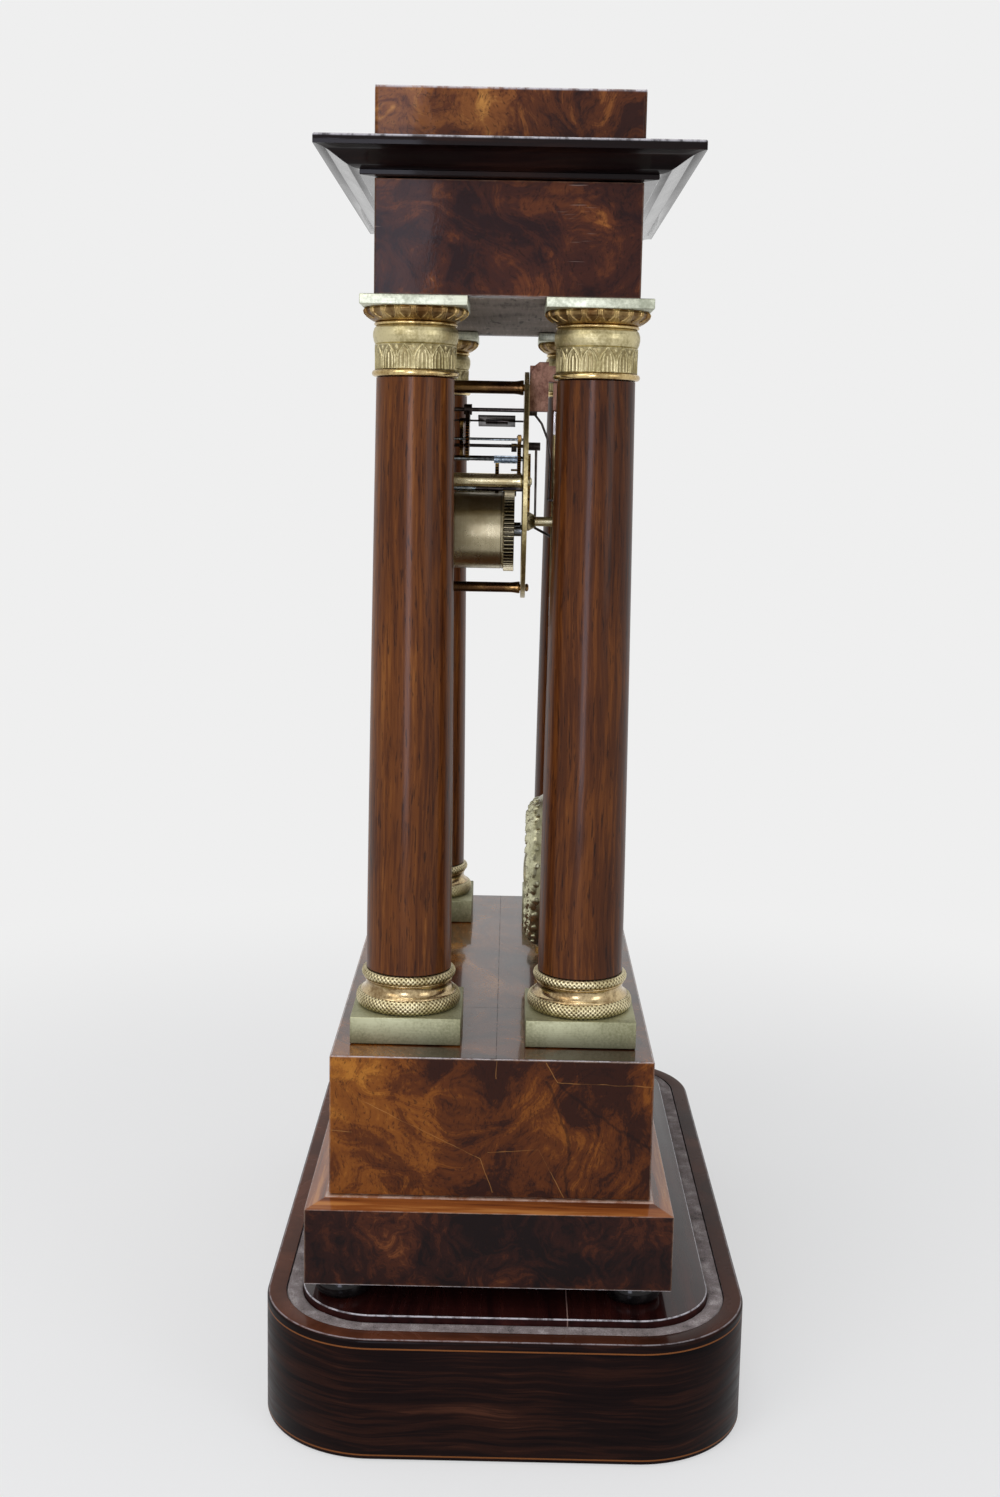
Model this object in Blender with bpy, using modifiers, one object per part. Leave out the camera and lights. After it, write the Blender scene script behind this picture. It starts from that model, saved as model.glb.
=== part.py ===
"""Portico mantel clock on its dome stand, with an open round movement.

Metres, +Z up, +X along the clock's width, -Y toward the dial, origin under the middle of the stand.
The case stands a little toward the dial side of the stand.
"""
import math

import bmesh
import bpy
from mathutils import Matrix, Vector

MM = 0.001
FULL_TURN = 2.0 * math.pi

# Clearances shared by the whole clock
SEAT_GAP = 0.3 * MM
RUNNING_GAP = 0.3 * MM
OVERRUN = 1.0 * MM
WELD = 0.01 * MM
FLATNESS = math.radians(0.5)

# Dome stand
STAND_LENGTH = 331.0 * MM
STAND_DEPTH = 197.2 * MM
STAND_CORNER_RADIUS = 46.0 * MM
STAND_FLOOR_HEIGHT = 53.7 * MM
STAND_RIM_DROP = 2.7 * MM
STAND_RIM_WIDTH = 7.9 * MM
STAND_RIM_ROUND = 1.6 * MM
STAND_GROOVE_WIDTH = 7.0 * MM
STAND_GROOVE_DEPTH = 4.6 * MM
STAND_FOOT_BEVEL = 1.2 * MM
FELT_THICKNESS = 1.4 * MM
CASE_FORWARD = 7.2 * MM

# Bun feet
FOOT_RADIUS = 11.5 * MM
FOOT_HEIGHT = 8.6 * MM
FOOT_INSET = 14.5 * MM
FOOT_SIDES = 12

# Plinth block and pedestal
PEDESTAL_LENGTH = 266.9 * MM
PEDESTAL_DEPTH = 130.0 * MM
PEDESTAL_HEIGHT = 58.5 * MM
PLINTH_OVERHANG = 9.0 * MM
PLINTH_BLOCK_HEIGHT = 31.5 * MM
PLINTH_CHAMFER_HEIGHT = 2.9 * MM
PLINTH_LIP = 0.6 * MM
CASE_EDGE = 0.5 * MM

# Columns
COLUMN_SPACING_X = 192.8 * MM
COLUMN_SPACING_Y = 71.4 * MM
BASE_PLATE_SIDE = 45.0 * MM
BASE_PLATE_HEIGHT = 11.2 * MM
LOWER_TORUS_RADIUS = 21.9 * MM
LOWER_TORUS_HEIGHT = 6.2 * MM
SCOTIA_RADIUS = 18.0 * MM
SCOTIA_HEIGHT = 5.8 * MM
UPPER_TORUS_RADIUS = 19.6 * MM
UPPER_TORUS_HEIGHT = 3.8 * MM
SHAFT_FOOT_RADIUS = 17.6 * MM
SHAFT_NECK_RADIUS = 15.4 * MM
COLUMN_HEIGHT = 297.9 * MM
ASTRAGAL_RADIUS = 17.3 * MM
ASTRAGAL_HEIGHT = 2.6 * MM
LEAF_BAND_RADIUS = 16.0 * MM
LEAF_BAND_HEIGHT = 10.0 * MM
CUSHION_RADIUS = 16.8 * MM
CUSHION_HEIGHT = 7.0 * MM
BEAD_RADIUS = 15.6 * MM
BEAD_HEIGHT = 1.4 * MM
ECHINUS_RADIUS = 20.6 * MM
ECHINUS_HEIGHT = 5.4 * MM
ABACUS_SIDE = 41.4 * MM
ABACUS_HEIGHT = 3.9 * MM
TORUS_SIDES = 16
SHAFT_SIDES = 20

# Entablature
FRIEZE_LENGTH = 223.0 * MM
FRIEZE_DEPTH = 102.5 * MM
FRIEZE_HEIGHT = 43.2 * MM
FRIEZE_WALL = 9.0 * MM
SOFFIT_BOARD_THICKNESS = 8.0 * MM
CORNICE_FILLET_OUT = 5.3 * MM
CORNICE_FILLET_HEIGHT = 1.9 * MM
CORNICE_OVERHANG = 21.3 * MM
CORNICE_CYMA_HEIGHT = 6.6 * MM
CORNICE_TOP_HEIGHT = 4.0 * MM
CYMA_STEPS = 6
ATTIC_LENGTH = 221.0 * MM
ATTIC_DEPTH = 103.0 * MM
ATTIC_HEIGHT = 21.4 * MM

# Movement plates and pillars
MOVEMENT_DROP = 73.5 * MM
PLATE_RADIUS = 50.5 * MM
PLATE_THICKNESS = 2.0 * MM
PLATE_SPACING = 36.0 * MM
BACK_PLATE_Y = 8.0 * MM
TOP_PILLAR_RISE = 43.6 * MM
TOP_PILLAR_RADIUS = 3.3 * MM
SIDE_PILLAR_REACH = 44.0 * MM
SIDE_PILLAR_RISE = 2.6 * MM
SIDE_PILLAR_RADIUS = 2.9 * MM
LOW_PILLAR_DROP = 45.9 * MM
LOW_PILLAR_RADIUS = 2.7 * MM
PILLAR_TENON_RADIUS = 1.6 * MM
PILLAR_TENON_REACH = 1.4 * MM
PLATE_SIDES = 36
PILLAR_SIDES = 10
HOLE_SIDES = 6

# Arbors and teeth, all gears of the trains
PIVOT_SHARE = 0.75
PIVOT_END_SETBACK = 0.3 * MM
FINE_ARBOR_RADIUS = 0.5 * MM
TRAIN_ARBOR_RADIUS = 0.8 * MM
MAIN_ARBOR_RADIUS = 1.2 * MM
PALLET_ARBOR_RADIUS = 1.0 * MM
ARBOR_SIDES = 6
ADDENDUM_SHARE = 0.80
WHEEL_DEDENDUM_SHARE = 1.70
PINION_ADDENDUM_SHARE = 0.70
PINION_DEDENDUM_SHARE = 1.20
LEAF_ROOT_SHARE = 0.17
LEAF_TIP_SHARE = 0.05
WHEEL_THICKNESS = 1.6 * MM
HUB_RADIUS = 2.6 * MM
RIM_SHARE = 0.80
SPOKE_WIDTH = 1.3 * MM
SPOKES = 4
PINION_OVERLAP = 0.6 * MM

# Barrels, great wheels and winding arbors
BARREL_REACH = 24.0 * MM
BARREL_DROP = 19.4 * MM
BARREL_MODULE = 0.573 * MM
BARREL_TEETH = 60
FIRST_PINION_LEAVES = 10
GREAT_WHEEL_THICKNESS = 4.6 * MM
GREAT_WHEEL_GAP = 3.4 * MM
DRUM_RADIUS = 16.5 * MM
DRUM_FRONT_GAP = 5.0 * MM
DRUM_WALL = 1.4 * MM
DRUM_SIDES = 24
WINDING_ARBOR_RADIUS = 2.5 * MM
WINDING_PIVOT_RADIUS = 2.0 * MM
WINDING_TAIL_RADIUS = 1.2 * MM
WINDING_SQUARE = 2.8 * MM
RATCHET_RADIUS = 6.8 * MM
RATCHET_ROOT = 5.9 * MM
RATCHET_TEETH = 20
RATCHET_THICKNESS = 1.8 * MM
CLICK_REACH = 10.6 * MM
CLICK_WIDTH = 2.6 * MM
CLICK_PIN_RADIUS = 0.9 * MM
CLICK_TURN_DEG = 60.0

# Going train
SECOND_TEETH = 44
SECOND_MODULE = 0.60 * MM
CENTRE_LEAVES = 8
CENTRE_TEETH = 54
CENTRE_MODULE = 0.4667 * MM
THIRD_LEAVES = 6
THIRD_TEETH = 72
THIRD_MODULE = 0.30 * MM
ESCAPE_LEAVES = 6
ESCAPE_TEETH = 36
ESCAPE_TIP_RADIUS = 9.66 * MM
ESCAPE_ROOT_RADIUS = 8.2 * MM
ESCAPE_LEAN_SHARE = 0.18
ESCAPE_RISE = 20.5 * MM
PALLET_RISE = 33.6 * MM
SECOND_WHEEL_SETBACK = 3.0 * MM
ESCAPE_WHEEL_SETBACK = 11.6 * MM
CENTRE_WHEEL_ADVANCE = 10.8 * MM
REAR_WHEEL_ADVANCE = 1.0 * MM
THIRD_PINION_LENGTH = 10.4 * MM

# Anchor and crutch
PALLET_CLEARANCE = 0.95 * MM
PALLET_NIB = 0.7 * MM
ANCHOR_BAR = 1.6 * MM
ANCHOR_HALF_SPAN_DEG = 46.0
PALLET_WIDTH_DEG = 6.0
ANCHOR_THICKNESS = 1.8 * MM
ANCHOR_COLLAR_RADIUS = 2.4 * MM
CRUTCH_WIRE_RADIUS = 0.6 * MM
CRUTCH_COLLAR_RADIUS = 2.4 * MM
CRUTCH_COLLAR_LENGTH = 3.6 * MM
CRUTCH_LENGTH = 39.8 * MM
CRUTCH_FORK_HALF = 2.4 * MM
CRUTCH_FORK_LENGTH = 4.4 * MM
CRUTCH_BEND_SHARES = ((0.0, 0.0), (0.10, 0.42), (0.28, 0.80), (0.46, 0.97), (0.60, 1.0), (1.0, 0.94))

# Strike train
STRIKE_SECOND_LEAN = 3.5 * MM
STRIKE_SECOND_TEETH = 54
STRIKE_SECOND_MODULE = 0.4667 * MM
PIN_WHEEL_RISE = 12.6 * MM
PIN_WHEEL_LEAVES = 6
PIN_WHEEL_TEETH = 48
PIN_WHEEL_MODULE = 0.391 * MM
LIFTING_PINS = 8
LIFTING_PIN_RADIUS = 0.5 * MM
LIFTING_PIN_LENGTH = 2.8 * MM
LIFTING_PIN_SIDES = 5
LOCKING_LEAVES = 6
LOCKING_TEETH = 48
LOCKING_MODULE = 0.32 * MM
LOCKING_WHEEL_RISE = 21.0 * MM
LOCKING_WHEEL_SETBACK = 8.6 * MM
FLY_LEAVES = 6
FLY_RISE = 29.1 * MM
FLY_SPAN = 14.2 * MM
FLY_LENGTH = 17.0 * MM
FLY_THICKNESS = 0.8 * MM
FLY_TILT_DEG = 17.0
FLY_HUB_RADIUS = 1.6 * MM
COUNT_WHEEL_RADIUS = 14.2 * MM
COUNT_WHEEL_NOTCH = 2.2 * MM
COUNT_WHEEL_THICKNESS = 1.4 * MM
COUNT_ARBOR_RADIUS = 1.3 * MM
HOURS = 12
COUNT_STEPS = 90

# Bell, stud and hammer
BELL_REACH = 12.0 * MM
BELL_DROP = 15.4 * MM
BELL_RADIUS = 29.0 * MM
BELL_DEPTH = 19.0 * MM
BELL_WALL = 1.4 * MM
BELL_MOUTH_Y = 25.2 * MM
BELL_SIDES = 24
BELL_SHARES = ((1.0, 0.0), (0.97, 0.32), (0.80, 0.70), (0.42, 0.95))
STUD_RADIUS = 2.2 * MM
STUD_CONE_RADIUS = 4.4 * MM
STUD_CONE_END_RADIUS = 2.9 * MM
STUD_CONE_LENGTH = 3.4 * MM
STUD_SHOULDER_RADIUS = 3.8 * MM
STUD_SHOULDER_LENGTH = 1.6 * MM
BELL_NUT_RADIUS = 3.8 * MM
BELL_NUT_HEIGHT = 2.6 * MM
HAMMER_REACH = 36.0 * MM
HAMMER_RISE = 18.0 * MM
HAMMER_ARBOR_RADIUS = 0.9 * MM
HAMMER_ARM_RADIUS = 0.7 * MM
HAMMER_ARM_Y = 14.3 * MM
HAMMER_HEAD_RADIUS = 2.6 * MM
HAMMER_HEAD_LENGTH = 8.0 * MM
HAMMER_REST_GAP = 0.7 * MM
HAMMER_TAIL_GAP = 0.4 * MM
HAMMER_TAIL_WIDTH = 1.6 * MM
HAMMER_COLLET_RADIUS = 1.9 * MM

# Suspension cock
COCK_HALF_WIDTH = 6.0 * MM
COCK_CHEEK = 1.6 * MM
COCK_REACH = 8.4 * MM
COCK_HEIGHT = 21.6 * MM
COCK_FOOT_DROP = 0.4 * MM
COCK_CURVE_SHARES = ((0.0, 0.62), (0.06, 0.78), (0.22, 0.92), (0.50, 1.0), (1.0, 1.0))
COCK_BLOCK_HEIGHT = 7.0 * MM
COCK_BLOCK_TOP_SETBACK = 1.6 * MM
COCK_NOSE = 2.2 * MM
SPRING_THICKNESS = 0.4 * MM
SPRING_WIDTH = 3.4 * MM
SPRING_GAP = 0.3 * MM

# Pendulum
PENDULUM_Y = 22.6 * MM
ROD_RADIUS = 1.4 * MM
ROD_SIDES = 8
ROD_END_RISE = 3.6 * MM
HOOK_LENGTH = 5.0 * MM
HOOK_WIDTH = 4.4 * MM
HOOK_DEPTH = 2.6 * MM
HOOK_DROP = 8.0 * MM
BOB_RADIUS = 36.1 * MM
BOB_CENTRE_RISE = 46.0 * MM
BOB_BACK = 2.8 * MM
BOB_FRONT = 10.4 * MM
BOB_SIDES = 28
BOB_FRONT_SHARES = ((0.0, 1.0), (0.28, 0.88), (0.43, 0.66), (0.52, 0.50), (0.64, 0.86), (0.75, 0.96),
                    (0.88, 0.74), (1.0, 0.16))
NUT_RADIUS = 4.2 * MM
NUT_HEIGHT = 3.2 * MM
NUT_SIDES = 12

# Motion work and hands
MOTION_MODULE = 0.625 * MM
CANNON_LEAVES = 8
MINUTE_TEETH = 24
MINUTE_LEAVES = 8
HOUR_TEETH = 32
MOTION_ANGLE_DEG = 250.0
CANNON_BORE = 1.2 * MM
CANNON_PIPE = 1.75 * MM
HOUR_BORE = 2.1 * MM
HOUR_PIPE = 3.1 * MM
MINUTE_WHEEL_GAP = 1.4 * MM
HOUR_WHEEL_GAP = 1.4 * MM
MINUTE_PIN_RADIUS = 0.8 * MM
HAND_THICKNESS = 0.8 * MM
HOUR_HAND_GAP = 1.2 * MM
HAND_SPACING = 1.4 * MM
MINUTE_HAND_LENGTH = 48.0 * MM
HOUR_HAND_LENGTH = 32.0 * MM
HAND_WIDTH = 2.0 * MM
HAND_RING_RADIUS = 3.4 * MM
HAND_RING_HOLE = 2.1 * MM
HAND_HUB_RADIUS = 5.2 * MM
HAND_TAIL_SHARE = 0.20

# Dial, its ring, bezel and glass
RING_OUTER_RADIUS = 63.5 * MM
RING_WALL = 2.3 * MM
RING_FLANGE_RADIUS = 46.0 * MM
RING_FLANGE_THICKNESS = 2.0 * MM
RING_DEPTH = 11.5 * MM
RING_SIDES = 30
DIAL_THICKNESS = 1.8 * MM
DIAL_SETBACK = 0.5 * MM
WINDING_HOLE_RADIUS = 3.4 * MM
HANGER_WIDTH = 32.0 * MM
HANGER_THICKNESS = 4.0 * MM
HANGER_FOOT_WIDTH = 46.0 * MM
HANGER_FOOT_DEPTH = 18.0 * MM
HANGER_FOOT_THICKNESS = 2.4 * MM
BEZEL_OUTER_RADIUS = 65.2 * MM
BEZEL_INNER_RADIUS = 57.0 * MM
BEZEL_HEIGHT = 7.1 * MM
BEZEL_LIP_HEIGHT = 2.9 * MM
BEZEL_RABBET_RADIUS = 60.2 * MM
BEZEL_SHARES = ((0.0, 0.58), (0.32, 0.98), (0.72, 0.94), (1.0, 0.40))
GLASS_THICKNESS = 1.2 * MM
GLASS_BULGE = 7.6 * MM
GLASS_SHARES = ((1.0, 0.0), (0.943, 0.0), (0.78, 0.44), (0.45, 0.85), (0.0, 1.0))
GLASS_SIDES = 20
HINGE_OFFSET = 4.1 * MM
KNUCKLE_RADIUS = 1.9 * MM
KNUCKLE_PIN_RADIUS = 0.8 * MM
KNUCKLE_LENGTH = 6.0 * MM
KNUCKLE_SIDES = 8

# Levels above the floor, worked out from the sizes above
PLINTH_BASE_Z = STAND_FLOOR_HEIGHT + FOOT_HEIGHT
PLINTH_TOP_Z = PLINTH_BASE_Z + PLINTH_BLOCK_HEIGHT + PLINTH_CHAMFER_HEIGHT
PEDESTAL_TOP_Z = PLINTH_TOP_Z + PEDESTAL_HEIGHT
SOFFIT_Z = PEDESTAL_TOP_Z + COLUMN_HEIGHT
FRIEZE_TOP_Z = SOFFIT_Z + FRIEZE_HEIGHT
CORNICE_TOP_Z = FRIEZE_TOP_Z + CORNICE_FILLET_HEIGHT + CORNICE_CYMA_HEIGHT + CORNICE_TOP_HEIGHT
MOVEMENT_Z = SOFFIT_Z - MOVEMENT_DROP

# Depths in the movement, measured forward from the clock's middle plane
BACK_PLATE_FRONT = -BACK_PLATE_Y
BACK_PLATE_REAR = BACK_PLATE_FRONT - PLATE_THICKNESS
FRONT_PLATE_REAR = BACK_PLATE_FRONT + PLATE_SPACING
FRONT_PLATE_FRONT = FRONT_PLATE_REAR + PLATE_THICKNESS
GREAT_WHEEL_REAR = BACK_PLATE_FRONT + GREAT_WHEEL_GAP
GREAT_WHEEL_FRONT = GREAT_WHEEL_REAR + GREAT_WHEEL_THICKNESS
DRUM_LENGTH = FRONT_PLATE_REAR - DRUM_FRONT_GAP - GREAT_WHEEL_FRONT
REAR_WHEEL_DEPTH = BACK_PLATE_FRONT + REAR_WHEEL_ADVANCE
CENTRE_WHEEL_DEPTH = BACK_PLATE_FRONT + CENTRE_WHEEL_ADVANCE
ESCAPE_WHEEL_DEPTH = FRONT_PLATE_REAR - ESCAPE_WHEEL_SETBACK
LOCKING_WHEEL_DEPTH = FRONT_PLATE_REAR - LOCKING_WHEEL_SETBACK
SECOND_WHEEL_DEPTH = FRONT_PLATE_REAR - SECOND_WHEEL_SETBACK
MINUTE_WHEEL_DEPTH = FRONT_PLATE_FRONT + MINUTE_WHEEL_GAP
HOUR_WHEEL_DEPTH = MINUTE_WHEEL_DEPTH + WHEEL_THICKNESS + HOUR_WHEEL_GAP
RING_REAR = FRONT_PLATE_FRONT + SEAT_GAP
RING_FRONT = RING_REAR + RING_DEPTH
DIAL_FRONT = RING_FRONT - DIAL_SETBACK
BEZEL_REAR = RING_FRONT + SEAT_GAP


# Scene, materials and shape helpers

for leftover in list(bpy.data.objects):
    bpy.data.objects.remove(leftover, do_unlink=True)

PARTS = bpy.data.collections.new("portico_clock")
CUTTERS = bpy.data.collections.new("portico_clock_cutters")
for group in (PARTS, CUTTERS):
    bpy.context.scene.collection.children.link(group)


def finish(name, colour, roughness, metallic=0.0):
    """A plain Principled material in the piece's own colour."""
    material = bpy.data.materials.new(name)
    material.use_nodes = True
    shader = material.node_tree.nodes["Principled BSDF"]
    shader.inputs["Base Color"].default_value = (*colour, 1.0)
    shader.inputs["Roughness"].default_value = roughness
    shader.inputs["Metallic"].default_value = metallic
    material.diffuse_color = (*colour, 1.0)
    return material


ROSEWOOD = finish("rosewood", (0.060, 0.022, 0.014), 0.25)
EBONISED = finish("ebonised_wood", (0.010, 0.008, 0.008), 0.12)
DARK_BURR = finish("dark_burr_veneer", (0.070, 0.022, 0.010), 0.22)
GOLDEN_BURR = finish("golden_burr_veneer", (0.230, 0.080, 0.020), 0.25)
BLACK_BROWN = finish("black_brown_moulding", (0.030, 0.014, 0.010), 0.15)
BARE_BOARD = finish("bare_board", (0.100, 0.085, 0.070), 0.75)
MAHOGANY = finish("mahogany", (0.170, 0.048, 0.018), 0.20)
PALE_BRASS = finish("pale_brass", (0.500, 0.470, 0.300), 0.42, 1.0)
GILT_BRASS = finish("gilt_brass", (0.620, 0.420, 0.180), 0.25, 1.0)
MOVEMENT_BRASS = finish("movement_brass", (0.560, 0.450, 0.240), 0.30, 1.0)
STEEL = finish("steel", (0.300, 0.320, 0.340), 0.28, 1.0)
BLUED_STEEL = finish("blued_steel", (0.020, 0.035, 0.110), 0.25, 1.0)
BELL_METAL = finish("bell_metal", (0.520, 0.500, 0.440), 0.25, 1.0)
ENAMEL = finish("white_enamel", (0.850, 0.840, 0.800), 0.15)
GLASS = finish("clear_glass", (0.900, 0.950, 0.930), 0.02)
FELT = finish("worn_felt", (0.200, 0.150, 0.130), 0.90)


def add_part(name, mesh, material, place=(0.0, 0.0, 0.0), parent=None, group=PARTS):
    """Link a mesh as a named piece."""
    piece = bpy.data.objects.new(name, mesh)
    group.objects.link(piece)
    piece.parent = parent
    piece.location = place
    if material is not None and not mesh.materials:
        mesh.materials.append(material)
    return piece


def as_tool(piece, host):
    """Hide a shape that is joined to or cut from its host, and let it ride with the host."""
    for group in list(piece.users_collection):
        group.objects.unlink(piece)
    CUTTERS.objects.link(piece)
    piece.parent = host
    piece.hide_render = True
    piece.display_type = 'WIRE'
    return piece


def boolean(host, tool, operation):
    """Join or cut with the exact solver."""
    modifier = host.modifiers.new(f"{operation.lower()} {tool.name}"[:60], 'BOOLEAN')
    modifier.operation = operation
    modifier.object = tool
    modifier.solver = 'EXACT'


def fuse(host, *tools):
    for tool in tools:
        boolean(host, as_tool(tool, host), 'UNION')
    return host


def cut(host, *tools):
    for tool in tools:
        boolean(host, as_tool(tool, host), 'DIFFERENCE')
    return host


def bevel(piece, width, segments=1):
    modifier = piece.modifiers.new("edge", 'BEVEL')
    modifier.width = width
    modifier.segments = segments
    modifier.limit_method = 'ANGLE'
    return piece


def box(name, size, centre, material=None):
    """A box of the given size about a centre, its mesh in the piece's own coordinates."""
    shape = bmesh.new()
    bmesh.ops.create_cube(shape, size=1.0)
    bmesh.ops.scale(shape, vec=Vector(size), verts=shape.verts)
    bmesh.ops.translate(shape, vec=Vector(centre), verts=shape.verts)
    mesh = bpy.data.meshes.new(name)
    shape.to_mesh(mesh)
    shape.free()
    return add_part(name, mesh, material)


def rod(name, radius, length, sides, centre, axis=(0.0, 0.0, 1.0), material=None, end_radius=None):
    """A cylinder or cone frustum about a centre, along an axis."""
    shape = bmesh.new()
    bmesh.ops.create_cone(shape, cap_ends=True, segments=sides, radius1=radius,
                          radius2=radius if end_radius is None else end_radius, depth=length)
    turn = Vector((0.0, 0.0, 1.0)).rotation_difference(Vector(axis).normalized()).to_matrix()
    bmesh.ops.rotate(shape, cent=Vector(), matrix=turn, verts=shape.verts)
    bmesh.ops.translate(shape, vec=Vector(centre), verts=shape.verts)
    mesh = bpy.data.meshes.new(name)
    shape.to_mesh(mesh)
    shape.free()
    return add_part(name, mesh, material)


def turned(name, profile, sides, material=None, ring=False, place=(0.0, 0.0, 0.0), parent=None):
    """A turned piece: (radius, height) points run from top to bottom down the outer side."""
    mesh = bpy.data.meshes.new(name)
    count = len(profile)
    edges = [(i, i + 1) for i in range(count - 1)]
    if ring:
        edges.append((count - 1, 0))
    mesh.from_pydata([(radius, 0.0, height) for radius, height in profile], edges, [])
    piece = add_part(name, mesh, material, place, parent)
    screw = piece.modifiers.new("turning", 'SCREW')
    screw.axis = 'Z'
    screw.angle = FULL_TURN
    screw.steps = sides
    screw.render_steps = sides
    screw.use_merge_vertices = True
    screw.merge_threshold = WELD
    screw.use_smooth_shade = True
    return piece


def circle(radius, sides, centre=(0.0, 0.0), start=0.0):
    """Points on a circle."""
    return [(centre[0] + radius * math.cos(start + FULL_TURN * i / sides),
             centre[1] + radius * math.sin(start + FULL_TURN * i / sides)) for i in range(sides)]


def hole(radius, sides, centre=(0.0, 0.0)):
    """A hole's outline, its flats as far out as the radius."""
    return circle(radius / math.cos(math.pi / sides), sides, centre)


def flat_shape(name, loops, thickness, rear, material=None, place=(0.0, 0.0, 0.0), parent=None):
    """A plate cut to closed outlines, from height rear up by its thickness.

    The outlines are drawn in millimetres, because fine teeth fill cleanly at that scale.
    """
    curve = bpy.data.curves.new(name, 'CURVE')
    curve.dimensions = '2D'
    curve.fill_mode = 'BOTH'
    curve.extrude = 0.5 * thickness / MM
    for loop in loops:
        spline = curve.splines.new('POLY')
        spline.points.add(len(loop) - 1)
        spline.use_cyclic_u = True
        for point, (x, y) in zip(spline.points, loop):
            point.co = (x / MM, y / MM, 0.0, 1.0)
    drawing = bpy.data.objects.new(name + "_outline", curve)
    PARTS.objects.link(drawing)
    bpy.context.view_layer.update()
    mesh = bpy.data.meshes.new_from_object(drawing.evaluated_get(bpy.context.evaluated_depsgraph_get()))
    bpy.data.objects.remove(drawing, do_unlink=True)
    bpy.data.curves.remove(curve)
    shape = bmesh.new()
    shape.from_mesh(mesh)
    bmesh.ops.remove_doubles(shape, verts=shape.verts, dist=WELD / (10.0 * MM))
    bmesh.ops.scale(shape, vec=Vector((MM, MM, MM)), verts=shape.verts)
    bmesh.ops.translate(shape, vec=Vector((0.0, 0.0, rear + 0.5 * thickness)), verts=shape.verts)
    bmesh.ops.recalc_face_normals(shape, faces=shape.faces)
    bmesh.ops.dissolve_limit(shape, angle_limit=FLATNESS, verts=shape.verts, edges=shape.edges)
    shape.to_mesh(mesh)
    shape.free()
    mesh.name = name
    return add_part(name, mesh, material, place, parent)


def wire(name, points, radius, resolution=1):
    """A round wire along points, as a closed mesh."""
    curve = bpy.data.curves.new(name, 'CURVE')
    curve.dimensions = '3D'
    curve.bevel_depth = radius
    curve.bevel_resolution = resolution
    curve.use_fill_caps = True
    spline = curve.splines.new('POLY')
    spline.points.add(len(points) - 1)
    for point, position in zip(spline.points, points):
        point.co = (*position, 1.0)
    drawing = bpy.data.objects.new(name + "_path", curve)
    PARTS.objects.link(drawing)
    bpy.context.view_layer.update()
    mesh = bpy.data.meshes.new_from_object(drawing.evaluated_get(bpy.context.evaluated_depsgraph_get()))
    bpy.data.objects.remove(drawing, do_unlink=True)
    bpy.data.curves.remove(curve)
    shape = bmesh.new()
    shape.from_mesh(mesh)
    bmesh.ops.remove_doubles(shape, verts=shape.verts, dist=0.1 * WELD)
    bmesh.ops.recalc_face_normals(shape, faces=shape.faces)
    shape.to_mesh(mesh)
    shape.free()
    mesh.name = name
    return add_part(name, mesh, None)


def stack(name, rings, material, closed=False):
    """A solid lofted through rings of equal point counts, from the bottom up, or on round to the first ring."""
    shape = bmesh.new()
    rows = [[shape.verts.new(point) for point in ring] for ring in rings]
    for lower, upper in zip(rows, rows[1:] + rows[:1] if closed else rows[1:]):
        for i in range(len(lower)):
            j = (i + 1) % len(lower)
            shape.faces.new((lower[i], lower[j], upper[j], upper[i]))
    if not closed:
        shape.faces.new(list(reversed(rows[0])))
        shape.faces.new(rows[-1])
    mesh = bpy.data.meshes.new(name)
    shape.to_mesh(mesh)
    shape.free()
    return add_part(name, mesh, material)


def rectangle_ring(length, depth, height):
    x, y = 0.5 * length, 0.5 * depth
    return [(-x, -y, height), (x, -y, height), (x, y, height), (-x, y, height)]


def rounded_ring(length, depth, radius, height, corner_steps=4):
    points = []
    for sign_x, sign_y, start in ((1, 1, 0.0), (-1, 1, 0.25), (-1, -1, 0.5), (1, -1, 0.75)):
        cx = sign_x * (0.5 * length - radius)
        cy = sign_y * (0.5 * depth - radius)
        for i in range(corner_steps + 1):
            angle = FULL_TURN * (start + 0.25 * i / corner_steps)
            points.append((cx + radius * math.cos(angle), cy + radius * math.sin(angle), height))
    return points


# Case

def stand_ring(inset, height):
    """The stand's rounded oblong, drawn in from its side."""
    return rounded_ring(STAND_LENGTH - 2 * inset, STAND_DEPTH - 2 * inset, STAND_CORNER_RADIUS - inset, height)


def build_stand():
    """Rounded oblong stand with a flat rim, a raised platform and the groove between them for a glass dome."""
    rim_top = STAND_FLOOR_HEIGHT - STAND_RIM_DROP
    groove_bottom = STAND_FLOOR_HEIGHT - STAND_GROOVE_DEPTH
    platform = STAND_RIM_WIDTH + STAND_GROOVE_WIDTH
    profile = [(STAND_FOOT_BEVEL, 0.0), (0.0, STAND_FOOT_BEVEL)]
    for share in (0.0, 0.5, 1.0):
        angle = 0.25 * FULL_TURN * share
        profile.append((STAND_RIM_ROUND * (1.0 - math.cos(angle)), rim_top - STAND_RIM_ROUND * (1.0 - math.sin(angle))))
    profile += [(STAND_RIM_WIDTH, rim_top), (STAND_RIM_WIDTH, groove_bottom), (platform, groove_bottom),
                (platform, STAND_FLOOR_HEIGHT)]
    stack("dome_stand", [stand_ring(inset, height) for inset, height in profile], ROSEWOOD)


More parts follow.
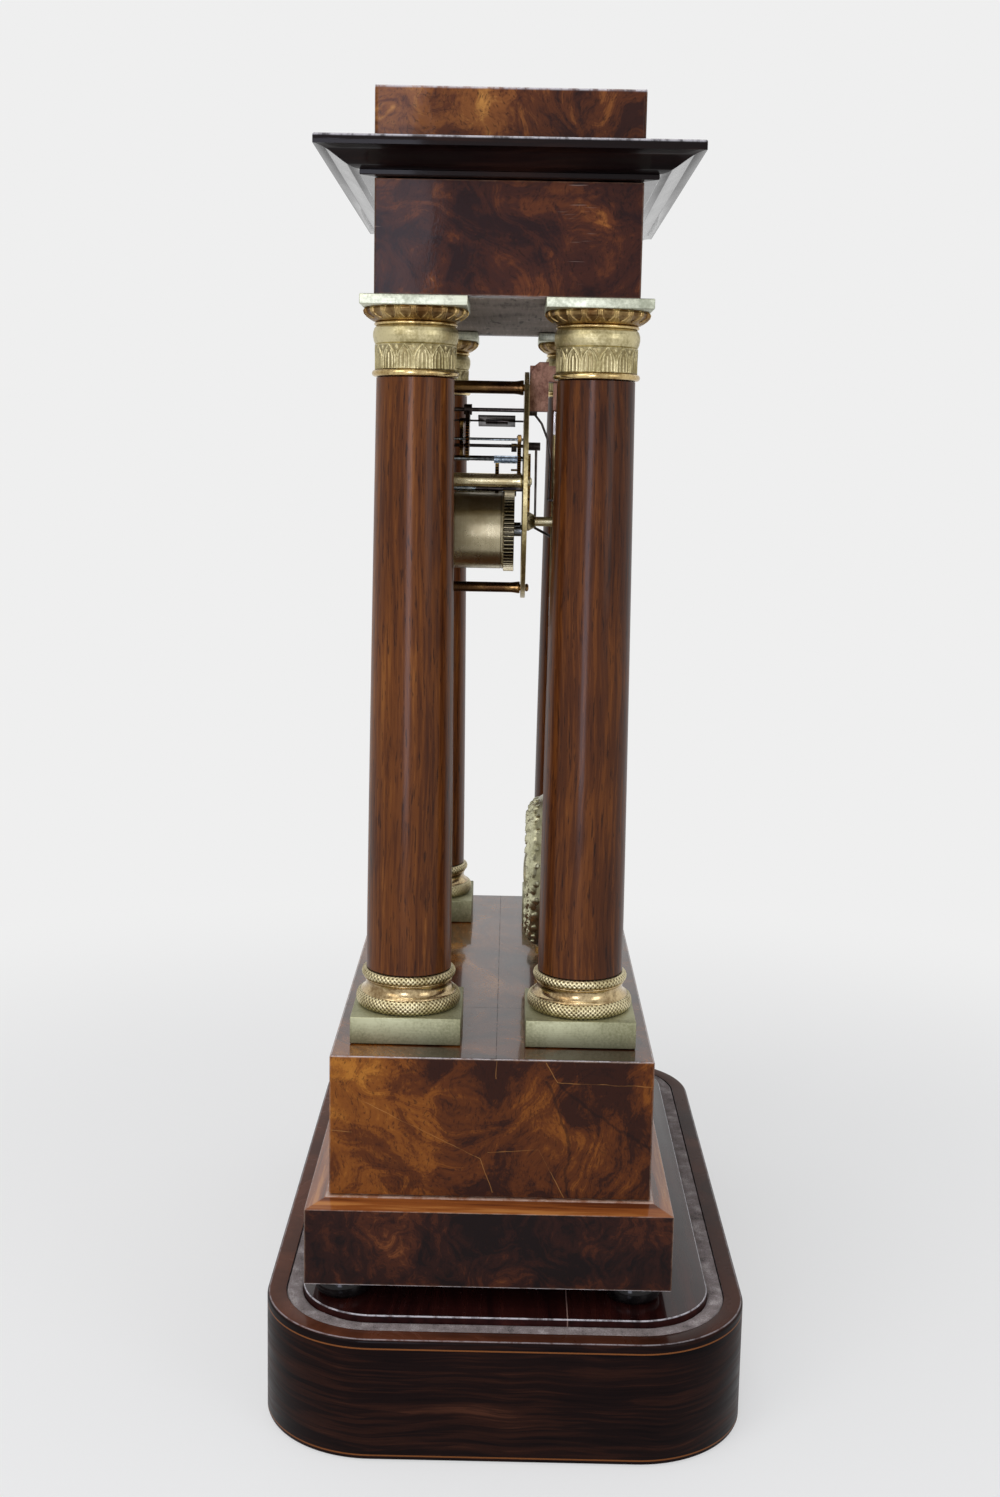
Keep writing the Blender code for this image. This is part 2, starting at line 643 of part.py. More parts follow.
def build_felt():
    """Felt strip that lines the dome groove."""
    low = STAND_FLOOR_HEIGHT - STAND_GROOVE_DEPTH + SEAT_GAP
    outside = STAND_RIM_WIDTH + SEAT_GAP
    inside = STAND_RIM_WIDTH + STAND_GROOVE_WIDTH - SEAT_GAP
    profile = [(outside, low), (outside, low + FELT_THICKNESS), (inside, low + FELT_THICKNESS), (inside, low)]
    stack("groove_felt", [stand_ring(inset, height) for inset, height in profile], FELT, closed=True)


def build_feet():
    """Four flattened bun feet of turned, ebonised wood."""
    height = FOOT_HEIGHT - 2 * SEAT_GAP
    profile = [(0.0, height)]
    steps = 4
    for i in range(steps + 1):
        angle = math.pi * i / steps
        radius = FOOT_RADIUS * (0.80 + 0.20 * math.sin(angle))
        profile.append((radius, 0.5 * height * (1.0 + math.cos(angle))))
    profile.append((0.0, 0.0))
    x = 0.5 * PEDESTAL_LENGTH + PLINTH_OVERHANG - FOOT_INSET
    y = 0.5 * PEDESTAL_DEPTH + PLINTH_OVERHANG - FOOT_INSET
    for depth_name, sy in (("front", -1), ("back", 1)):
        for side_name, sx in (("left", -1), ("right", 1)):
            turned(f"foot_{depth_name}_{side_name}", profile, FOOT_SIDES, EBONISED,
                   place=(sx * x, sy * y, STAND_FLOOR_HEIGHT + SEAT_GAP))


def build_pedestal():
    """Plinth block with its sloped top band, and the pedestal that stands on it."""
    length = PEDESTAL_LENGTH + 2 * PLINTH_OVERHANG
    depth = PEDESTAL_DEPTH + 2 * PLINTH_OVERHANG
    top = PLINTH_TOP_Z - SEAT_GAP
    rings = [rectangle_ring(length, depth, PLINTH_BASE_Z),
             rectangle_ring(length, depth, PLINTH_BASE_Z + PLINTH_BLOCK_HEIGHT),
             rectangle_ring(PEDESTAL_LENGTH + 2 * PLINTH_LIP, PEDESTAL_DEPTH + 2 * PLINTH_LIP, top)]
    stack("plinth_block", rings, DARK_BURR)
    pedestal = box("pedestal", (PEDESTAL_LENGTH, PEDESTAL_DEPTH, PEDESTAL_HEIGHT),
                   (0.0, 0.0, PLINTH_TOP_Z + 0.5 * PEDESTAL_HEIGHT), GOLDEN_BURR)
    bevel(pedestal, CASE_EDGE)


def half_round(radius, bottom, height, bulge_share, steps):
    """Points down the outside of a torus moulding, top to bottom."""
    points = []
    for i in range(steps + 1):
        angle = math.pi * i / steps
        swell = (1.0 - bulge_share) + bulge_share * math.sin(angle)
        points.append((radius * swell, bottom + 0.5 * height * (1.0 + math.cos(angle))))
    return points


def build_column_base(name, x, y):
    """Square plinth with a lower torus, a hollow scotia and an upper torus."""
    top = BASE_PLATE_HEIGHT + LOWER_TORUS_HEIGHT + SCOTIA_HEIGHT + UPPER_TORUS_HEIGHT
    scotia_top = top - UPPER_TORUS_HEIGHT
    scotia_low = scotia_top - SCOTIA_HEIGHT
    profile = [(0.0, top)]
    profile += half_round(UPPER_TORUS_RADIUS, scotia_top, UPPER_TORUS_HEIGHT, 0.07, 3)
    profile += [(SCOTIA_RADIUS, scotia_top - 0.25 * SCOTIA_HEIGHT),
                (SCOTIA_RADIUS + 0.12 * SCOTIA_HEIGHT, scotia_low + 0.35 * SCOTIA_HEIGHT)]
    profile += half_round(LOWER_TORUS_RADIUS, BASE_PLATE_HEIGHT, LOWER_TORUS_HEIGHT, 0.10, 3)
    profile[-1] = (profile[-1][0], BASE_PLATE_HEIGHT - OVERRUN)
    profile.append((0.0, BASE_PLATE_HEIGHT - OVERRUN))
    base = box(name, (BASE_PLATE_SIDE, BASE_PLATE_SIDE, BASE_PLATE_HEIGHT),
               (0.0, 0.0, 0.5 * BASE_PLATE_HEIGHT), PALE_BRASS)
    base.location = (x, y, PEDESTAL_TOP_Z + SEAT_GAP)
    fuse(base, turned(name + "_mouldings", profile, TORUS_SIDES))


def build_column_shaft(name, x, y):
    """Plain tapered shaft with a slight swelling."""
    bottom = PEDESTAL_TOP_Z + BASE_PLATE_HEIGHT + LOWER_TORUS_HEIGHT + SCOTIA_HEIGHT + UPPER_TORUS_HEIGHT
    bottom += 2 * SEAT_GAP
    top = capital_bottom() - SEAT_GAP
    height = top - bottom
    taper = SHAFT_FOOT_RADIUS - SHAFT_NECK_RADIUS
    profile = [(0.0, height)]
    for share in (1.0, 0.66, 0.33, 0.0):
        profile.append((SHAFT_FOOT_RADIUS - taper * share ** 1.3, height * share))
    profile.append((0.0, 0.0))
    turned(name, profile, SHAFT_SIDES, MAHOGANY, place=(x, y, bottom))


def capital_bottom():
    capital = (ASTRAGAL_HEIGHT + LEAF_BAND_HEIGHT + CUSHION_HEIGHT + BEAD_HEIGHT
               + ECHINUS_HEIGHT + ABACUS_HEIGHT)
    return SOFFIT_Z - SEAT_GAP - capital


def build_capital(name, x, y):
    """Astragal, leaf band, cushion, bead and spreading echinus under a square abacus."""
    leaf_low = ASTRAGAL_HEIGHT
    cushion_low = leaf_low + LEAF_BAND_HEIGHT
    bead_low = cushion_low + CUSHION_HEIGHT
    echinus_low = bead_low + BEAD_HEIGHT
    abacus_low = echinus_low + ECHINUS_HEIGHT
    profile = [(0.0, abacus_low + 0.4 * ABACUS_HEIGHT), (0.95 * ECHINUS_RADIUS, abacus_low + 0.4 * ABACUS_HEIGHT),
               (ECHINUS_RADIUS, abacus_low - 0.16 * ECHINUS_HEIGHT),
               (0.90 * ECHINUS_RADIUS, echinus_low + 0.25 * ECHINUS_HEIGHT),
               (BEAD_RADIUS, echinus_low), (BEAD_RADIUS, bead_low),
               (CUSHION_RADIUS, bead_low - 0.50 * CUSHION_HEIGHT),
               (LEAF_BAND_RADIUS, cushion_low), (LEAF_BAND_RADIUS, leaf_low)]
    profile += half_round(ASTRAGAL_RADIUS, 0.0, ASTRAGAL_HEIGHT, 0.06, 2)[1:]
    profile.append((0.0, 0.0))
    abacus = box(name, (ABACUS_SIDE, ABACUS_SIDE, ABACUS_HEIGHT),
                 (0.0, 0.0, abacus_low + 0.5 * ABACUS_HEIGHT), PALE_BRASS)
    abacus.location = (x, y, capital_bottom())
    fuse(abacus, turned(name + "_turning", profile, TORUS_SIDES))


def build_columns():
    for depth_name, sy in (("front", -1), ("back", 1)):
        for side_name, sx in (("left", -1), ("right", 1)):
            x = 0.5 * sx * COLUMN_SPACING_X
            y = 0.5 * sy * COLUMN_SPACING_Y
            build_column_base(f"column_base_{depth_name}_{side_name}", x, y)
            build_column_shaft(f"column_shaft_{depth_name}_{side_name}", x, y)
            build_capital(f"capital_{depth_name}_{side_name}", x, y)


def build_entablature():
    """Veneered frieze with the bare board let into its underside, the cornice and the attic block."""
    frieze = box("frieze", (FRIEZE_LENGTH, FRIEZE_DEPTH, FRIEZE_HEIGHT - SEAT_GAP),
                 (0.0, 0.0, SOFFIT_Z + 0.5 * (FRIEZE_HEIGHT - SEAT_GAP)), DARK_BURR)
    inner_length = FRIEZE_LENGTH - 2 * FRIEZE_WALL
    inner_depth = FRIEZE_DEPTH - 2 * FRIEZE_WALL
    recess = SOFFIT_BOARD_THICKNESS + SEAT_GAP
    cut(frieze, box("frieze_recess", (inner_length, inner_depth, recess + OVERRUN),
                    (0.0, 0.0, SOFFIT_Z + 0.5 * (recess - OVERRUN))))
    box("soffit_board", (inner_length - 2 * SEAT_GAP, inner_depth - 2 * SEAT_GAP, SOFFIT_BOARD_THICKNESS),
        (0.0, 0.0, SOFFIT_Z + 0.5 * SOFFIT_BOARD_THICKNESS), BARE_BOARD)

    fillet_top = FRIEZE_TOP_Z + CORNICE_FILLET_HEIGHT
    cyma_top = fillet_top + CORNICE_CYMA_HEIGHT
    steps = [(CORNICE_FILLET_OUT, FRIEZE_TOP_Z), (CORNICE_FILLET_OUT, fillet_top)]
    reach = CORNICE_OVERHANG - CORNICE_FILLET_OUT
    for i in range(1, CYMA_STEPS + 1):
        share = i / CYMA_STEPS
        swing = 0.5 * (1.0 - math.cos(math.pi * share))
        steps.append((CORNICE_FILLET_OUT + reach * share, fillet_top + CORNICE_CYMA_HEIGHT * swing))
    steps.append((CORNICE_OVERHANG, cyma_top + CORNICE_TOP_HEIGHT - SEAT_GAP))
    rings = [rectangle_ring(FRIEZE_LENGTH + 2 * out, FRIEZE_DEPTH + 2 * out, z) for out, z in steps]
    stack("cornice", rings, BLACK_BROWN)

    attic = box("attic", (ATTIC_LENGTH, ATTIC_DEPTH, ATTIC_HEIGHT),
                (0.0, 0.0, CORNICE_TOP_Z + 0.5 * ATTIC_HEIGHT), DARK_BURR)
    bevel(attic, CASE_EDGE)


# Movement layout: x to the right, y up, z forward, about the centre arbor

def circles_meet(centre_a, radius_a, centre_b, radius_b, side):
    """The point at the given distances from two centres, on the left (+1) or right (-1) of the way between."""
    a = Vector(centre_a)
    b = Vector(centre_b)
    span = (b - a).length
    along = (radius_a ** 2 - radius_b ** 2 + span ** 2) / (2.0 * span)
    across = math.sqrt(radius_a ** 2 - along ** 2)
    way = (b - a) / span
    return a + way * along + Vector((-way.y, way.x)) * across * side


def mesh_distance(module, teeth, leaves):
    return 0.5 * module * (teeth + leaves)


CENTRE = Vector((0.0, 0.0))
GOING_BARREL = Vector((BARREL_REACH, -BARREL_DROP))
STRIKE_BARREL = Vector((-BARREL_REACH, -BARREL_DROP))
ESCAPE = Vector((0.0, ESCAPE_RISE))
PALLETS = Vector((0.0, PALLET_RISE))
FIRST_DISTANCE = mesh_distance(BARREL_MODULE, BARREL_TEETH, FIRST_PINION_LEAVES)
SECOND = circles_meet(CENTRE, mesh_distance(SECOND_MODULE, SECOND_TEETH, CENTRE_LEAVES),
                      GOING_BARREL, FIRST_DISTANCE, 1)
THIRD = circles_meet(CENTRE, mesh_distance(CENTRE_MODULE, CENTRE_TEETH, THIRD_LEAVES),
                     ESCAPE, mesh_distance(THIRD_MODULE, THIRD_TEETH, ESCAPE_LEAVES), -1)
STRIKE_SECOND = STRIKE_BARREL + Vector((-STRIKE_SECOND_LEAN,
                                        math.sqrt(FIRST_DISTANCE ** 2 - STRIKE_SECOND_LEAN ** 2)))


def up_from(start, distance, rise, side):
    """The arbor a gear distance away from another, at a given height, on the +x or -x side of it."""
    climb = rise - start.y
    return Vector((start.x + side * math.sqrt(distance ** 2 - climb ** 2), rise))


PIN_WHEEL = up_from(STRIKE_SECOND, mesh_distance(STRIKE_SECOND_MODULE, STRIKE_SECOND_TEETH, PIN_WHEEL_LEAVES),
                    PIN_WHEEL_RISE, 1)
LOCKING = up_from(PIN_WHEEL, mesh_distance(PIN_WHEEL_MODULE, PIN_WHEEL_TEETH, LOCKING_LEAVES),
                  LOCKING_WHEEL_RISE, 1)
FLY = up_from(LOCKING, mesh_distance(LOCKING_MODULE, LOCKING_TEETH, FLY_LEAVES), FLY_RISE, -1)
HAMMER = Vector((-HAMMER_REACH, HAMMER_RISE))
BELL = Vector((BELL_REACH, -BELL_DROP))
MOTION_ANGLE = math.radians(MOTION_ANGLE_DEG)
MOTION_DISTANCE = mesh_distance(MOTION_MODULE, MINUTE_TEETH, CANNON_LEAVES)
HOUR_MODULE = 2.0 * MOTION_DISTANCE / (HOUR_TEETH + MINUTE_LEAVES)
MINUTE = MOTION_DISTANCE * Vector((math.cos(MOTION_ANGLE), math.sin(MOTION_ANGLE)))


def heading(start, end):
    way = end - start
    return math.atan2(way.y, way.x)


def click_place(barrel):
    """A click's pivot, outward of its ratchet."""
    side = 1.0 if barrel.x > 0.0 else -1.0
    angle = math.radians(CLICK_TURN_DEG)
    return barrel + CLICK_REACH * Vector((side * math.cos(angle), -math.sin(angle)))


def at(point, depth=0.0):
    return (point.x, point.y, depth)


# Gear outlines

def wheel_outline(teeth, module, first_tooth):
    """Pointed teeth, the first at the given angle."""
    pitch_radius = 0.5 * teeth * module
    tip = pitch_radius + ADDENDUM_SHARE * module
    root = pitch_radius - WHEEL_DEDENDUM_SHARE * module
    points = []
    for i in range(teeth):
        for radius, step in ((tip, 0.0), (root, 0.5)):
            angle = first_tooth + FULL_TURN * (i + step) / teeth
            points.append((radius * math.cos(angle), radius * math.sin(angle)))
    return points


def pinion_outline(leaves, module, first_gap):
    """Leaves with straight flanks and narrow tips, the first gap at the given angle."""
    pitch_radius = 0.5 * leaves * module
    tip = pitch_radius + PINION_ADDENDUM_SHARE * module
    root = pitch_radius - PINION_DEDENDUM_SHARE * module
    points = []
    for i in range(leaves):
        for radius, step in ((root, 0.5 - LEAF_ROOT_SHARE), (tip, 0.5 - LEAF_TIP_SHARE),
                             (tip, 0.5 + LEAF_TIP_SHARE), (root, 0.5 + LEAF_ROOT_SHARE)):
            angle = first_gap + FULL_TURN * (i + step) / leaves
            points.append((radius * math.cos(angle), radius * math.sin(angle)))
    return points


def crossings(hub, rim):
    """The windows between a wheel's spokes."""
    loops = []
    for i in range(SPOKES):
        start = FULL_TURN * i / SPOKES
        end = FULL_TURN * (i + 1) / SPOKES
        outer = 0.5 * SPOKE_WIDTH / rim
        inner = 0.5 * SPOKE_WIDTH / hub
        angles = [(rim, start + outer), (rim, 0.5 * (start + end)), (rim, end - outer),
                  (hub, end - inner), (hub, start + inner)]
        loops.append([(radius * math.cos(angle), radius * math.sin(angle)) for radius, angle in angles])
    return loops


def wheel_plate(name, teeth, module, first_tooth, rear, thickness=WHEEL_THICKNESS, hub=HUB_RADIUS):
    rim = RIM_SHARE * 0.5 * teeth * module
    loops = [wheel_outline(teeth, module, first_tooth)] + crossings(hub, rim)
    return flat_shape(name, loops, thickness, rear)


def arbor(name, place, radius, frame, material=MOVEMENT_BRASS, front=None, rear=None,
          front_radius=None, rear_radius=None):
    """A turned arbor with a pivot or an extension through each plate."""
    front_radius = PIVOT_SHARE * radius if front_radius is None else front_radius
    rear_radius = PIVOT_SHARE * radius if rear_radius is None else rear_radius
    shoulder_front = FRONT_PLATE_REAR - RUNNING_GAP
    shoulder_rear = BACK_PLATE_FRONT + RUNNING_GAP
    front = FRONT_PLATE_FRONT - PIVOT_END_SETBACK if front is None else front
    rear = BACK_PLATE_REAR + PIVOT_END_SETBACK if rear is None else rear
    profile = [(0.0, front), (front_radius, front), (front_radius, shoulder_front), (radius, shoulder_front),
               (radius, shoulder_rear), (rear_radius, shoulder_rear), (rear_radius, rear), (0.0, rear)]
    return turned(name, profile, ARBOR_SIDES, material, place=at(place), parent=frame)


def pinion(name, leaves, module, first_gap, rear, length):
    return flat_shape(name, [pinion_outline(leaves, module, first_gap)], length, rear)


def facing_gap(wheel_centre, pinion_centre):
    """The angle at which a pinion turns a gap to the wheel that drives it."""
    return heading(pinion_centre, wheel_centre)


# Plates

def build_plates(frame):
    """Round brass plates held apart by four pillars riveted to the front one."""
    pillars = ((Vector((0.0, TOP_PILLAR_RISE)), TOP_PILLAR_RADIUS),
               (Vector((SIDE_PILLAR_REACH, SIDE_PILLAR_RISE)), SIDE_PILLAR_RADIUS),
               (Vector((-SIDE_PILLAR_REACH, SIDE_PILLAR_RISE)), SIDE_PILLAR_RADIUS),
               (Vector((0.0, -LOW_PILLAR_DROP)), LOW_PILLAR_RADIUS))
    pivots = [(SECOND, MAIN_ARBOR_RADIUS), (THIRD, TRAIN_ARBOR_RADIUS), (ESCAPE, FINE_ARBOR_RADIUS),
              (PIN_WHEEL, TRAIN_ARBOR_RADIUS), (LOCKING, FINE_ARBOR_RADIUS), (FLY, FINE_ARBOR_RADIUS)]
    front_only = [(STRIKE_SECOND, COUNT_ARBOR_RADIUS), (PALLETS, PALLET_ARBOR_RADIUS), (HAMMER, HAMMER_ARBOR_RADIUS)]

    front_holes = [(point, PIVOT_SHARE * radius + RUNNING_GAP) for point, radius in pivots + front_only]
    front_holes.append((CENTRE, CANNON_BORE))
    front_holes.append((MINUTE, MINUTE_PIN_RADIUS + RUNNING_GAP))
    for barrel in (GOING_BARREL, STRIKE_BARREL):
        front_holes.append((barrel, WINDING_PIVOT_RADIUS + RUNNING_GAP))
        front_holes.append((click_place(barrel), CLICK_PIN_RADIUS + RUNNING_GAP))
    loops = [circle(PLATE_RADIUS, PLATE_SIDES)] + [hole(r, HOLE_SIDES, p) for p, r in front_holes]
    front = flat_shape("front_plate", loops, PLATE_THICKNESS, FRONT_PLATE_REAR, MOVEMENT_BRASS, parent=frame)
    for index, (point, radius) in enumerate(pillars):
        shoulder = BACK_PLATE_FRONT + SEAT_GAP
        end = BACK_PLATE_REAR - PILLAR_TENON_REACH
        head = FRONT_PLATE_REAR + 0.5 * PLATE_THICKNESS
        waist = 0.86 * radius
        collar = 1.4 * radius
        profile = [(0.0, head), (waist, head), (waist, shoulder + collar), (radius, shoulder),
                   (PILLAR_TENON_RADIUS, shoulder), (PILLAR_TENON_RADIUS, end),
                   (0.0, end - 0.3 * PILLAR_TENON_REACH)]
        fuse(front, turned(f"pillar_{index}", profile, PILLAR_SIDES, place=at(point)))

    back_only = [(CENTRE, MAIN_ARBOR_RADIUS)]
    back_holes = [(point, PIVOT_SHARE * radius + RUNNING_GAP) for point, radius in pivots + back_only]
    back_holes.append((STRIKE_SECOND, COUNT_ARBOR_RADIUS + RUNNING_GAP))
    back_holes.append((PALLETS, PALLET_ARBOR_RADIUS + RUNNING_GAP))
    back_holes.append((HAMMER, HAMMER_ARBOR_RADIUS + RUNNING_GAP))
    for barrel in (GOING_BARREL, STRIKE_BARREL):
        back_holes.append((barrel, WINDING_TAIL_RADIUS + RUNNING_GAP))
    for point, radius in pillars:
        back_holes.append((point, PILLAR_TENON_RADIUS + SEAT_GAP))
    loops = [circle(PLATE_RADIUS, PLATE_SIDES)] + [hole(r, HOLE_SIDES, p) for p, r in back_holes]
    flat_shape("back_plate", loops, PLATE_THICKNESS, BACK_PLATE_REAR, MOVEMENT_BRASS, parent=frame)


# Barrels and winding

def build_barrel(name, barrel, second, frame):
    """Spring barrel with its great wheel, hollow, turning on the winding arbor."""
    bore = WINDING_ARBOR_RADIUS + RUNNING_GAP
    first_tooth = heading(barrel, second)
    loops = [wheel_outline(BARREL_TEETH, BARREL_MODULE, first_tooth), circle(bore, 12)]
    wheel = flat_shape(name, loops, GREAT_WHEEL_THICKNESS, GREAT_WHEEL_REAR, MOVEMENT_BRASS,
                       place=at(barrel), parent=frame)
    top = GREAT_WHEEL_FRONT + DRUM_LENGTH
    low = GREAT_WHEEL_FRONT - OVERRUN
    inner = DRUM_RADIUS - DRUM_WALL
    profile = [(bore, top), (DRUM_RADIUS, top), (DRUM_RADIUS, low), (inner, low),
               (inner, top - DRUM_WALL), (bore, top - DRUM_WALL)]
    fuse(wheel, turned(name + "_drum", profile, DRUM_SIDES, ring=True))


def build_winding_arbor(name, barrel, frame):
    """Arbor through the barrel, with its ratchet wheel in front of the plate and a square for the key."""
    ratchet_rear = FRONT_PLATE_FRONT + SEAT_GAP
    ratchet_front = ratchet_rear + RATCHET_THICKNESS
    key_end = DIAL_FRONT - RUNNING_GAP
    piece = arbor(name, barrel, WINDING_ARBOR_RADIUS, frame, STEEL, front=ratchet_front + RUNNING_GAP,
                  front_radius=WINDING_PIVOT_RADIUS, rear_radius=WINDING_TAIL_RADIUS)
    points = []
    for i in range(RATCHET_TEETH):
        for radius, step in ((RATCHET_ROOT, 0.0), (RATCHET_RADIUS, 0.12)):
            angle = FULL_TURN * (i + step) / RATCHET_TEETH
            points.append((radius * math.cos(angle), radius * math.sin(angle)))
    ratchet = flat_shape(name + "_ratchet", [points], RATCHET_THICKNESS, ratchet_rear)
    length = key_end - ratchet_rear
    square = box(name + "_square", (WINDING_SQUARE, WINDING_SQUARE, length),
                 (0.0, 0.0, ratchet_rear + 0.5 * length + 0.25 * RATCHET_THICKNESS))
    fuse(piece, ratchet, square)


def build_click(name, barrel, frame):
    """Click whose nose lies just outside the ratchet's tip circle."""
    pivot = click_place(barrel)
    reach = (barrel - pivot).length - RATCHET_RADIUS - RUNNING_GAP
    toward = heading(pivot, barrel)
    side = 1.0 if barrel.x > 0.0 else -1.0
    half = 0.5 * CLICK_WIDTH
    way = Vector((math.cos(toward), math.sin(toward)))
    cross = Vector((-way.y, way.x)) * side
    outline = [way * reach + cross * 0.3 * half, way * reach - cross * 0.3 * half,
               -way * half - cross * half, -way * (2.2 * half) + cross * (0.4 * half),
               way * (0.4 * reach) + cross * (1.2 * half)]
    rear = FRONT_PLATE_FRONT + SEAT_GAP
    click = flat_shape(name, [[(p.x, p.y) for p in outline]], RATCHET_THICKNESS, rear, STEEL,
                       place=at(pivot), parent=frame)
    pin_end = FRONT_PLATE_REAR + RUNNING_GAP
    pin_top = rear + 0.5 * RATCHET_THICKNESS
    fuse(click, rod(name + "_pin", CLICK_PIN_RADIUS, pin_top - pin_end, ARBOR_SIDES,
                    (0.0, 0.0, 0.5 * (pin_top + pin_end))))


# Going train

def build_going_train(frame):
    build_barrel("going_barrel", GOING_BARREL, SECOND, frame)
    build_winding_arbor("going_winding_arbor", GOING_BARREL, frame)
    build_click("going_click", GOING_BARREL, frame)

    second = arbor("going_second_wheel", SECOND, MAIN_ARBOR_RADIUS, frame)
    fuse(second,
         pinion("going_second_pinion", FIRST_PINION_LEAVES, BARREL_MODULE, facing_gap(GOING_BARREL, SECOND),
                GREAT_WHEEL_REAR - PINION_OVERLAP, GREAT_WHEEL_THICKNESS + 2 * PINION_OVERLAP),
         wheel_plate("going_second_plate", SECOND_TEETH, SECOND_MODULE, heading(SECOND, CENTRE),
                     SECOND_WHEEL_DEPTH))

    centre_front = cannon_front() + PINION_OVERLAP
    centre = arbor("centre_wheel", CENTRE, MAIN_ARBOR_RADIUS, frame, front=centre_front,
                   front_radius=CANNON_BORE - RUNNING_GAP)
    fuse(centre,
         pinion("centre_pinion", CENTRE_LEAVES, SECOND_MODULE, facing_gap(SECOND, CENTRE),
                SECOND_WHEEL_DEPTH - PINION_OVERLAP, WHEEL_THICKNESS + 2 * PINION_OVERLAP),
         wheel_plate("centre_plate", CENTRE_TEETH, CENTRE_MODULE, heading(CENTRE, THIRD), CENTRE_WHEEL_DEPTH))

    third = arbor("third_wheel", THIRD, TRAIN_ARBOR_RADIUS, frame)
    fuse(third,
         pinion("third_pinion", THIRD_LEAVES, CENTRE_MODULE, facing_gap(CENTRE, THIRD),
                REAR_WHEEL_DEPTH + 0.5 * WHEEL_THICKNESS, THIRD_PINION_LENGTH + 0.5 * WHEEL_THICKNESS),
         wheel_plate("third_plate", THIRD_TEETH, THIRD_MODULE, heading(THIRD, ESCAPE), REAR_WHEEL_DEPTH))

    escape = arbor("escape_wheel", ESCAPE, FINE_ARBOR_RADIUS, frame)
    teeth = []
    for i in range(ESCAPE_TEETH):
        for radius, step in ((ESCAPE_ROOT_RADIUS, 0.0), (ESCAPE_TIP_RADIUS, ESCAPE_LEAN_SHARE)):
            angle = FULL_TURN * (i + step) / ESCAPE_TEETH
            teeth.append((radius * math.cos(angle), radius * math.sin(angle)))
    rim = RIM_SHARE * ESCAPE_ROOT_RADIUS
    fuse(escape,
         pinion("escape_pinion", ESCAPE_LEAVES, THIRD_MODULE, facing_gap(THIRD, ESCAPE),
                REAR_WHEEL_DEPTH - 0.4 * PINION_OVERLAP, WHEEL_THICKNESS + PINION_OVERLAP),
         flat_shape("escape_plate", [teeth] + crossings(HUB_RADIUS, rim), WHEEL_THICKNESS, ESCAPE_WHEEL_DEPTH))


def build_anchor(frame):
    """Anchor over the escape wheel, on an arbor that runs out through the back plate to carry the crutch."""
    rear = BACK_PLATE_REAR - SEAT_GAP - CRUTCH_COLLAR_LENGTH
    piece = arbor("anchor", PALLETS, PALLET_ARBOR_RADIUS, frame, STEEL, rear=rear, rear_radius=PALLET_ARBOR_RADIUS)
    drop = PALLET_RISE - ESCAPE_RISE
    nib = ESCAPE_TIP_RADIUS + PALLET_CLEARANCE
    inner = nib + PALLET_NIB
    outer = inner + ANCHOR_BAR
    half = math.radians(ANCHOR_HALF_SPAN_DEG)
    pallet = math.radians(PALLET_WIDTH_DEG)
    steps = 8

    def on_arc(radius, angle):
        return (radius * math.sin(angle), radius * math.cos(angle) - drop)

    outline = [on_arc(outer, -half + 2 * half * i / steps) for i in range(steps + 1)]
    outline += [on_arc(nib, half), on_arc(nib, half - pallet)]
    span = 2 * (half - pallet)
    outline += [on_arc(inner, half - pallet - span * i / steps) for i in range(steps + 1)]
    outline += [on_arc(nib, pallet - half), on_arc(nib, -half)]
    depth = ESCAPE_WHEEL_DEPTH - 0.5 * (ANCHOR_THICKNESS - WHEEL_THICKNESS)
    plate = flat_shape("anchor_plate", [outline], ANCHOR_THICKNESS, depth)
    collar_length = 2.0 * ANCHOR_THICKNESS
    collar = rod("anchor_collar", ANCHOR_COLLAR_RADIUS, collar_length, PILLAR_SIDES,
                 (0.0, 0.0, depth + 0.5 * ANCHOR_THICKNESS))
    fuse(piece, plate, collar)


def build_crutch(frame):
    """Bent wire from the anchor's arbor down to a fork astride the pendulum rod."""
    front = BACK_PLATE_REAR - SEAT_GAP
    rear = front - CRUTCH_COLLAR_LENGTH
    bore = PALLET_ARBOR_RADIUS + RUNNING_GAP
    collar = turned("crutch", [(bore, front), (CRUTCH_COLLAR_RADIUS, front), (CRUTCH_COLLAR_RADIUS, rear),
                               (bore, rear)], PILLAR_SIDES, STEEL, ring=True, place=at(PALLETS), parent=frame)
    rod_face = -(PENDULUM_Y - ROD_RADIUS)
    behind = rod_face + RUNNING_GAP + CRUTCH_WIRE_RADIUS
    start_depth = rear + CRUTCH_WIRE_RADIUS + RUNNING_GAP
    start_rise = -0.5 * (bore + CRUTCH_COLLAR_RADIUS)
    points = []
    for fall, back in CRUTCH_BEND_SHARES:
        points.append((0.0, start_rise - (CRUTCH_LENGTH + start_rise) * fall,
                       start_depth + (behind - start_depth) * back))
    foot = -CRUTCH_LENGTH
    fork_rear = behind - CRUTCH_FORK_LENGTH
    fork = [(-CRUTCH_FORK_HALF, foot, fork_rear), (-CRUTCH_FORK_HALF, foot, behind),
            (CRUTCH_FORK_HALF, foot, behind), (CRUTCH_FORK_HALF, foot, fork_rear)]
    fuse(collar, wire("crutch_wire", points, CRUTCH_WIRE_RADIUS), wire("crutch_fork", fork, CRUTCH_WIRE_RADIUS))


# Strike train

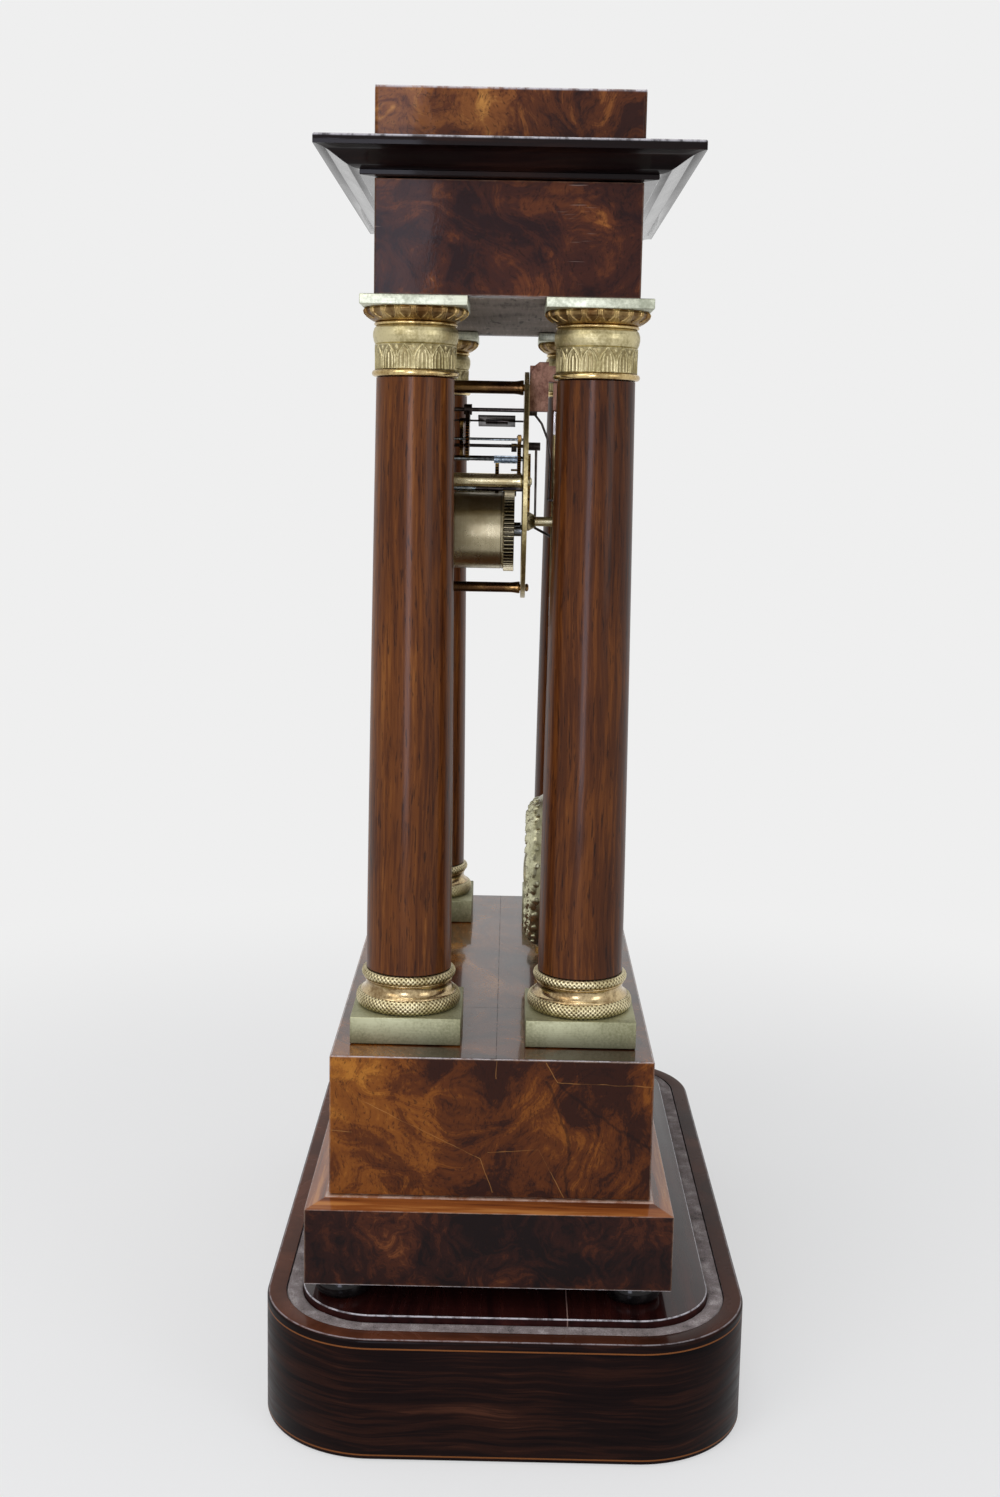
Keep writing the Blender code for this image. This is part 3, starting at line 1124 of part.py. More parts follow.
def build_strike_train(frame):
    build_barrel("strike_barrel", STRIKE_BARREL, STRIKE_SECOND, frame)
    build_winding_arbor("strike_winding_arbor", STRIKE_BARREL, frame)
    build_click("strike_click", STRIKE_BARREL, frame)

    count_rear = count_wheel_rear()
    second = arbor("strike_second_wheel", STRIKE_SECOND, COUNT_ARBOR_RADIUS, frame,
                   rear=count_rear - RUNNING_GAP, rear_radius=COUNT_ARBOR_RADIUS)
    fuse(second,
         pinion("strike_second_pinion", FIRST_PINION_LEAVES, BARREL_MODULE,
                facing_gap(STRIKE_BARREL, STRIKE_SECOND), GREAT_WHEEL_REAR - PINION_OVERLAP,
                GREAT_WHEEL_THICKNESS + 2 * PINION_OVERLAP),
         wheel_plate("strike_second_plate", STRIKE_SECOND_TEETH, STRIKE_SECOND_MODULE,
                     heading(STRIKE_SECOND, PIN_WHEEL), SECOND_WHEEL_DEPTH))

    pins = arbor("pin_wheel", PIN_WHEEL, TRAIN_ARBOR_RADIUS, frame)
    fuse(pins,
         pinion("pin_wheel_pinion", PIN_WHEEL_LEAVES, STRIKE_SECOND_MODULE,
                facing_gap(STRIKE_SECOND, PIN_WHEEL), SECOND_WHEEL_DEPTH - PINION_OVERLAP,
                WHEEL_THICKNESS + 2 * PINION_OVERLAP),
         wheel_plate("pin_wheel_plate", PIN_WHEEL_TEETH, PIN_WHEEL_MODULE, heading(PIN_WHEEL, LOCKING),
                     REAR_WHEEL_DEPTH))
    pin_front = REAR_WHEEL_DEPTH + WHEEL_THICKNESS + LIFTING_PIN_LENGTH
    pin_rear = REAR_WHEEL_DEPTH + 0.5 * WHEEL_THICKNESS
    for index, (x, y) in enumerate(circle(rim_circle_for_pins(), LIFTING_PINS)):
        fuse(pins, rod(f"lifting_pin_{index}", LIFTING_PIN_RADIUS, pin_front - pin_rear, LIFTING_PIN_SIDES,
                       (x, y, 0.5 * (pin_front + pin_rear))))

    locking = arbor("locking_wheel", LOCKING, FINE_ARBOR_RADIUS, frame)
    fuse(locking,
         pinion("locking_pinion", LOCKING_LEAVES, PIN_WHEEL_MODULE, facing_gap(PIN_WHEEL, LOCKING),
                REAR_WHEEL_DEPTH - 0.4 * PINION_OVERLAP, WHEEL_THICKNESS + PINION_OVERLAP),
         wheel_plate("locking_plate", LOCKING_TEETH, LOCKING_MODULE, heading(LOCKING, FLY), LOCKING_WHEEL_DEPTH))

    fly = arbor("fly", FLY, FINE_ARBOR_RADIUS, frame)
    blade_rear = REAR_WHEEL_DEPTH + WHEEL_THICKNESS + 2 * RUNNING_GAP + PINION_OVERLAP
    tilt = math.radians(FLY_TILT_DEG)
    half = 0.5 * FLY_SPAN
    across = Vector((math.cos(tilt), math.sin(tilt)))
    up = Vector((-across.y, across.x))
    corners = [across * half * sx + up * 0.5 * FLY_THICKNESS * sy
               for sx, sy in ((-1, -1), (1, -1), (1, 1), (-1, 1))]
    blade = flat_shape("fly_blade", [[(p.x, p.y) for p in corners]], FLY_LENGTH, blade_rear)
    hub_length = 0.6 * FLY_LENGTH
    hub = rod("fly_hub", FLY_HUB_RADIUS, hub_length, ARBOR_SIDES, (0.0, 0.0, blade_rear + 0.5 * FLY_LENGTH))
    fuse(fly,
         pinion("fly_pinion", FLY_LEAVES, LOCKING_MODULE, facing_gap(LOCKING, FLY),
                LOCKING_WHEEL_DEPTH - PINION_OVERLAP, WHEEL_THICKNESS + 2 * PINION_OVERLAP),
         hub, blade)


def rim_circle_for_pins():
    """The lifting pins stand in the middle of the pin wheel's rim."""
    pitch = 0.5 * PIN_WHEEL_TEETH * PIN_WHEEL_MODULE
    root = pitch - WHEEL_DEDENDUM_SHARE * PIN_WHEEL_MODULE
    return 0.5 * (root + RIM_SHARE * pitch)


def count_wheel_rear():
    return BACK_PLATE_REAR - SEAT_GAP - COUNT_WHEEL_THICKNESS


def build_count_wheel(frame):
    """Count wheel behind the back plate: a notch after each hour's blows, wide enough for the half hour."""
    outer = COUNT_WHEEL_RADIUS
    floor = COUNT_WHEEL_RADIUS - COUNT_WHEEL_NOTCH
    step = FULL_TURN / COUNT_STEPS
    outline = []
    position = 0.0
    for hour in range(1, HOURS + 1):
        start = position * step
        notch_end = start + 1.3 * step
        position += hour + 1.5
        end = min(position * step, FULL_TURN)
        outline += [(floor * math.cos(start), floor * math.sin(start)),
                    (floor * math.cos(notch_end), floor * math.sin(notch_end))]
        arcs = max(1, int(round((end - notch_end) / (FULL_TURN / 24))))
        for i in range(arcs + 1):
            angle = notch_end + (end - notch_end) * i / arcs
            outline.append((outer * math.cos(angle), outer * math.sin(angle)))
    bore = circle(COUNT_ARBOR_RADIUS + RUNNING_GAP, HOLE_SIDES)
    loops = [outline, bore] + crossings(2.0 * HUB_RADIUS, RIM_SHARE * floor)
    flat_shape("count_wheel", loops, COUNT_WHEEL_THICKNESS, count_wheel_rear(), MOVEMENT_BRASS,
               place=at(STRIKE_SECOND), parent=frame)


def hammer_head_place():
    """Head beside the bell's mouth, its arm square to the line from the bell's middle."""
    distance = BELL_RADIUS + HAMMER_REST_GAP + 0.5 * HAMMER_HEAD_LENGTH
    span = (HAMMER - BELL).length
    arm = math.sqrt(span ** 2 - distance ** 2)
    return circles_meet(HAMMER, arm, BELL, distance, -1)


def build_hammer(frame):
    """Hammer arbor with a lifting tail by the pins, an arm behind the plate and a head beside the bell."""
    head = hammer_head_place()
    arm_depth = -HAMMER_ARM_Y
    piece = arbor("hammer", HAMMER, HAMMER_ARBOR_RADIUS, frame, STEEL, rear=arm_depth - HAMMER_COLLET_RADIUS,
                  rear_radius=HAMMER_ARBOR_RADIUS)
    collet_front = BACK_PLATE_REAR - SEAT_GAP
    collet_rear = arm_depth - HAMMER_COLLET_RADIUS
    collet = rod("hammer_collet", HAMMER_COLLET_RADIUS, collet_front - collet_rear, PILLAR_SIDES,
                 (0.0, 0.0, 0.5 * (collet_front + collet_rear)))
    way = head - HAMMER
    length = way.length
    way = way / length
    head_depth = -(BELL_MOUTH_Y + HAMMER_HEAD_RADIUS)
    bend = length - 3.0 * HAMMER_HEAD_RADIUS
    near = length - 1.6 * HAMMER_HEAD_RADIUS
    arm = wire("hammer_arm", [(0.0, 0.0, arm_depth), (way.x * bend, way.y * bend, arm_depth),
                              (way.x * near, way.y * near, 0.5 * (arm_depth + head_depth)),
                              (way.x * length, way.y * length, head_depth)], HAMMER_ARM_RADIUS)
    toward = BELL - head
    centre = head - HAMMER
    face = rod("hammer_head", HAMMER_HEAD_RADIUS, HAMMER_HEAD_LENGTH, PILLAR_SIDES,
               (centre.x, centre.y, head_depth), (toward.x, toward.y, 0.0))
    to_pins = PIN_WHEEL - HAMMER
    reach = to_pins.length - rim_circle_for_pins() - LIFTING_PIN_RADIUS - HAMMER_TAIL_GAP
    to_pins.normalize()
    cross = Vector((-to_pins.y, to_pins.x)) * 0.5 * HAMMER_TAIL_WIDTH
    corners = [to_pins * reach + cross * 0.5, cross * 1.6, -cross * 1.6, to_pins * reach - cross * 0.5]
    tail_rear = REAR_WHEEL_DEPTH + WHEEL_THICKNESS + RUNNING_GAP
    tail = flat_shape("hammer_tail", [[(p.x, p.y) for p in corners]], LIFTING_PIN_LENGTH - RUNNING_GAP, tail_rear)
    fuse(piece, collet, arm, face, tail)


def build_bell(frame):
    """Bell on a stud that stands on the back plate, held by a nut."""
    outer = [(BELL_RADIUS * r, -(BELL_MOUTH_Y + BELL_DEPTH * d)) for r, d in BELL_SHARES]
    inner_scale = (BELL_RADIUS - BELL_WALL) / BELL_RADIUS
    crown_y = BELL_MOUTH_Y + BELL_DEPTH
    bore = STUD_RADIUS + RUNNING_GAP
    inner = [(BELL_RADIUS * inner_scale * r, -(BELL_MOUTH_Y + (BELL_DEPTH - BELL_WALL) * d))
             for r, d in BELL_SHARES]
    profile = outer + [(bore, -crown_y), (bore, -(crown_y - BELL_WALL))] + list(reversed(inner))
    turned("bell", profile, BELL_SIDES, BELL_METAL, ring=True, place=at(BELL), parent=frame)

    start = BACK_PLATE_REAR - SEAT_GAP
    cone_end = start - STUD_CONE_LENGTH
    shoulder_rear = -(crown_y - BELL_WALL - SEAT_GAP)
    shoulder_front = shoulder_rear + STUD_SHOULDER_LENGTH
    nut_front = -(crown_y + SEAT_GAP)
    end = nut_front - BELL_NUT_HEIGHT - SEAT_GAP
    profile = [(0.0, start), (STUD_CONE_RADIUS, start), (STUD_CONE_RADIUS, start - 0.2 * STUD_CONE_LENGTH),
               (STUD_CONE_END_RADIUS, cone_end), (STUD_RADIUS, cone_end), (STUD_RADIUS, shoulder_front),
               (STUD_SHOULDER_RADIUS, shoulder_front), (STUD_SHOULDER_RADIUS, shoulder_rear),
               (STUD_RADIUS, shoulder_rear), (STUD_RADIUS, end), (0.0, end)]
    turned("bell_stud", profile, PILLAR_SIDES, MOVEMENT_BRASS, place=at(BELL), parent=frame)
    nut_rear = nut_front - BELL_NUT_HEIGHT
    turned("bell_nut", [(bore, nut_front), (BELL_NUT_RADIUS, nut_front), (BELL_NUT_RADIUS, nut_rear),
                        (bore, nut_rear)], PILLAR_SIDES, MOVEMENT_BRASS, ring=True, place=at(BELL), parent=frame)


# Suspension and pendulum

def build_cock(frame):
    """Suspension cock: two cheeks on the back plate, a block between them and the fixed part of the spring."""
    front = BACK_PLATE_REAR - SEAT_GAP
    low = -COCK_FOOT_DROP
    outline = [(0.0, low)]
    for back, rise in COCK_CURVE_SHARES:
        outline.append((COCK_REACH * back, low + COCK_HEIGHT * rise))
    outline.append((COCK_REACH, low))
    cheeks = []
    for side in (-1, 1):
        cheek = flat_shape(f"cock_cheek_{side}", [outline], COCK_CHEEK, -0.5 * COCK_CHEEK)
        turn = Matrix(((0.0, 0.0, 1.0), (0.0, 1.0, 0.0), (-1.0, 0.0, 0.0))).to_4x4()
        cheek.data.transform(Matrix.Translation((side * (COCK_HALF_WIDTH - 0.5 * COCK_CHEEK), 0.0, front)) @ turn)
        cheeks.append(cheek)
    block_top = low + COCK_HEIGHT - COCK_BLOCK_TOP_SETBACK
    block_low = block_top - COCK_BLOCK_HEIGHT
    block_rear = -(PENDULUM_Y + COCK_NOSE)
    block = box("cock_block", (2 * COCK_HALF_WIDTH - COCK_CHEEK, COCK_BLOCK_HEIGHT, front - block_rear),
                (0.0, 0.5 * (block_top + block_low), 0.5 * (front + block_rear)))
    spring_top = block_low + 0.5 * COCK_BLOCK_HEIGHT
    spring_low = SPRING_GAP
    spring = box("cock_spring", (SPRING_THICKNESS, spring_top - spring_low, SPRING_WIDTH),
                 (0.0, 0.5 * (spring_top + spring_low), -PENDULUM_Y))
    host = add_part("suspension_cock", cheeks[0].data, MOVEMENT_BRASS, place=at(PALLETS), parent=frame)
    bpy.data.objects.remove(cheeks[0], do_unlink=True)
    fuse(host, block, cheeks[1], spring)


def build_pendulum(frame):
    """Rod with the moving part of the spring and its hook, the bob and the rating nut, hung on the pivot line."""
    pedestal = PEDESTAL_TOP_Z - MOVEMENT_Z - PALLET_RISE
    top = -HOOK_DROP - 0.5 * HOOK_LENGTH
    end = pedestal + ROD_END_RISE
    piece = rod("pendulum_rod", ROD_RADIUS, top - end, ROD_SIDES, (0.0, 0.5 * (top + end), -PENDULUM_Y),
                (0.0, 1.0, 0.0), STEEL)
    swing = bpy.data.objects.new("pendulum_pivot", None)
    PARTS.objects.link(swing)
    swing.parent = frame
    swing.location = at(PALLETS)
    piece.parent = swing
    hook_front = -(PENDULUM_Y - ROD_RADIUS)
    hook = box("pendulum_hook", (HOOK_WIDTH, HOOK_LENGTH, HOOK_DEPTH),
               (0.0, -HOOK_DROP, hook_front - 0.5 * HOOK_DEPTH - 0.1 * ROD_RADIUS))
    spring_low = -HOOK_DROP
    spring = box("pendulum_spring", (SPRING_THICKNESS, -SPRING_GAP - spring_low, SPRING_WIDTH * 0.7),
                 (0.0, 0.5 * (spring_low - SPRING_GAP), -PENDULUM_Y))
    fuse(piece, hook, spring)

    bore = ROD_RADIUS + RUNNING_GAP
    bob_centre = pedestal + BOB_CENTRE_RISE
    front = [(BOB_RADIUS * r, BOB_FRONT * d) for r, d in BOB_FRONT_SHARES]
    profile = front + [(BOB_RADIUS, -0.2 * BOB_BACK), (0.94 * BOB_RADIUS, -BOB_BACK), (0.0, -BOB_BACK)]
    bob = turned("pendulum_bob", [(r, d - PENDULUM_Y) for r, d in profile], BOB_SIDES, GILT_BRASS,
                 place=(0.0, bob_centre, 0.0), parent=swing)
    cut(bob, rod("bob_bore", bore, 2 * BOB_RADIUS + 2 * OVERRUN, ROD_SIDES, (0.0, 0.0, -PENDULUM_Y),
                 (0.0, 1.0, 0.0)))

    nut_top = bob_centre - BOB_RADIUS - SEAT_GAP
    nut = turned("rating_nut", [(bore, 0.0), (NUT_RADIUS, 0.0), (NUT_RADIUS, -NUT_HEIGHT), (bore, -NUT_HEIGHT)],
                 NUT_SIDES, MOVEMENT_BRASS, ring=True, place=(0.0, nut_top, -PENDULUM_Y), parent=swing)
    nut.rotation_euler = (-0.25 * FULL_TURN, 0.0, 0.0)


# Motion work, hands and dial

def cannon_front():
    return DIAL_FRONT + HOUR_HAND_GAP + 2 * HAND_THICKNESS + HAND_SPACING + RUNNING_GAP


def build_motion_work(frame):
    """Cannon pinion, minute wheel and hour wheel in front of the plate."""
    rear = FRONT_PLATE_FRONT + RUNNING_GAP
    front = cannon_front()
    cannon = turned("cannon_pinion", [(CANNON_BORE, front), (CANNON_PIPE, front), (CANNON_PIPE, rear),
                                      (CANNON_BORE, rear)], PILLAR_SIDES, STEEL, ring=True, parent=frame)
    leaves_rear = MINUTE_WHEEL_DEPTH - PINION_OVERLAP
    gap = facing_gap(MINUTE, CENTRE)
    hole = 0.5 * (CANNON_BORE + CANNON_PIPE)
    leaves = flat_shape("cannon_leaves", [pinion_outline(CANNON_LEAVES, MOTION_MODULE, gap),
                                          circle(hole, PILLAR_SIDES)],
                        WHEEL_THICKNESS + PINION_OVERLAP, leaves_rear)
    fuse(cannon, leaves)

    pin_end = FRONT_PLATE_REAR + RUNNING_GAP
    hour_top = HOUR_WHEEL_DEPTH + WHEEL_THICKNESS
    minute_front = hour_top + 0.5 * PINION_OVERLAP
    profile = [(0.0, minute_front + PINION_OVERLAP), (MINUTE_PIN_RADIUS, minute_front + PINION_OVERLAP),
               (MINUTE_PIN_RADIUS, pin_end), (0.0, pin_end)]
    minute = turned("minute_wheel", profile, ARBOR_SIDES, MOVEMENT_BRASS, place=at(MINUTE), parent=frame)
    fuse(minute,
         wheel_plate("minute_plate", MINUTE_TEETH, MOTION_MODULE, heading(MINUTE, CENTRE), MINUTE_WHEEL_DEPTH,
                     hub=1.2 * HUB_RADIUS),
         pinion("minute_pinion", MINUTE_LEAVES, HOUR_MODULE, heading(MINUTE, CENTRE),
                MINUTE_WHEEL_DEPTH + 0.5 * WHEEL_THICKNESS,
                minute_front - MINUTE_WHEEL_DEPTH - 0.5 * WHEEL_THICKNESS))

    pipe_front = DIAL_FRONT + HOUR_HAND_GAP + HAND_THICKNESS + RUNNING_GAP
    hour = turned("hour_wheel", [(HOUR_BORE, pipe_front), (HOUR_PIPE, pipe_front),
                                 (HOUR_PIPE, HOUR_WHEEL_DEPTH - 0.5 * PINION_OVERLAP),
                                 (HOUR_BORE, HOUR_WHEEL_DEPTH - 0.5 * PINION_OVERLAP)],
                  PILLAR_SIDES, MOVEMENT_BRASS, ring=True, parent=frame)
    rim = RIM_SHARE * 0.5 * HOUR_TEETH * HOUR_MODULE
    loops = [wheel_outline(HOUR_TEETH, HOUR_MODULE, heading(CENTRE, MINUTE)),
             circle(0.5 * (HOUR_BORE + HOUR_PIPE), PILLAR_SIDES)] + crossings(1.5 * HOUR_PIPE, 1.04 * rim)
    fuse(hour, flat_shape("hour_plate", loops, WHEEL_THICKNESS, HOUR_WHEEL_DEPTH))


def hand_outline(length, width):
    """A tapered blade with a ring near its tip and a short tail."""
    ring_centre = 0.74 * length
    half = 0.5 * width
    ring = HAND_RING_RADIUS
    right = [(half, HAND_HUB_RADIUS * 0.8), (0.6 * half, ring_centre - ring)]
    for share in (0.18, 0.34, 0.5, 0.66, 0.82):
        angle = -0.25 * FULL_TURN + 0.5 * FULL_TURN * share
        right.append((ring * math.cos(angle), ring_centre + ring * math.sin(angle)))
    right += [(0.5 * half, ring_centre + ring), (0.15 * half, length)]
    left = [(-x, y) for x, y in reversed(right)]
    hub = []
    for share in (0.14, 0.28, 0.42, 0.58, 0.72, 0.86):
        angle = 0.25 * FULL_TURN + FULL_TURN * share
        hub.append((HAND_HUB_RADIUS * math.cos(angle), HAND_HUB_RADIUS * math.sin(angle)))
    return right + left + hub, (0.0, ring_centre)


def build_hand(name, length, width, rear, bore, turn, frame):
    outline, ring_centre = hand_outline(length, width)
    loops = [outline, circle(HAND_RING_HOLE, 10, ring_centre), circle(bore, PILLAR_SIDES)]
    hand = flat_shape(name, loops, HAND_THICKNESS, rear, BLUED_STEEL, parent=frame)
    hand.data.transform(Matrix.Rotation(-turn, 4, 'Z'))
    return hand


def build_hands(frame):
    """Hands at ten past ten."""
    minutes = 10.0
    hour_rear = DIAL_FRONT + HOUR_HAND_GAP
    minute_rear = hour_rear + HAND_THICKNESS + HAND_SPACING
    build_hand("hour_hand", HOUR_HAND_LENGTH, 1.2 * HAND_WIDTH, hour_rear, HOUR_PIPE + RUNNING_GAP,
               FULL_TURN * (10.0 + minutes / 60.0) / HOURS, frame)
    build_hand("minute_hand", MINUTE_HAND_LENGTH, HAND_WIDTH, minute_rear, CANNON_PIPE + RUNNING_GAP,
               FULL_TURN * minutes / 60.0, frame)


def build_dial_ring(frame):
    """Brass dial drum that hangs from the entablature and carries movement, dial and bezel."""
    inner = RING_OUTER_RADIUS - RING_WALL
    flange_front = RING_REAR + RING_FLANGE_THICKNESS
    profile = [(inner, RING_FRONT), (RING_OUTER_RADIUS, RING_FRONT), (RING_OUTER_RADIUS, RING_REAR),
               (RING_FLANGE_RADIUS, RING_REAR), (RING_FLANGE_RADIUS, flange_front), (inner, flange_front)]
    ring = turned("dial_ring", profile, RING_SIDES, PALE_BRASS, ring=True, parent=frame)
    soffit = MOVEMENT_DROP - SEAT_GAP
    hanger_low = RING_OUTER_RADIUS - 0.7 * RING_WALL
    hanger_rear = RING_REAR + 0.25 * RING_DEPTH
    hanger = box("dial_hanger", (HANGER_WIDTH, soffit - hanger_low - 0.5 * HANGER_FOOT_THICKNESS, HANGER_THICKNESS),
                 (0.0, 0.5 * (soffit - 0.5 * HANGER_FOOT_THICKNESS + hanger_low),
                  hanger_rear + 0.5 * HANGER_THICKNESS))
    foot = box("dial_hanger_foot", (HANGER_FOOT_WIDTH, HANGER_FOOT_THICKNESS, HANGER_FOOT_DEPTH),
               (0.0, soffit - 0.5 * HANGER_FOOT_THICKNESS, hanger_rear + 0.5 * HANGER_THICKNESS))
    axis_x = -(RING_OUTER_RADIUS + HINGE_OFFSET)
    axis_z = BEZEL_REAR + 0.5 * KNUCKLE_RADIUS
    lug_front = BEZEL_REAR - SEAT_GAP
    lug_rear = lug_front - 3.0 * KNUCKLE_RADIUS
    tools = [hanger, foot]
    for side in (-1, 1):
        start = 0.5 * KNUCKLE_LENGTH + RUNNING_GAP
        middle = side * (start + 0.5 * KNUCKLE_LENGTH)
        tools.append(box(f"hinge_lug_{side}", (HINGE_OFFSET + RING_WALL, KNUCKLE_LENGTH, lug_front - lug_rear),
                         (axis_x + 0.5 * (HINGE_OFFSET + RING_WALL), middle, 0.5 * (lug_front + lug_rear))))
        tools.append(rod(f"hinge_knuckle_{side}", KNUCKLE_RADIUS, KNUCKLE_LENGTH, KNUCKLE_SIDES,
                         (axis_x, middle, axis_z), (0.0, 1.0, 0.0)))
    tools.append(rod("hinge_pin", KNUCKLE_PIN_RADIUS, 2.0 * KNUCKLE_LENGTH, ARBOR_SIDES,
                     (axis_x, 0.0, axis_z), (0.0, 1.0, 0.0)))
    fuse(ring, *tools)


def build_dial(frame):
    """Enamelled dial disc with its centre hole and two winding holes."""
    radius = RING_OUTER_RADIUS - RING_WALL - SEAT_GAP
    loops = [circle(radius, RING_SIDES), circle(HOUR_PIPE + RUNNING_GAP, PILLAR_SIDES)]
    for barrel in (GOING_BARREL, STRIKE_BARREL):
        loops.append(circle(WINDING_HOLE_RADIUS, PILLAR_SIDES, barrel))
    flat_shape("dial", loops, DIAL_THICKNESS, DIAL_FRONT - DIAL_THICKNESS, ENAMEL, parent=frame)


def build_bezel(frame):
    """Hinged brass bezel with a rabbet behind for its domed glass."""
    band = BEZEL_OUTER_RADIUS - BEZEL_INNER_RADIUS
    profile = [(BEZEL_INNER_RADIUS + band * out, BEZEL_REAR + BEZEL_HEIGHT * up) for out, up in BEZEL_SHARES]
    lip = BEZEL_REAR + BEZEL_LIP_HEIGHT
    profile += [(BEZEL_OUTER_RADIUS, BEZEL_REAR), (BEZEL_RABBET_RADIUS, BEZEL_REAR), (BEZEL_RABBET_RADIUS, lip),
                (BEZEL_INNER_RADIUS, lip)]
    axis_x = -(RING_OUTER_RADIUS + HINGE_OFFSET)
    axis_z = BEZEL_REAR + 0.5 * KNUCKLE_RADIUS
    hinge = bpy.data.objects.new("bezel_hinge", None)
    PARTS.objects.link(hinge)
    hinge.parent = frame
    hinge.location = (axis_x, 0.0, axis_z)
    bezel = turned("bezel", [(r, z - axis_z) for r, z in profile], RING_SIDES, GILT_BRASS, ring=True,
                   place=(-axis_x, 0.0, 0.0), parent=hinge)
    knuckle = turned("bezel_knuckle", [(KNUCKLE_PIN_RADIUS + RUNNING_GAP, 0.5 * KNUCKLE_LENGTH),
                                       (KNUCKLE_RADIUS, 0.5 * KNUCKLE_LENGTH),
                                       (KNUCKLE_RADIUS, -0.5 * KNUCKLE_LENGTH),
                                       (KNUCKLE_PIN_RADIUS + RUNNING_GAP, -0.5 * KNUCKLE_LENGTH)],
                     KNUCKLE_SIDES, ring=True)
    knuckle.rotation_euler = (-0.25 * FULL_TURN, 0.0, 0.0)
    knuckle.location = (axis_x, 0.0, 0.0)
    arm_start = axis_x + 0.5 * (KNUCKLE_PIN_RADIUS + RUNNING_GAP + KNUCKLE_RADIUS)
    arm_end = -BEZEL_OUTER_RADIUS + 0.3 * band
    arm = box("bezel_arm", (arm_end - arm_start, KNUCKLE_LENGTH, KNUCKLE_RADIUS),
              (0.5 * (arm_start + arm_end), 0.0, 0.3 * KNUCKLE_RADIUS))
    fuse(bezel, knuckle, arm)

    edge = BEZEL_RABBET_RADIUS * math.cos(math.pi / RING_SIDES) - SEAT_GAP
    rear = BEZEL_REAR + BEZEL_LIP_HEIGHT - SEAT_GAP - GLASS_THICKNESS - axis_z
    outer = [(edge * r, rear + GLASS_THICKNESS + GLASS_BULGE * b) for r, b in reversed(GLASS_SHARES)]
    inner = [(edge * r, rear + GLASS_BULGE * b) for r, b in GLASS_SHARES]
    turned("dial_glass", outer + inner, GLASS_SIDES, GLASS, place=(-axis_x, 0.0, 0.0), parent=hinge)


def build_movement():
    frame = bpy.data.objects.new("movement_frame", None)
    PARTS.objects.link(frame)
    frame.location = (0.0, 0.0, MOVEMENT_Z)
    frame.rotation_euler = (0.25 * FULL_TURN, 0.0, 0.0)
    build_plates(frame)
    build_going_train(frame)
    build_anchor(frame)
    build_crutch(frame)
    build_strike_train(frame)
    build_count_wheel(frame)
    build_hammer(frame)
    build_bell(frame)
    build_cock(frame)
    build_pendulum(frame)
    build_motion_work(frame)
    build_hands(frame)
    build_dial_ring(frame)
    build_dial(frame)
    build_bezel(frame)


def set_forward(pieces):
    """Carry the case on a frame that stands toward the dial side of the stand."""
    frame = bpy.data.objects.new("case_frame", None)
    frame.location = (0.0, -CASE_FORWARD, 0.0)
    for piece in pieces:
        if piece.parent is None:
            piece.parent = frame
    PARTS.objects.link(frame)


build_feet()
build_pedestal()
build_columns()
build_entablature()
build_movement()
set_forward(list(PARTS.objects))
build_stand()
build_felt()
bpy.context.view_layer.update()
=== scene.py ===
import math

import bmesh
import bpy
import numpy as np
from mathutils import Matrix, Vector, noise


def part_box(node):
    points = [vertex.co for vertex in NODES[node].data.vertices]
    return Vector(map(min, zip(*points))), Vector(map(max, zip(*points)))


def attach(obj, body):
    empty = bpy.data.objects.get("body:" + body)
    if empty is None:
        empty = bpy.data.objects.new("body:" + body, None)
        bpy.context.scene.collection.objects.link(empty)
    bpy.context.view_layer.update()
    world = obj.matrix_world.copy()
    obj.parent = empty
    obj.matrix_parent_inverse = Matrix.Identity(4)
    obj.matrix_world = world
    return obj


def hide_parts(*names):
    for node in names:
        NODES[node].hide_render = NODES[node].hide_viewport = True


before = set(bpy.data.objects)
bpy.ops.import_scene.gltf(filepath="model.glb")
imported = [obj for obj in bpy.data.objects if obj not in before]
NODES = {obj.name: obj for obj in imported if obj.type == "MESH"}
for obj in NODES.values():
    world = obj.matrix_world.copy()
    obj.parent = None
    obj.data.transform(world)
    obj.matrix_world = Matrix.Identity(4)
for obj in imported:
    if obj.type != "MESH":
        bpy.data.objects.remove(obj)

MM = 0.001
TAU = 2.0 * math.pi
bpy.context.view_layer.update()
ORIGIN = (0.0, 0.0, 0.0)
EVEN = (1.0, 1.0, 1.0)

# Places taken from the solids, in metres
CASE_Y = -7.2 * MM
MOVEMENT_Z = 379.6 * MM
PALLETS_Z = 413.2 * MM
STAND_TOP = 53.7 * MM
FRIEZE_HALF = (111.5 * MM, 51.25 * MM)
BELL_CENTRE = (12.0 * MM, -15.4 * MM)
WELD = 0.01 * MM


def mm(values):
    """Millimetres as metres, for a number or for rows of numbers."""
    if isinstance(values, (list, tuple)):
        return type(values)(mm(v) for v in values)
    return values * MM


# Colours and node helpers

def rgb(r, g, b):
    """Linear colour from 8-bit screen values."""
    out = []
    for v in (r, g, b):
        v /= 255.0
        out.append(v / 12.92 if v <= 0.04045 else ((v + 0.055) / 1.055) ** 2.4)
    return (*out, 1.0)


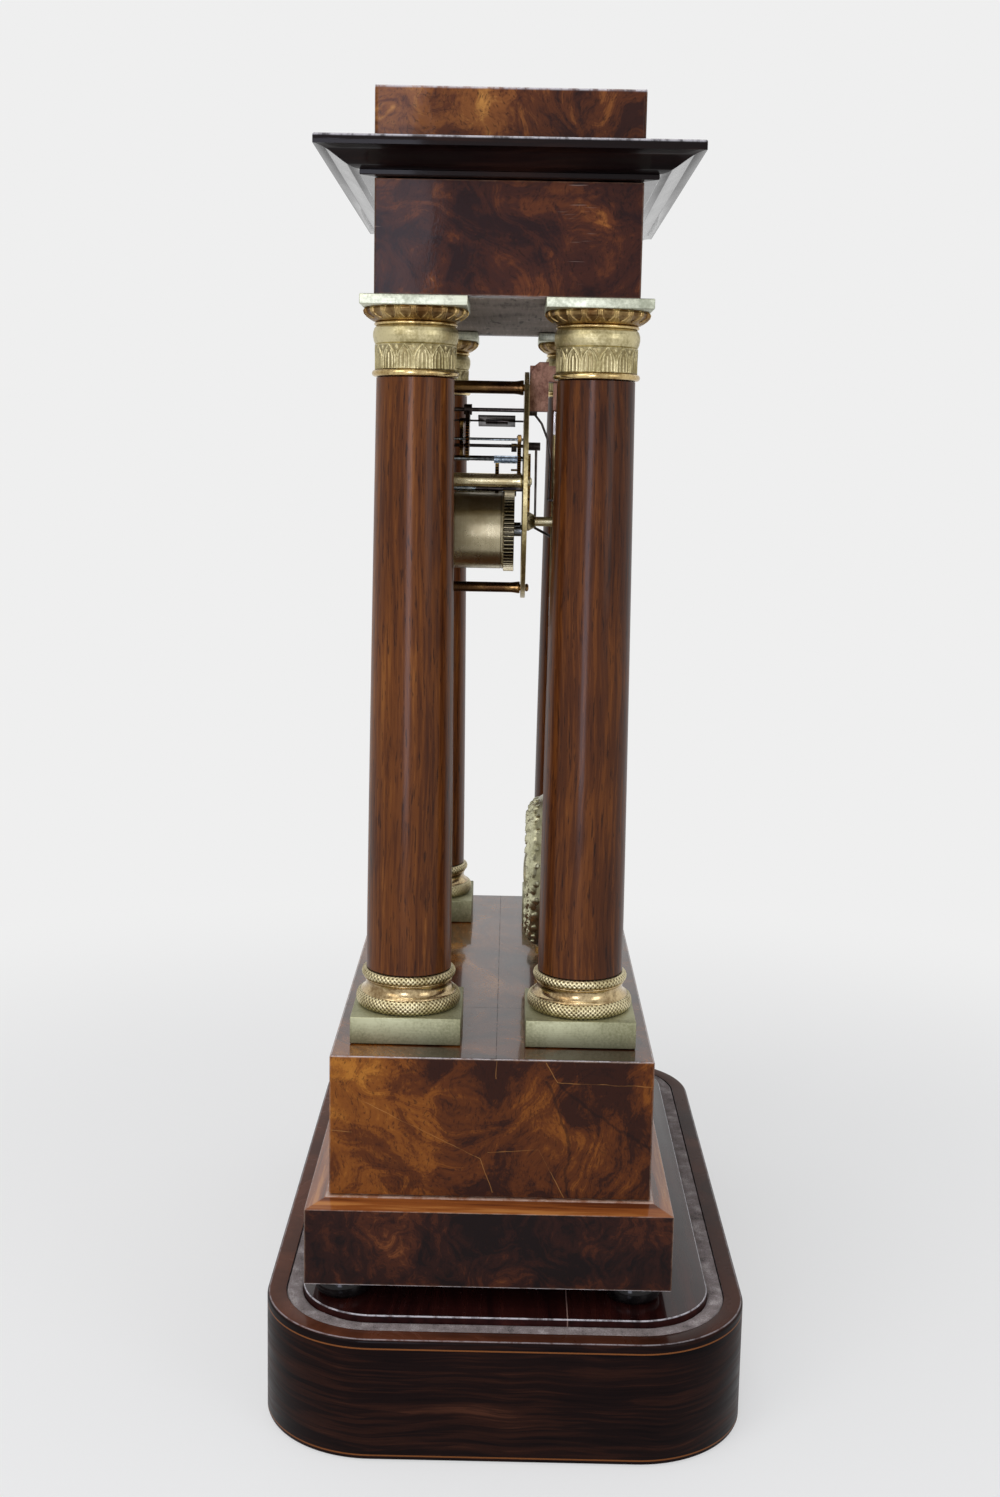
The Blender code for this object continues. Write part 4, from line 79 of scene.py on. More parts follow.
class Nodes:
    """Short calls that add nodes to a material's or world's tree and wire them."""

    def __init__(self, owner):
        owner.use_nodes = True
        self.tree = owner.node_tree
        self.place = self.add("ShaderNodeTexCoord").outputs["Object"]

    def add(self, kind, sockets=None, **settings):
        """A node with its settings, its sockets wired or set."""
        node = self.tree.nodes.new(kind)
        for key, value in settings.items():
            setattr(node, key, value)
        for key, value in (sockets or {}).items():
            self.wire(value, node.inputs[key])
        return node

    def wire(self, source, target):
        if isinstance(source, bpy.types.NodeSocket):
            self.tree.links.new(source, target)
        else:
            target.default_value = source

    def mapped(self, scale, turn=ORIGIN, shift=ORIGIN, source=None):
        sockets = {"Vector": source or self.place, "Scale": scale, "Rotation": turn, "Location": shift}
        return self.add("ShaderNodeMapping", sockets).outputs["Vector"]

    def noise(self, vector, scale, detail=4.0, rough=0.55, distortion=0.0, colour=False):
        sockets = {"Vector": vector, "Scale": scale, "Detail": detail, "Roughness": rough, "Distortion": distortion}
        return self.add("ShaderNodeTexNoise", sockets).outputs["Color" if colour else "Fac"]

    def voronoi(self, vector, scale, output="Distance"):
        return self.add("ShaderNodeTexVoronoi", {"Vector": vector, "Scale": scale}, feature="F1").outputs[output]

    def math(self, operation, a, b=0.0, c=None):
        sockets = {0: a, 1: b} if c is None else {0: a, 1: b, 2: c}
        return self.add("ShaderNodeMath", sockets, operation=operation).outputs[0]

    def times(self, a, b):
        return self.math("MULTIPLY", a, b)

    def mul_add(self, a, factor, rest):
        return self.math("MULTIPLY_ADD", a, factor, rest)

    def apart(self, a, b):
        """How far apart two values are."""
        return self.math("ABSOLUTE", self.math("SUBTRACT", a, b))

    def vector(self, operation, a, b, c=None):
        sockets = {0: a, 1: b} if c is None else {0: a, 1: b, 2: c}
        node = self.add("ShaderNodeVectorMath", sockets, operation=operation)
        return node.outputs["Value" if operation == "LENGTH" else "Vector"]

    def span(self, value, low, high, to_low=0.0, to_high=1.0, smooth=True):
        sockets = {"Value": value, "From Min": low, "From Max": high, "To Min": to_low, "To Max": to_high}
        kind = "SMOOTHSTEP" if smooth else "LINEAR"
        return self.add("ShaderNodeMapRange", sockets, interpolation_type=kind).outputs["Result"]

    def ramp(self, value, stops):
        node = self.add("ShaderNodeValToRGB", {"Fac": value})
        node.color_ramp.interpolation = "EASE"
        while len(node.color_ramp.elements) < len(stops):
            node.color_ramp.elements.new(0.5)
        for element, (position, colour) in zip(node.color_ramp.elements, stops):
            element.position = position
            element.color = colour
        return node.outputs["Color"]

    def mix(self, factor, a, b):
        return self.add("ShaderNodeMix", {"Factor": factor, 6: a, 7: b}, data_type="RGBA").outputs[2]

    def axis(self, index, source=None):
        return self.add("ShaderNodeSeparateXYZ", {0: source or self.place}).outputs[index]

    def normal(self, index):
        return self.axis(index, self.add("ShaderNodeNewGeometry").outputs["Normal"])

    def facing_up(self):
        return self.span(self.normal(2), 0.6, 0.9)

    def attribute(self, name):
        return self.add("ShaderNodeAttribute", attribute_name=name).outputs["Fac"]

    def flat_distance(self, centre):
        """Distance from a line along Y through a centre."""
        place = self.vector("MULTIPLY", self.vector("SUBTRACT", self.place, centre), (1.0, 0.0, 1.0))
        return self.vector("LENGTH", place, ORIGIN)

    def edge_distance(self, low, high):
        """Distance to the nearest edge of a box-shaped piece: the middle one of its three face distances."""
        gaps = []
        for i in range(3):
            half = 0.5 * (high[i] - low[i])
            gaps.append(self.math("SUBTRACT", half, self.apart(self.axis(i), 0.5 * (high[i] + low[i]))))
        x, y, z = gaps
        least = self.math("MINIMUM", self.math("MINIMUM", x, y), z)
        most = self.math("MAXIMUM", self.math("MAXIMUM", x, y), z)
        total = self.math("ADD", self.math("ADD", x, y), z)
        return self.math("SUBTRACT", self.math("SUBTRACT", total, least), most)

    def line(self, across, place, inner, outer, strength=1.0):
        """A thin line about a place on an axis, full inside one distance and gone beyond another."""
        return self.span(self.apart(across, place), inner, outer, strength, 0.0)


class Shade(Nodes):
    """A Principled material."""

    def __init__(self, name, rough=0.4, metallic=0.0, coat=0.0, coat_rough=0.08, specular=0.5):
        self.mat = bpy.data.materials.new(name)
        super().__init__(self.mat)
        self.bsdf = self.tree.nodes["Principled BSDF"]
        self.set({"Roughness": rough, "Metallic": metallic, "Coat Weight": coat, "Coat Roughness": coat_rough,
                  "Specular IOR Level": specular})

    def set(self, sockets):
        for key, value in sockets.items():
            self.wire(value, self.bsdf.inputs[key])

    def colour(self, value):
        self.set({"Base Color": value})

    def rough(self, value):
        self.set({"Roughness": value})

    def bump(self, height, distance, strength=1.0, coat=True):
        normal = self.add("ShaderNodeBump", {"Height": height, "Distance": distance, "Strength": strength})
        self.set({key: normal.outputs["Normal"] for key in (("Normal", "Coat Normal") if coat else ("Normal",))})


# Woods

PORE_SCALE = 1008.0
BAND_EDGE = 2.5 * MM


def line_share(s, ends, half, wobble):
    """How far a point lies on a thin line between two (y, z) ends, on a face across X."""
    (y0, z0), (y1, z1) = ends
    length = math.hypot(y1 - y0, z1 - z0)
    ny, nz = -(z1 - z0) / length, (y1 - y0) / length
    across = s.mul_add(s.axis(1), ny, s.mul_add(s.axis(2), nz, -(y0 * ny + z0 * nz)))
    across = s.math("ADD", across, wobble)
    along = s.mul_add(s.axis(1), nz, s.mul_add(s.axis(2), -ny, -(y0 * nz - z0 * ny)))
    inside = s.times(s.math("GREATER_THAN", along, 0.0), s.math("LESS_THAN", along, length))
    return s.times(s.span(s.math("ABSOLUTE", across), 0.35 * half, 1.3 * half, 1.0, 0.0), inside)


def paths(s, lines, half, wander=0.0012):
    """How far a point lies on any segment of some bent lines, which wander a little from their ends."""
    wobble = s.times(s.math("SUBTRACT", s.noise(s.place, 150.0, 3.0), 0.5), wander)
    share = None
    for line in lines:
        for ends in zip(line, line[1:]):
            one = line_share(s, ends, half, wobble)
            share = one if share is None else s.math("MAXIMUM", share, one)
    return share


def polish(s, side_coat, top_coat, flank_coat=None, dull=None, flank_share=None):
    """Lacquer that mirrors on faces turned up, or along the long sides, and is thinner on the end faces."""
    up = s.facing_up()
    weight = s.span(up, 0.0, 1.0, side_coat, top_coat, smooth=False)
    if flank_coat is not None:
        flank = s.span(s.math("ABSOLUTE", s.normal(0)), 0.45, 0.75, flank_coat, 0.0)
        if flank_share is not None:
            flank = s.times(flank, flank_share)
        weight = s.math("MAXIMUM", weight, flank)
    if dull is not None:
        weight = s.times(weight, s.math("SUBTRACT", 1.0, dull))
    s.set({"Coat Weight": weight})
    return up


def painted_edge_highlights(s, colour, heights):
    """Painted highlights: broken pale bluish lines along level edges, where the edges catch the light: (height, half
    width, strength).
    """
    shine_breakup = s.span(s.noise(s.mapped((1.0, 1.0, 0.2)), 230.0, 4.0, 0.7), 0.36, 0.56, 0.25, 1.0)
    upright = s.span(s.math("ABSOLUTE", s.normal(2)), 0.90, 0.97, 1.0, 0.0)
    for height, half, strength in heights:
        pale = s.times(s.line(s.axis(2), height, 0.3 * half, half, strength), upright)
        colour = s.mix(s.times(pale, shine_breakup), colour, rgb(206, 202, 206))
    return colour


def burr(name, stops, shift, size=1.0, box=None, painted_side_light=None, seams=(), veins=(), band=None, top_coat=None,
         wear=0.5, side_coat=0.12, flank_coat=None, cracks=False, top_joints=(), edges=()):
    """Burr veneer: clouds, growth rings that follow them, small eyes, pores, edges paled by wear, painted edge
    highlights, cracks with a painted glint and shadow, under polish.

    lighter shifts the tone between two places along Y: (from, to, shift there, shift there). As used, it is painted
    light and shade, brighter on the -Y side toward the key lamp and darker toward +Y."""
    s = Shade(name, rough=0.36, coat=side_coat, coat_rough=0.04, specular=0.07)
    base = s.mapped(EVEN, shift=shift)
    warp = s.noise(base, 15.0 / size, 3.0, colour=True)
    bent = s.vector("MULTIPLY_ADD", warp, (0.05 * size,) * 3, base)
    clouds = s.noise(bent, 23.0 / size, 6.0, 0.60, 0.9)
    field = s.noise(bent, 13.0 / size, 2.0, 0.4, 1.3)
    fibre = s.noise(bent, 640.0, 4.0, 0.68)
    ragged = s.times(fibre, 3.0)
    broad_rings = s.math("SINE", s.mul_add(field, 62.0, s.times(clouds, 7.0)))
    fine_rings = s.math("SINE", s.mul_add(field, 290.0, ragged))
    tone = s.mul_add(broad_rings, 0.040, s.times(clouds, 0.90))
    tone = s.mul_add(fine_rings, 0.016, tone)
    tone = s.mul_add(s.math("SUBTRACT", fibre, 0.5), 0.20, tone)
    shadow = s.span(s.noise(bent, 8.0 / size, 3.0, 0.5), 0.50, 0.68, 0.0, -0.10)
    tone = s.math("ADD", tone, shadow)
    eye_cells = s.mapped(EVEN, source=bent)
    eyes = s.voronoi(eye_cells, 40.0 / size)
    chosen = s.span(s.axis(0, s.voronoi(eye_cells, 40.0 / size, "Color")), 0.62, 0.66)
    rings = s.math("SINE", s.mul_add(eyes, 46.0, s.times(fibre, 2.0)))
    eye = s.times(s.times(s.span(eyes, 0.10, 0.42, 1.0, 0.0), chosen), rings)
    tone = s.mul_add(eye, 0.055, tone)
    # Painted light and shade: tone raised toward -Y and lowered toward +Y.
    if painted_side_light is not None:
        tone = s.math("ADD", tone, s.span(s.axis(1), *painted_side_light))
    colour = s.ramp(tone, stops)
    ridge = s.apart(s.noise(bent, 17.0 / size, 5.0, 0.55, 1.8), 0.5)
    broken = s.span(s.noise(base, 55.0, 2.0), 0.46, 0.62)
    colour = s.mix(s.times(s.span(ridge, 0.0, 0.011, 0.42, 0.0), broken), colour, rgb(22, 8, 7))
    pores = s.noise(s.mapped((1.0, 1.0, 0.4), turn=(0.4, 0.9, 0.3), source=bent), 1150.0, 2.0, 0.5)
    colour = s.mix(s.span(pores, 0.56, 0.70, 0.0, 0.55), colour, rgb(26, 10, 6))
    if cracks:
        # Short cracks in a few patches: a pale painted glint line 0.4 mm along Z from a dark painted shadow line.
        few = s.span(s.noise(base, 30.0, 2.0, 0.5), 0.58, 0.66)
        crack_shadows = s.times(s.span(s.noise(s.mapped((1.0, 0.07, 1.0)), 900.0, 1.0, 0.4), 0.66, 0.72), few)
        glints = s.noise(s.mapped((1.0, 0.07, 1.0), shift=(0.0, 0.0, 0.0004)), 900.0, 1.0, 0.4)
        colour = s.mix(s.times(s.span(glints, 0.66, 0.72, 0.0, 0.45), few), colour, rgb(150, 128, 118))
        colour = s.mix(s.times(crack_shadows, 0.8), colour, rgb(14, 6, 6))
    if veins:
        colour = s.mix(s.times(paths(s, veins, 0.0007, 0.004), 0.55), colour, rgb(24, 8, 6))
    if seams:
        faded = s.span(s.noise(base, 90.0, 2.0), 0.36, 0.60, 0.10, 0.50)
        colour = s.mix(s.times(paths(s, seams, 0.00016), faded), colour, rgb(176, 124, 66))
    if band is not None:
        straight = s.noise(s.mapped((0.035, 0.035, 2.6), shift=(0.3, 0.1, 0.0)), 330.0, 5.0, 0.6, 0.2)
        slope = s.ramp(straight, ((0.30, rgb(88, 43, 20)), (0.48, rgb(138, 76, 34)), (0.66, rgb(184, 120, 62))))
        above = s.math("GREATER_THAN", s.axis(2), band)
        colour = s.mix(above, colour, slope)
        # Painted highlights along the band's lower and upper edges, broken up by noise.
        shine_breakup = s.span(s.noise(s.place, 210.0, 4.0, 0.7), 0.38, 0.60, 0.25, 0.85)
        for height, strength in ((band, 0.35), (band + BAND_EDGE, 0.9)):
            pale = s.line(s.axis(2), height, 0.05 * MM, 0.22 * MM, strength)
            colour = s.mix(s.times(pale, shine_breakup), colour, rgb(206, 180, 164))
    if box is not None:
        low, high = box
        rag = s.mul_add(s.noise(s.place, 300.0, 4.0, 0.7), -0.0010, s.edge_distance(low, high))
        colour = s.mix(s.span(rag, -0.0006, 0.0003, wear, 0.0), colour, rgb(188, 150, 122))
    # Painted edge highlights along the given level edges.
    colour = painted_edge_highlights(s, colour, edges)
    dull = None
    if top_joints:
        facing_up = s.span(s.normal(2), 0.8, 0.9)
        broken = s.span(s.noise(s.place, 260.0, 3.0, 0.6), 0.40, 0.54, 0.35, 0.95)
        for index, place, half in top_joints:
            joint = s.line(s.axis(index), place, 0.5 * half, half)
            dull = joint if dull is None else s.math("MAXIMUM", dull, joint)
        dull = s.times(s.times(dull, broken), facing_up)
        colour = s.mix(dull, colour, rgb(40, 26, 22))
    s.colour(colour)
    if top_coat is not None:
        up = polish(s, side_coat, top_coat, flank_coat, dull)
        s.rough(s.mul_add(up, -0.16, s.span(fibre, 0.3, 0.7, 0.30, 0.44)))
    else:
        s.rough(s.span(fibre, 0.3, 0.7, 0.30, 0.46))
    waves = s.noise(s.place, 14.0, 2.0)
    s.bump(s.mul_add(pores, 0.010, waves), 1.1 * MM, 0.45)
    return s.mat


def straight_wood(name, stops, stretch, shift=ORIGIN, scale=1.0, coat=0.12, streak=0.5, pores=0.5,
                  figure=10.0, coat_rough=0.05, string=None, bands=0.0, specular=0.07, top_coat=None,
                  flank_coat=None, joints=(), edges=(), painted_side_light=None, mitre=None, painted_top_light=None):
    """Straight-grained wood: streaks along one axis, with dark pores, a slow figure and inlaid lines.

    mitre is (half length, middle Y, half depth) of the block that a moulding runs round."""
    s = Shade(name, rough=0.40, coat=coat, coat_rough=coat_rough, specular=specular)
    base = s.mapped(EVEN, shift=shift)
    wander = s.noise(base, figure, 2.0, colour=True)
    sway = s.vector("MULTIPLY", s.vector("SUBTRACT", wander, (0.5, 0.5, 0.5)), (0.012, 0.012, 0.012))
    bent = s.vector("ADD", base, sway)
    grain = s.mapped(stretch, source=bent)
    lines = s.noise(grain, 260.0 * scale, 6.0, 0.62, 0.35)
    broad = s.noise(grain, 52.0 * scale, 3.0, 0.5, 0.9)
    patch = s.noise(bent, 26.0, 3.0, 0.5)
    tone = s.mul_add(lines, streak, s.times(broad, 0.85 - streak))
    tone = s.mul_add(patch, 0.15, tone)
    # Painted light and shade: tone raised toward -Y and lowered toward +Y.
    if painted_side_light is not None:
        tone = s.math("ADD", tone, s.span(s.axis(1), *painted_side_light))
    if bands:
        figure_lines = s.noise(grain, 120.0 * scale, 2.0, 0.5, 1.6)
        tone = s.math("ADD", tone, s.span(figure_lines, 0.44, 0.50, -bands, bands * 0.4))
    colour = s.ramp(tone, stops)
    short = tuple(v if v > 0.5 else v * 2.2 for v in stretch)
    dots = s.noise(s.mapped(short, source=bent), PORE_SCALE, 3.0, 0.6)
    colour = s.mix(s.span(dots, 0.56, 0.68, 0.0, pores), colour, rgb(24, 9, 6))
    # Painted light: faces turned up get a paler brown, more toward -Y, the key lamp's side.
    if painted_top_light is not None:
        left, right, shares = painted_top_light
        top = s.times(s.facing_up(), s.span(s.axis(1), left, right, *shares))
        colour = s.mix(s.times(top, s.span(lines, 0.35, 0.6, 0.6, 1.0)), colour, rgb(112, 64, 44))
    if string:
        lift = s.axis(2)
        upright = s.span(s.math("ABSOLUTE", s.normal(2)), 0.3, 0.5, 1.0, 0.0)
        for height, half in string:
            inlay = s.line(lift, height, half * 0.8, half * 1.25, 0.8)
            colour = s.mix(s.times(inlay, upright), colour, rgb(132, 80, 42))
    for place, half, strength in joints:
        near = s.line(s.axis(1), place, half * 0.7, half * 1.3, strength)
        colour = s.mix(near, colour, rgb(150, 120, 110))
    # Painted edge highlights along the given level edges.
    s.colour(painted_edge_highlights(s, colour, edges))
    if top_coat is not None:
        flank_share = None
        if mitre is not None:
            beyond_side = s.apart(s.axis(1), mitre[1])
            beyond_end = s.math("ABSOLUTE", s.axis(0))
            past = s.math("SUBTRACT", s.math("SUBTRACT", beyond_side, mitre[2]),
                          s.math("SUBTRACT", beyond_end, mitre[0]))
            flank_share = s.math("GREATER_THAN", past, 0.0)
        up = polish(s, coat, top_coat, flank_coat, flank_share=flank_share)
        s.rough(s.mul_add(up, -0.14, s.span(lines, 0.3, 0.7, 0.32, 0.46)))
    else:
        s.rough(s.span(lines, 0.3, 0.7, 0.32, 0.46))
    waves = s.noise(s.place, 18.0, 2.0)
    s.bump(s.mul_add(dots, 0.016, waves), 0.9 * MM, 0.45)
    return s.mat


BURR_DARK = ((0.30, rgb(36, 15, 15)), (0.44, rgb(60, 28, 19)), (0.55, rgb(92, 47, 24)), (0.70, rgb(152, 92, 42)))
BURR_ATTIC = ((0.28, rgb(48, 22, 16)), (0.42, rgb(86, 44, 22)), (0.53, rgb(128, 75, 35)), (0.70, rgb(188, 130, 64)))
BURR_GOLD = ((0.26, rgb(46, 19, 9)), (0.38, rgb(84, 41, 13)), (0.50, rgb(122, 68, 21)), (0.66, rgb(166, 106, 38)))
BURR_BLOCK = ((0.32, rgb(20, 8, 8)), (0.45, rgb(40, 17, 12)), (0.56, rgb(64, 30, 16)), (0.72, rgb(112, 62, 30)))

# Veneer seams and dark veins on the pedestal's end: bent lines of (y, z) points
SEAM_LINES = (((-0.0608, 0.1375), (-0.0113, 0.1133), (-0.0060, 0.0990)),
              ((-0.0083, 0.1160), (0.0123, 0.1175), (0.0229, 0.0970)),
              ((-0.0052, 0.1545), (-0.0055, 0.1470)),
              ((0.0143, 0.1543), (0.0191, 0.1459), (0.0576, 0.1449)),
              ((-0.0714, 0.1241), (-0.0629, 0.1235)))
VEIN_LINES = (((0.0145, 0.1466), (0.0213, 0.1304), (0.0248, 0.1199), (0.0235, 0.1071), (0.0244, 0.0976)),
              ((0.0190, 0.1459), (0.0330, 0.1340), (0.0570, 0.1190)))

# Each edges argument below places painted edge highlights: (height, half width, strength).
WOOD_FRIEZE = burr("frieze_burr", BURR_DARK, (0.31, 0.12, 0.05), 0.85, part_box("frieze"), wear=0.25,
                   top_coat=0.6, cracks=True, edges=((453.1 * MM, 0.35 * MM, 0.4),))
WOOD_ATTIC = burr("attic_burr", BURR_ATTIC, (0.71, 0.02, 0.25), 0.8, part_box("attic"), (-0.058, 0.040, 0.17, -0.10),
                  wear=0.45, top_coat=1.0, side_coat=0.14, edges=((530.1 * MM, 1.3 * MM, 0.9),))
WOOD_PEDESTAL = burr("pedestal_burr", BURR_GOLD, (0.05, 0.42, 0.11), 1.15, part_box("pedestal"),
                     (-0.020, 0.050, 0.005, -0.105), SEAM_LINES, VEIN_LINES, top_coat=0.62,
                     top_joints=((1, -5.6 * MM, 0.22 * MM), (0, 66.8 * MM, 0.28 * MM)),
                     edges=((155.2 * MM, 0.45 * MM, 0.7),))
WOOD_BLOCK = burr("plinth_burr", BURR_BLOCK, (0.15, 0.33, 0.61), 0.5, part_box("plinth_block"), band=93.8 * MM,
                  top_coat=0.3, flank_coat=0.6, wear=0.25, edges=((62.3 * MM, 0.4 * MM, 0.6),))
WOOD_CORNICE = straight_wood("cornice_wood", ((0.34, rgb(8, 4, 5)), (0.50, rgb(18, 9, 9)), (0.66, rgb(38, 20, 15))),
                             (0.07, 0.07, 1.0), (0.2, 0.5, 0.1), streak=0.5, pores=0.3, coat=0.14, top_coat=1.0,
                             flank_coat=0.78, edges=((508.3 * MM, 1.0 * MM, 0.75),),
                             mitre=(FRIEZE_HALF[0], CASE_Y, FRIEZE_HALF[1]), specular=0.05)
WOOD_COLUMN = straight_wood("column_mahogany", ((0.33, rgb(48, 21, 8)), (0.45, rgb(73, 36, 13)),
                                                (0.55, rgb(97, 52, 18)), (0.67, rgb(128, 76, 30))),
                            (1.0, 1.0, 0.045), figure=7.0, scale=2.4, streak=0.52, pores=0.7, coat=0.20,
                            coat_rough=0.15, specular=0.07, painted_side_light=(-0.060, 0.050, 0.035, -0.045))
WOOD_STAND = straight_wood("stand_rosewood", ((0.32, rgb(9, 3, 4)), (0.45, rgb(21, 9, 8)),
                                              (0.56, rgb(39, 19, 13)), (0.68, rgb(70, 40, 27))),
                           (0.04, 0.04, 1.0), (0.4, 0.3, 0.2), scale=1.9, streak=0.45, pores=0.45, figure=14.0,
                           coat=0.06, specular=0.03, coat_rough=0.10, string=mm(((2.1, 0.3), (47.2, 0.3))),
                           bands=0.05, top_coat=0.12, edges=((50.9 * MM, 0.4 * MM, 0.35),),
                           painted_top_light=(-0.07, 0.05, (0.8, 0.3)))
WOOD_FLOOR = straight_wood("stand_platform_wood", ((0.34, rgb(20, 7, 8)), (0.50, rgb(40, 15, 13)),
                                                   (0.66, rgb(62, 26, 20))),
                           (0.06, 1.0, 1.0), (0.1, 0.7, 0.4), scale=0.8, streak=0.5, pores=0.3, coat=0.12,
                           top_coat=0.55, joints=((25.0 * MM, 0.22 * MM, 0.7),),
                           edges=((53.5 * MM, 0.5 * MM, 0.8),))


def bare_board():
    """Unpolished board, grey with age, its grain along X."""
    s = Shade("soffit_board_wood", rough=0.8, specular=0.2)
    stains = s.noise(s.place, 30.0, 5.0, 0.6)
    grain = s.noise(s.mapped((0.05, 1.0, 1.0)), 700.0, 4.0, 0.6)
    dents = s.noise(s.mapped((0.2, 1.0, 1.0)), 160.0, 3.0, 0.6)
    tone = s.mul_add(grain, 0.35, s.times(stains, 0.65))
    colour = s.ramp(tone, ((0.3, rgb(80, 71, 64)), (0.5, rgb(130, 119, 110)), (0.7, rgb(172, 160, 148))))
    s.colour(s.mix(s.span(dents, 0.62, 0.70, 0.0, 0.6), colour, rgb(30, 24, 20)))
    s.bump(grain, 0.0004, 0.7)
    return s.mat


def ebony():
    """Black polished wood of the feet."""
    s = Shade("foot_ebony", rough=0.25, coat=0.3, coat_rough=0.04, specular=0.1)
    wear = s.noise(s.place, 260.0, 4.0)
    s.colour(s.ramp(wear, ((0.3, rgb(7, 6, 7)), (0.7, rgb(22, 18, 18)))))
    s.bump(s.noise(s.place, 60.0, 2.0), 0.0006, 0.4)
    return s.mat


def felt():
    """Worn plush in the dome groove."""
    s = Shade("groove_felt_worn", rough=0.95, specular=0.1)
    patch = s.noise(s.place, 120.0, 5.0, 0.65)
    tuft = s.noise(s.place, 1600.0, 3.0, 0.7)
    tone = s.mul_add(tuft, 0.4, s.times(patch, 0.6))
    s.colour(s.ramp(tone, ((0.34, rgb(66, 56, 55)), (0.5, rgb(138, 126, 124)), (0.66, rgb(196, 186, 184)))))
    s.set({"Sheen Weight": 0.15})
    s.bump(tuft, 0.0006, 1.0)
    return s.mat


# Metals

TARNISH = rgb(48, 36, 22)


def painted_tooth_shade(s, colour, centre, root, tip, rear=-1.0, front=1.0):
    """Painted shade between a wheel's teeth: on faces turned outward, below the tips, between two places along Y."""
    away = s.flat_distance(centre)
    dark = s.span(away, 0.65 * root + 0.35 * tip, 0.2 * root + 0.8 * tip, 0.85, 0.0)
    rim = s.times(dark, s.span(away, root - 0.5 * MM, root - 0.2 * MM))
    outward = s.span(s.math("ABSOLUTE", s.normal(1)), 0.4, 0.6, 1.0, 0.0)
    between = s.times(s.math("GREATER_THAN", s.axis(1), rear), s.math("LESS_THAN", s.axis(1), front))
    return s.mix(s.times(rim, s.times(outward, between)), colour, rgb(26, 18, 10))


def brass(name, low, high, rough=(0.28, 0.42), patch=60.0, grime=0.35, brushed=None, relief=None, fine=0.5,
          rings=None, hole_shade_rings=(), marks=(), gaps=None, speck=0.3):
    """Aged brass: slow patches of tarnish, fine scratches, turning lines, and dirt where the relief lies low."""
    s = Shade(name, rough=rough[0], metallic=1.0)
    tarnish = s.noise(s.place, patch, 5.0, 0.62)
    grain = s.noise(s.place, 900.0, 3.0, 0.6)
    tone = s.mul_add(grain, speck, s.times(tarnish, 1.0 - speck))
    colour = s.ramp(tone, ((0.36, low), (0.60, high)))
    spots = s.noise(s.place, patch * 2.6, 6.0, 0.72)
    colour = s.mix(s.span(spots, 0.57, 0.72, 0.0, grime), colour, TARNISH)
    height = s.times(grain, 0.06 * fine)
    if relief is not None:
        hollow = s.span(s.attribute("relief"), 0.0, 0.75, 0.9, 0.0)
        colour = s.mix(hollow, colour, relief)
    if brushed is not None:
        lines = s.noise(s.mapped(brushed), 1.0, 4.0, 0.7)
        colour = s.mix(s.span(lines, 0.35, 0.65, 0.0, 0.24), colour, low)
        height = s.mul_add(lines, 0.004, height)
    if rings is not None:
        centre, pitch = rings
        away = s.flat_distance(centre)
        turning = s.math("SINE", s.mul_add(away, TAU / pitch, s.times(grain, 3.0)))
        height = s.mul_add(turning, 0.03, height)
    # Painted shade: a dark ring round each hole, where a countersink's shade would fall.
    for x, z, radius in hole_shade_rings:
        away = s.flat_distance((x, 0.0, z))
        dark = s.line(away, radius, 0.0, 0.35 * MM, 0.65)
        colour = s.mix(dark, colour, rgb(58, 42, 24))
    # Painted shade between the great wheel's teeth.
    if gaps is not None:
        colour = painted_tooth_shade(s, colour, *gaps)
    for place, half in marks:
        groove = s.line(s.axis(1), place, 0.3 * half, half, 0.6)
        colour = s.mix(groove, colour, TARNISH)
    s.colour(colour)
    s.rough(s.span(tone, 0.3, 0.7, rough[1], rough[0]))
    s.bump(height, 0.0006, 0.6, coat=False)
    return s.mat


def steel(name, dark, light, rough=(0.22, 0.38), brushed=(40.0, 2500.0, 40.0)):
    s = Shade(name, rough=rough[0], metallic=1.0)
    lines = s.noise(s.mapped(brushed), 1.0, 4.0, 0.65)
    stain = s.noise(s.place, 140.0, 4.0)
    tone = s.mul_add(lines, 0.4, s.times(stain, 0.6))
    s.colour(s.ramp(tone, ((0.32, dark), (0.66, light))))
    s.rough(s.span(tone, 0.3, 0.7, rough[1], rough[0]))
    s.bump(lines, 0.0002, 0.4, coat=False)
    return s.mat


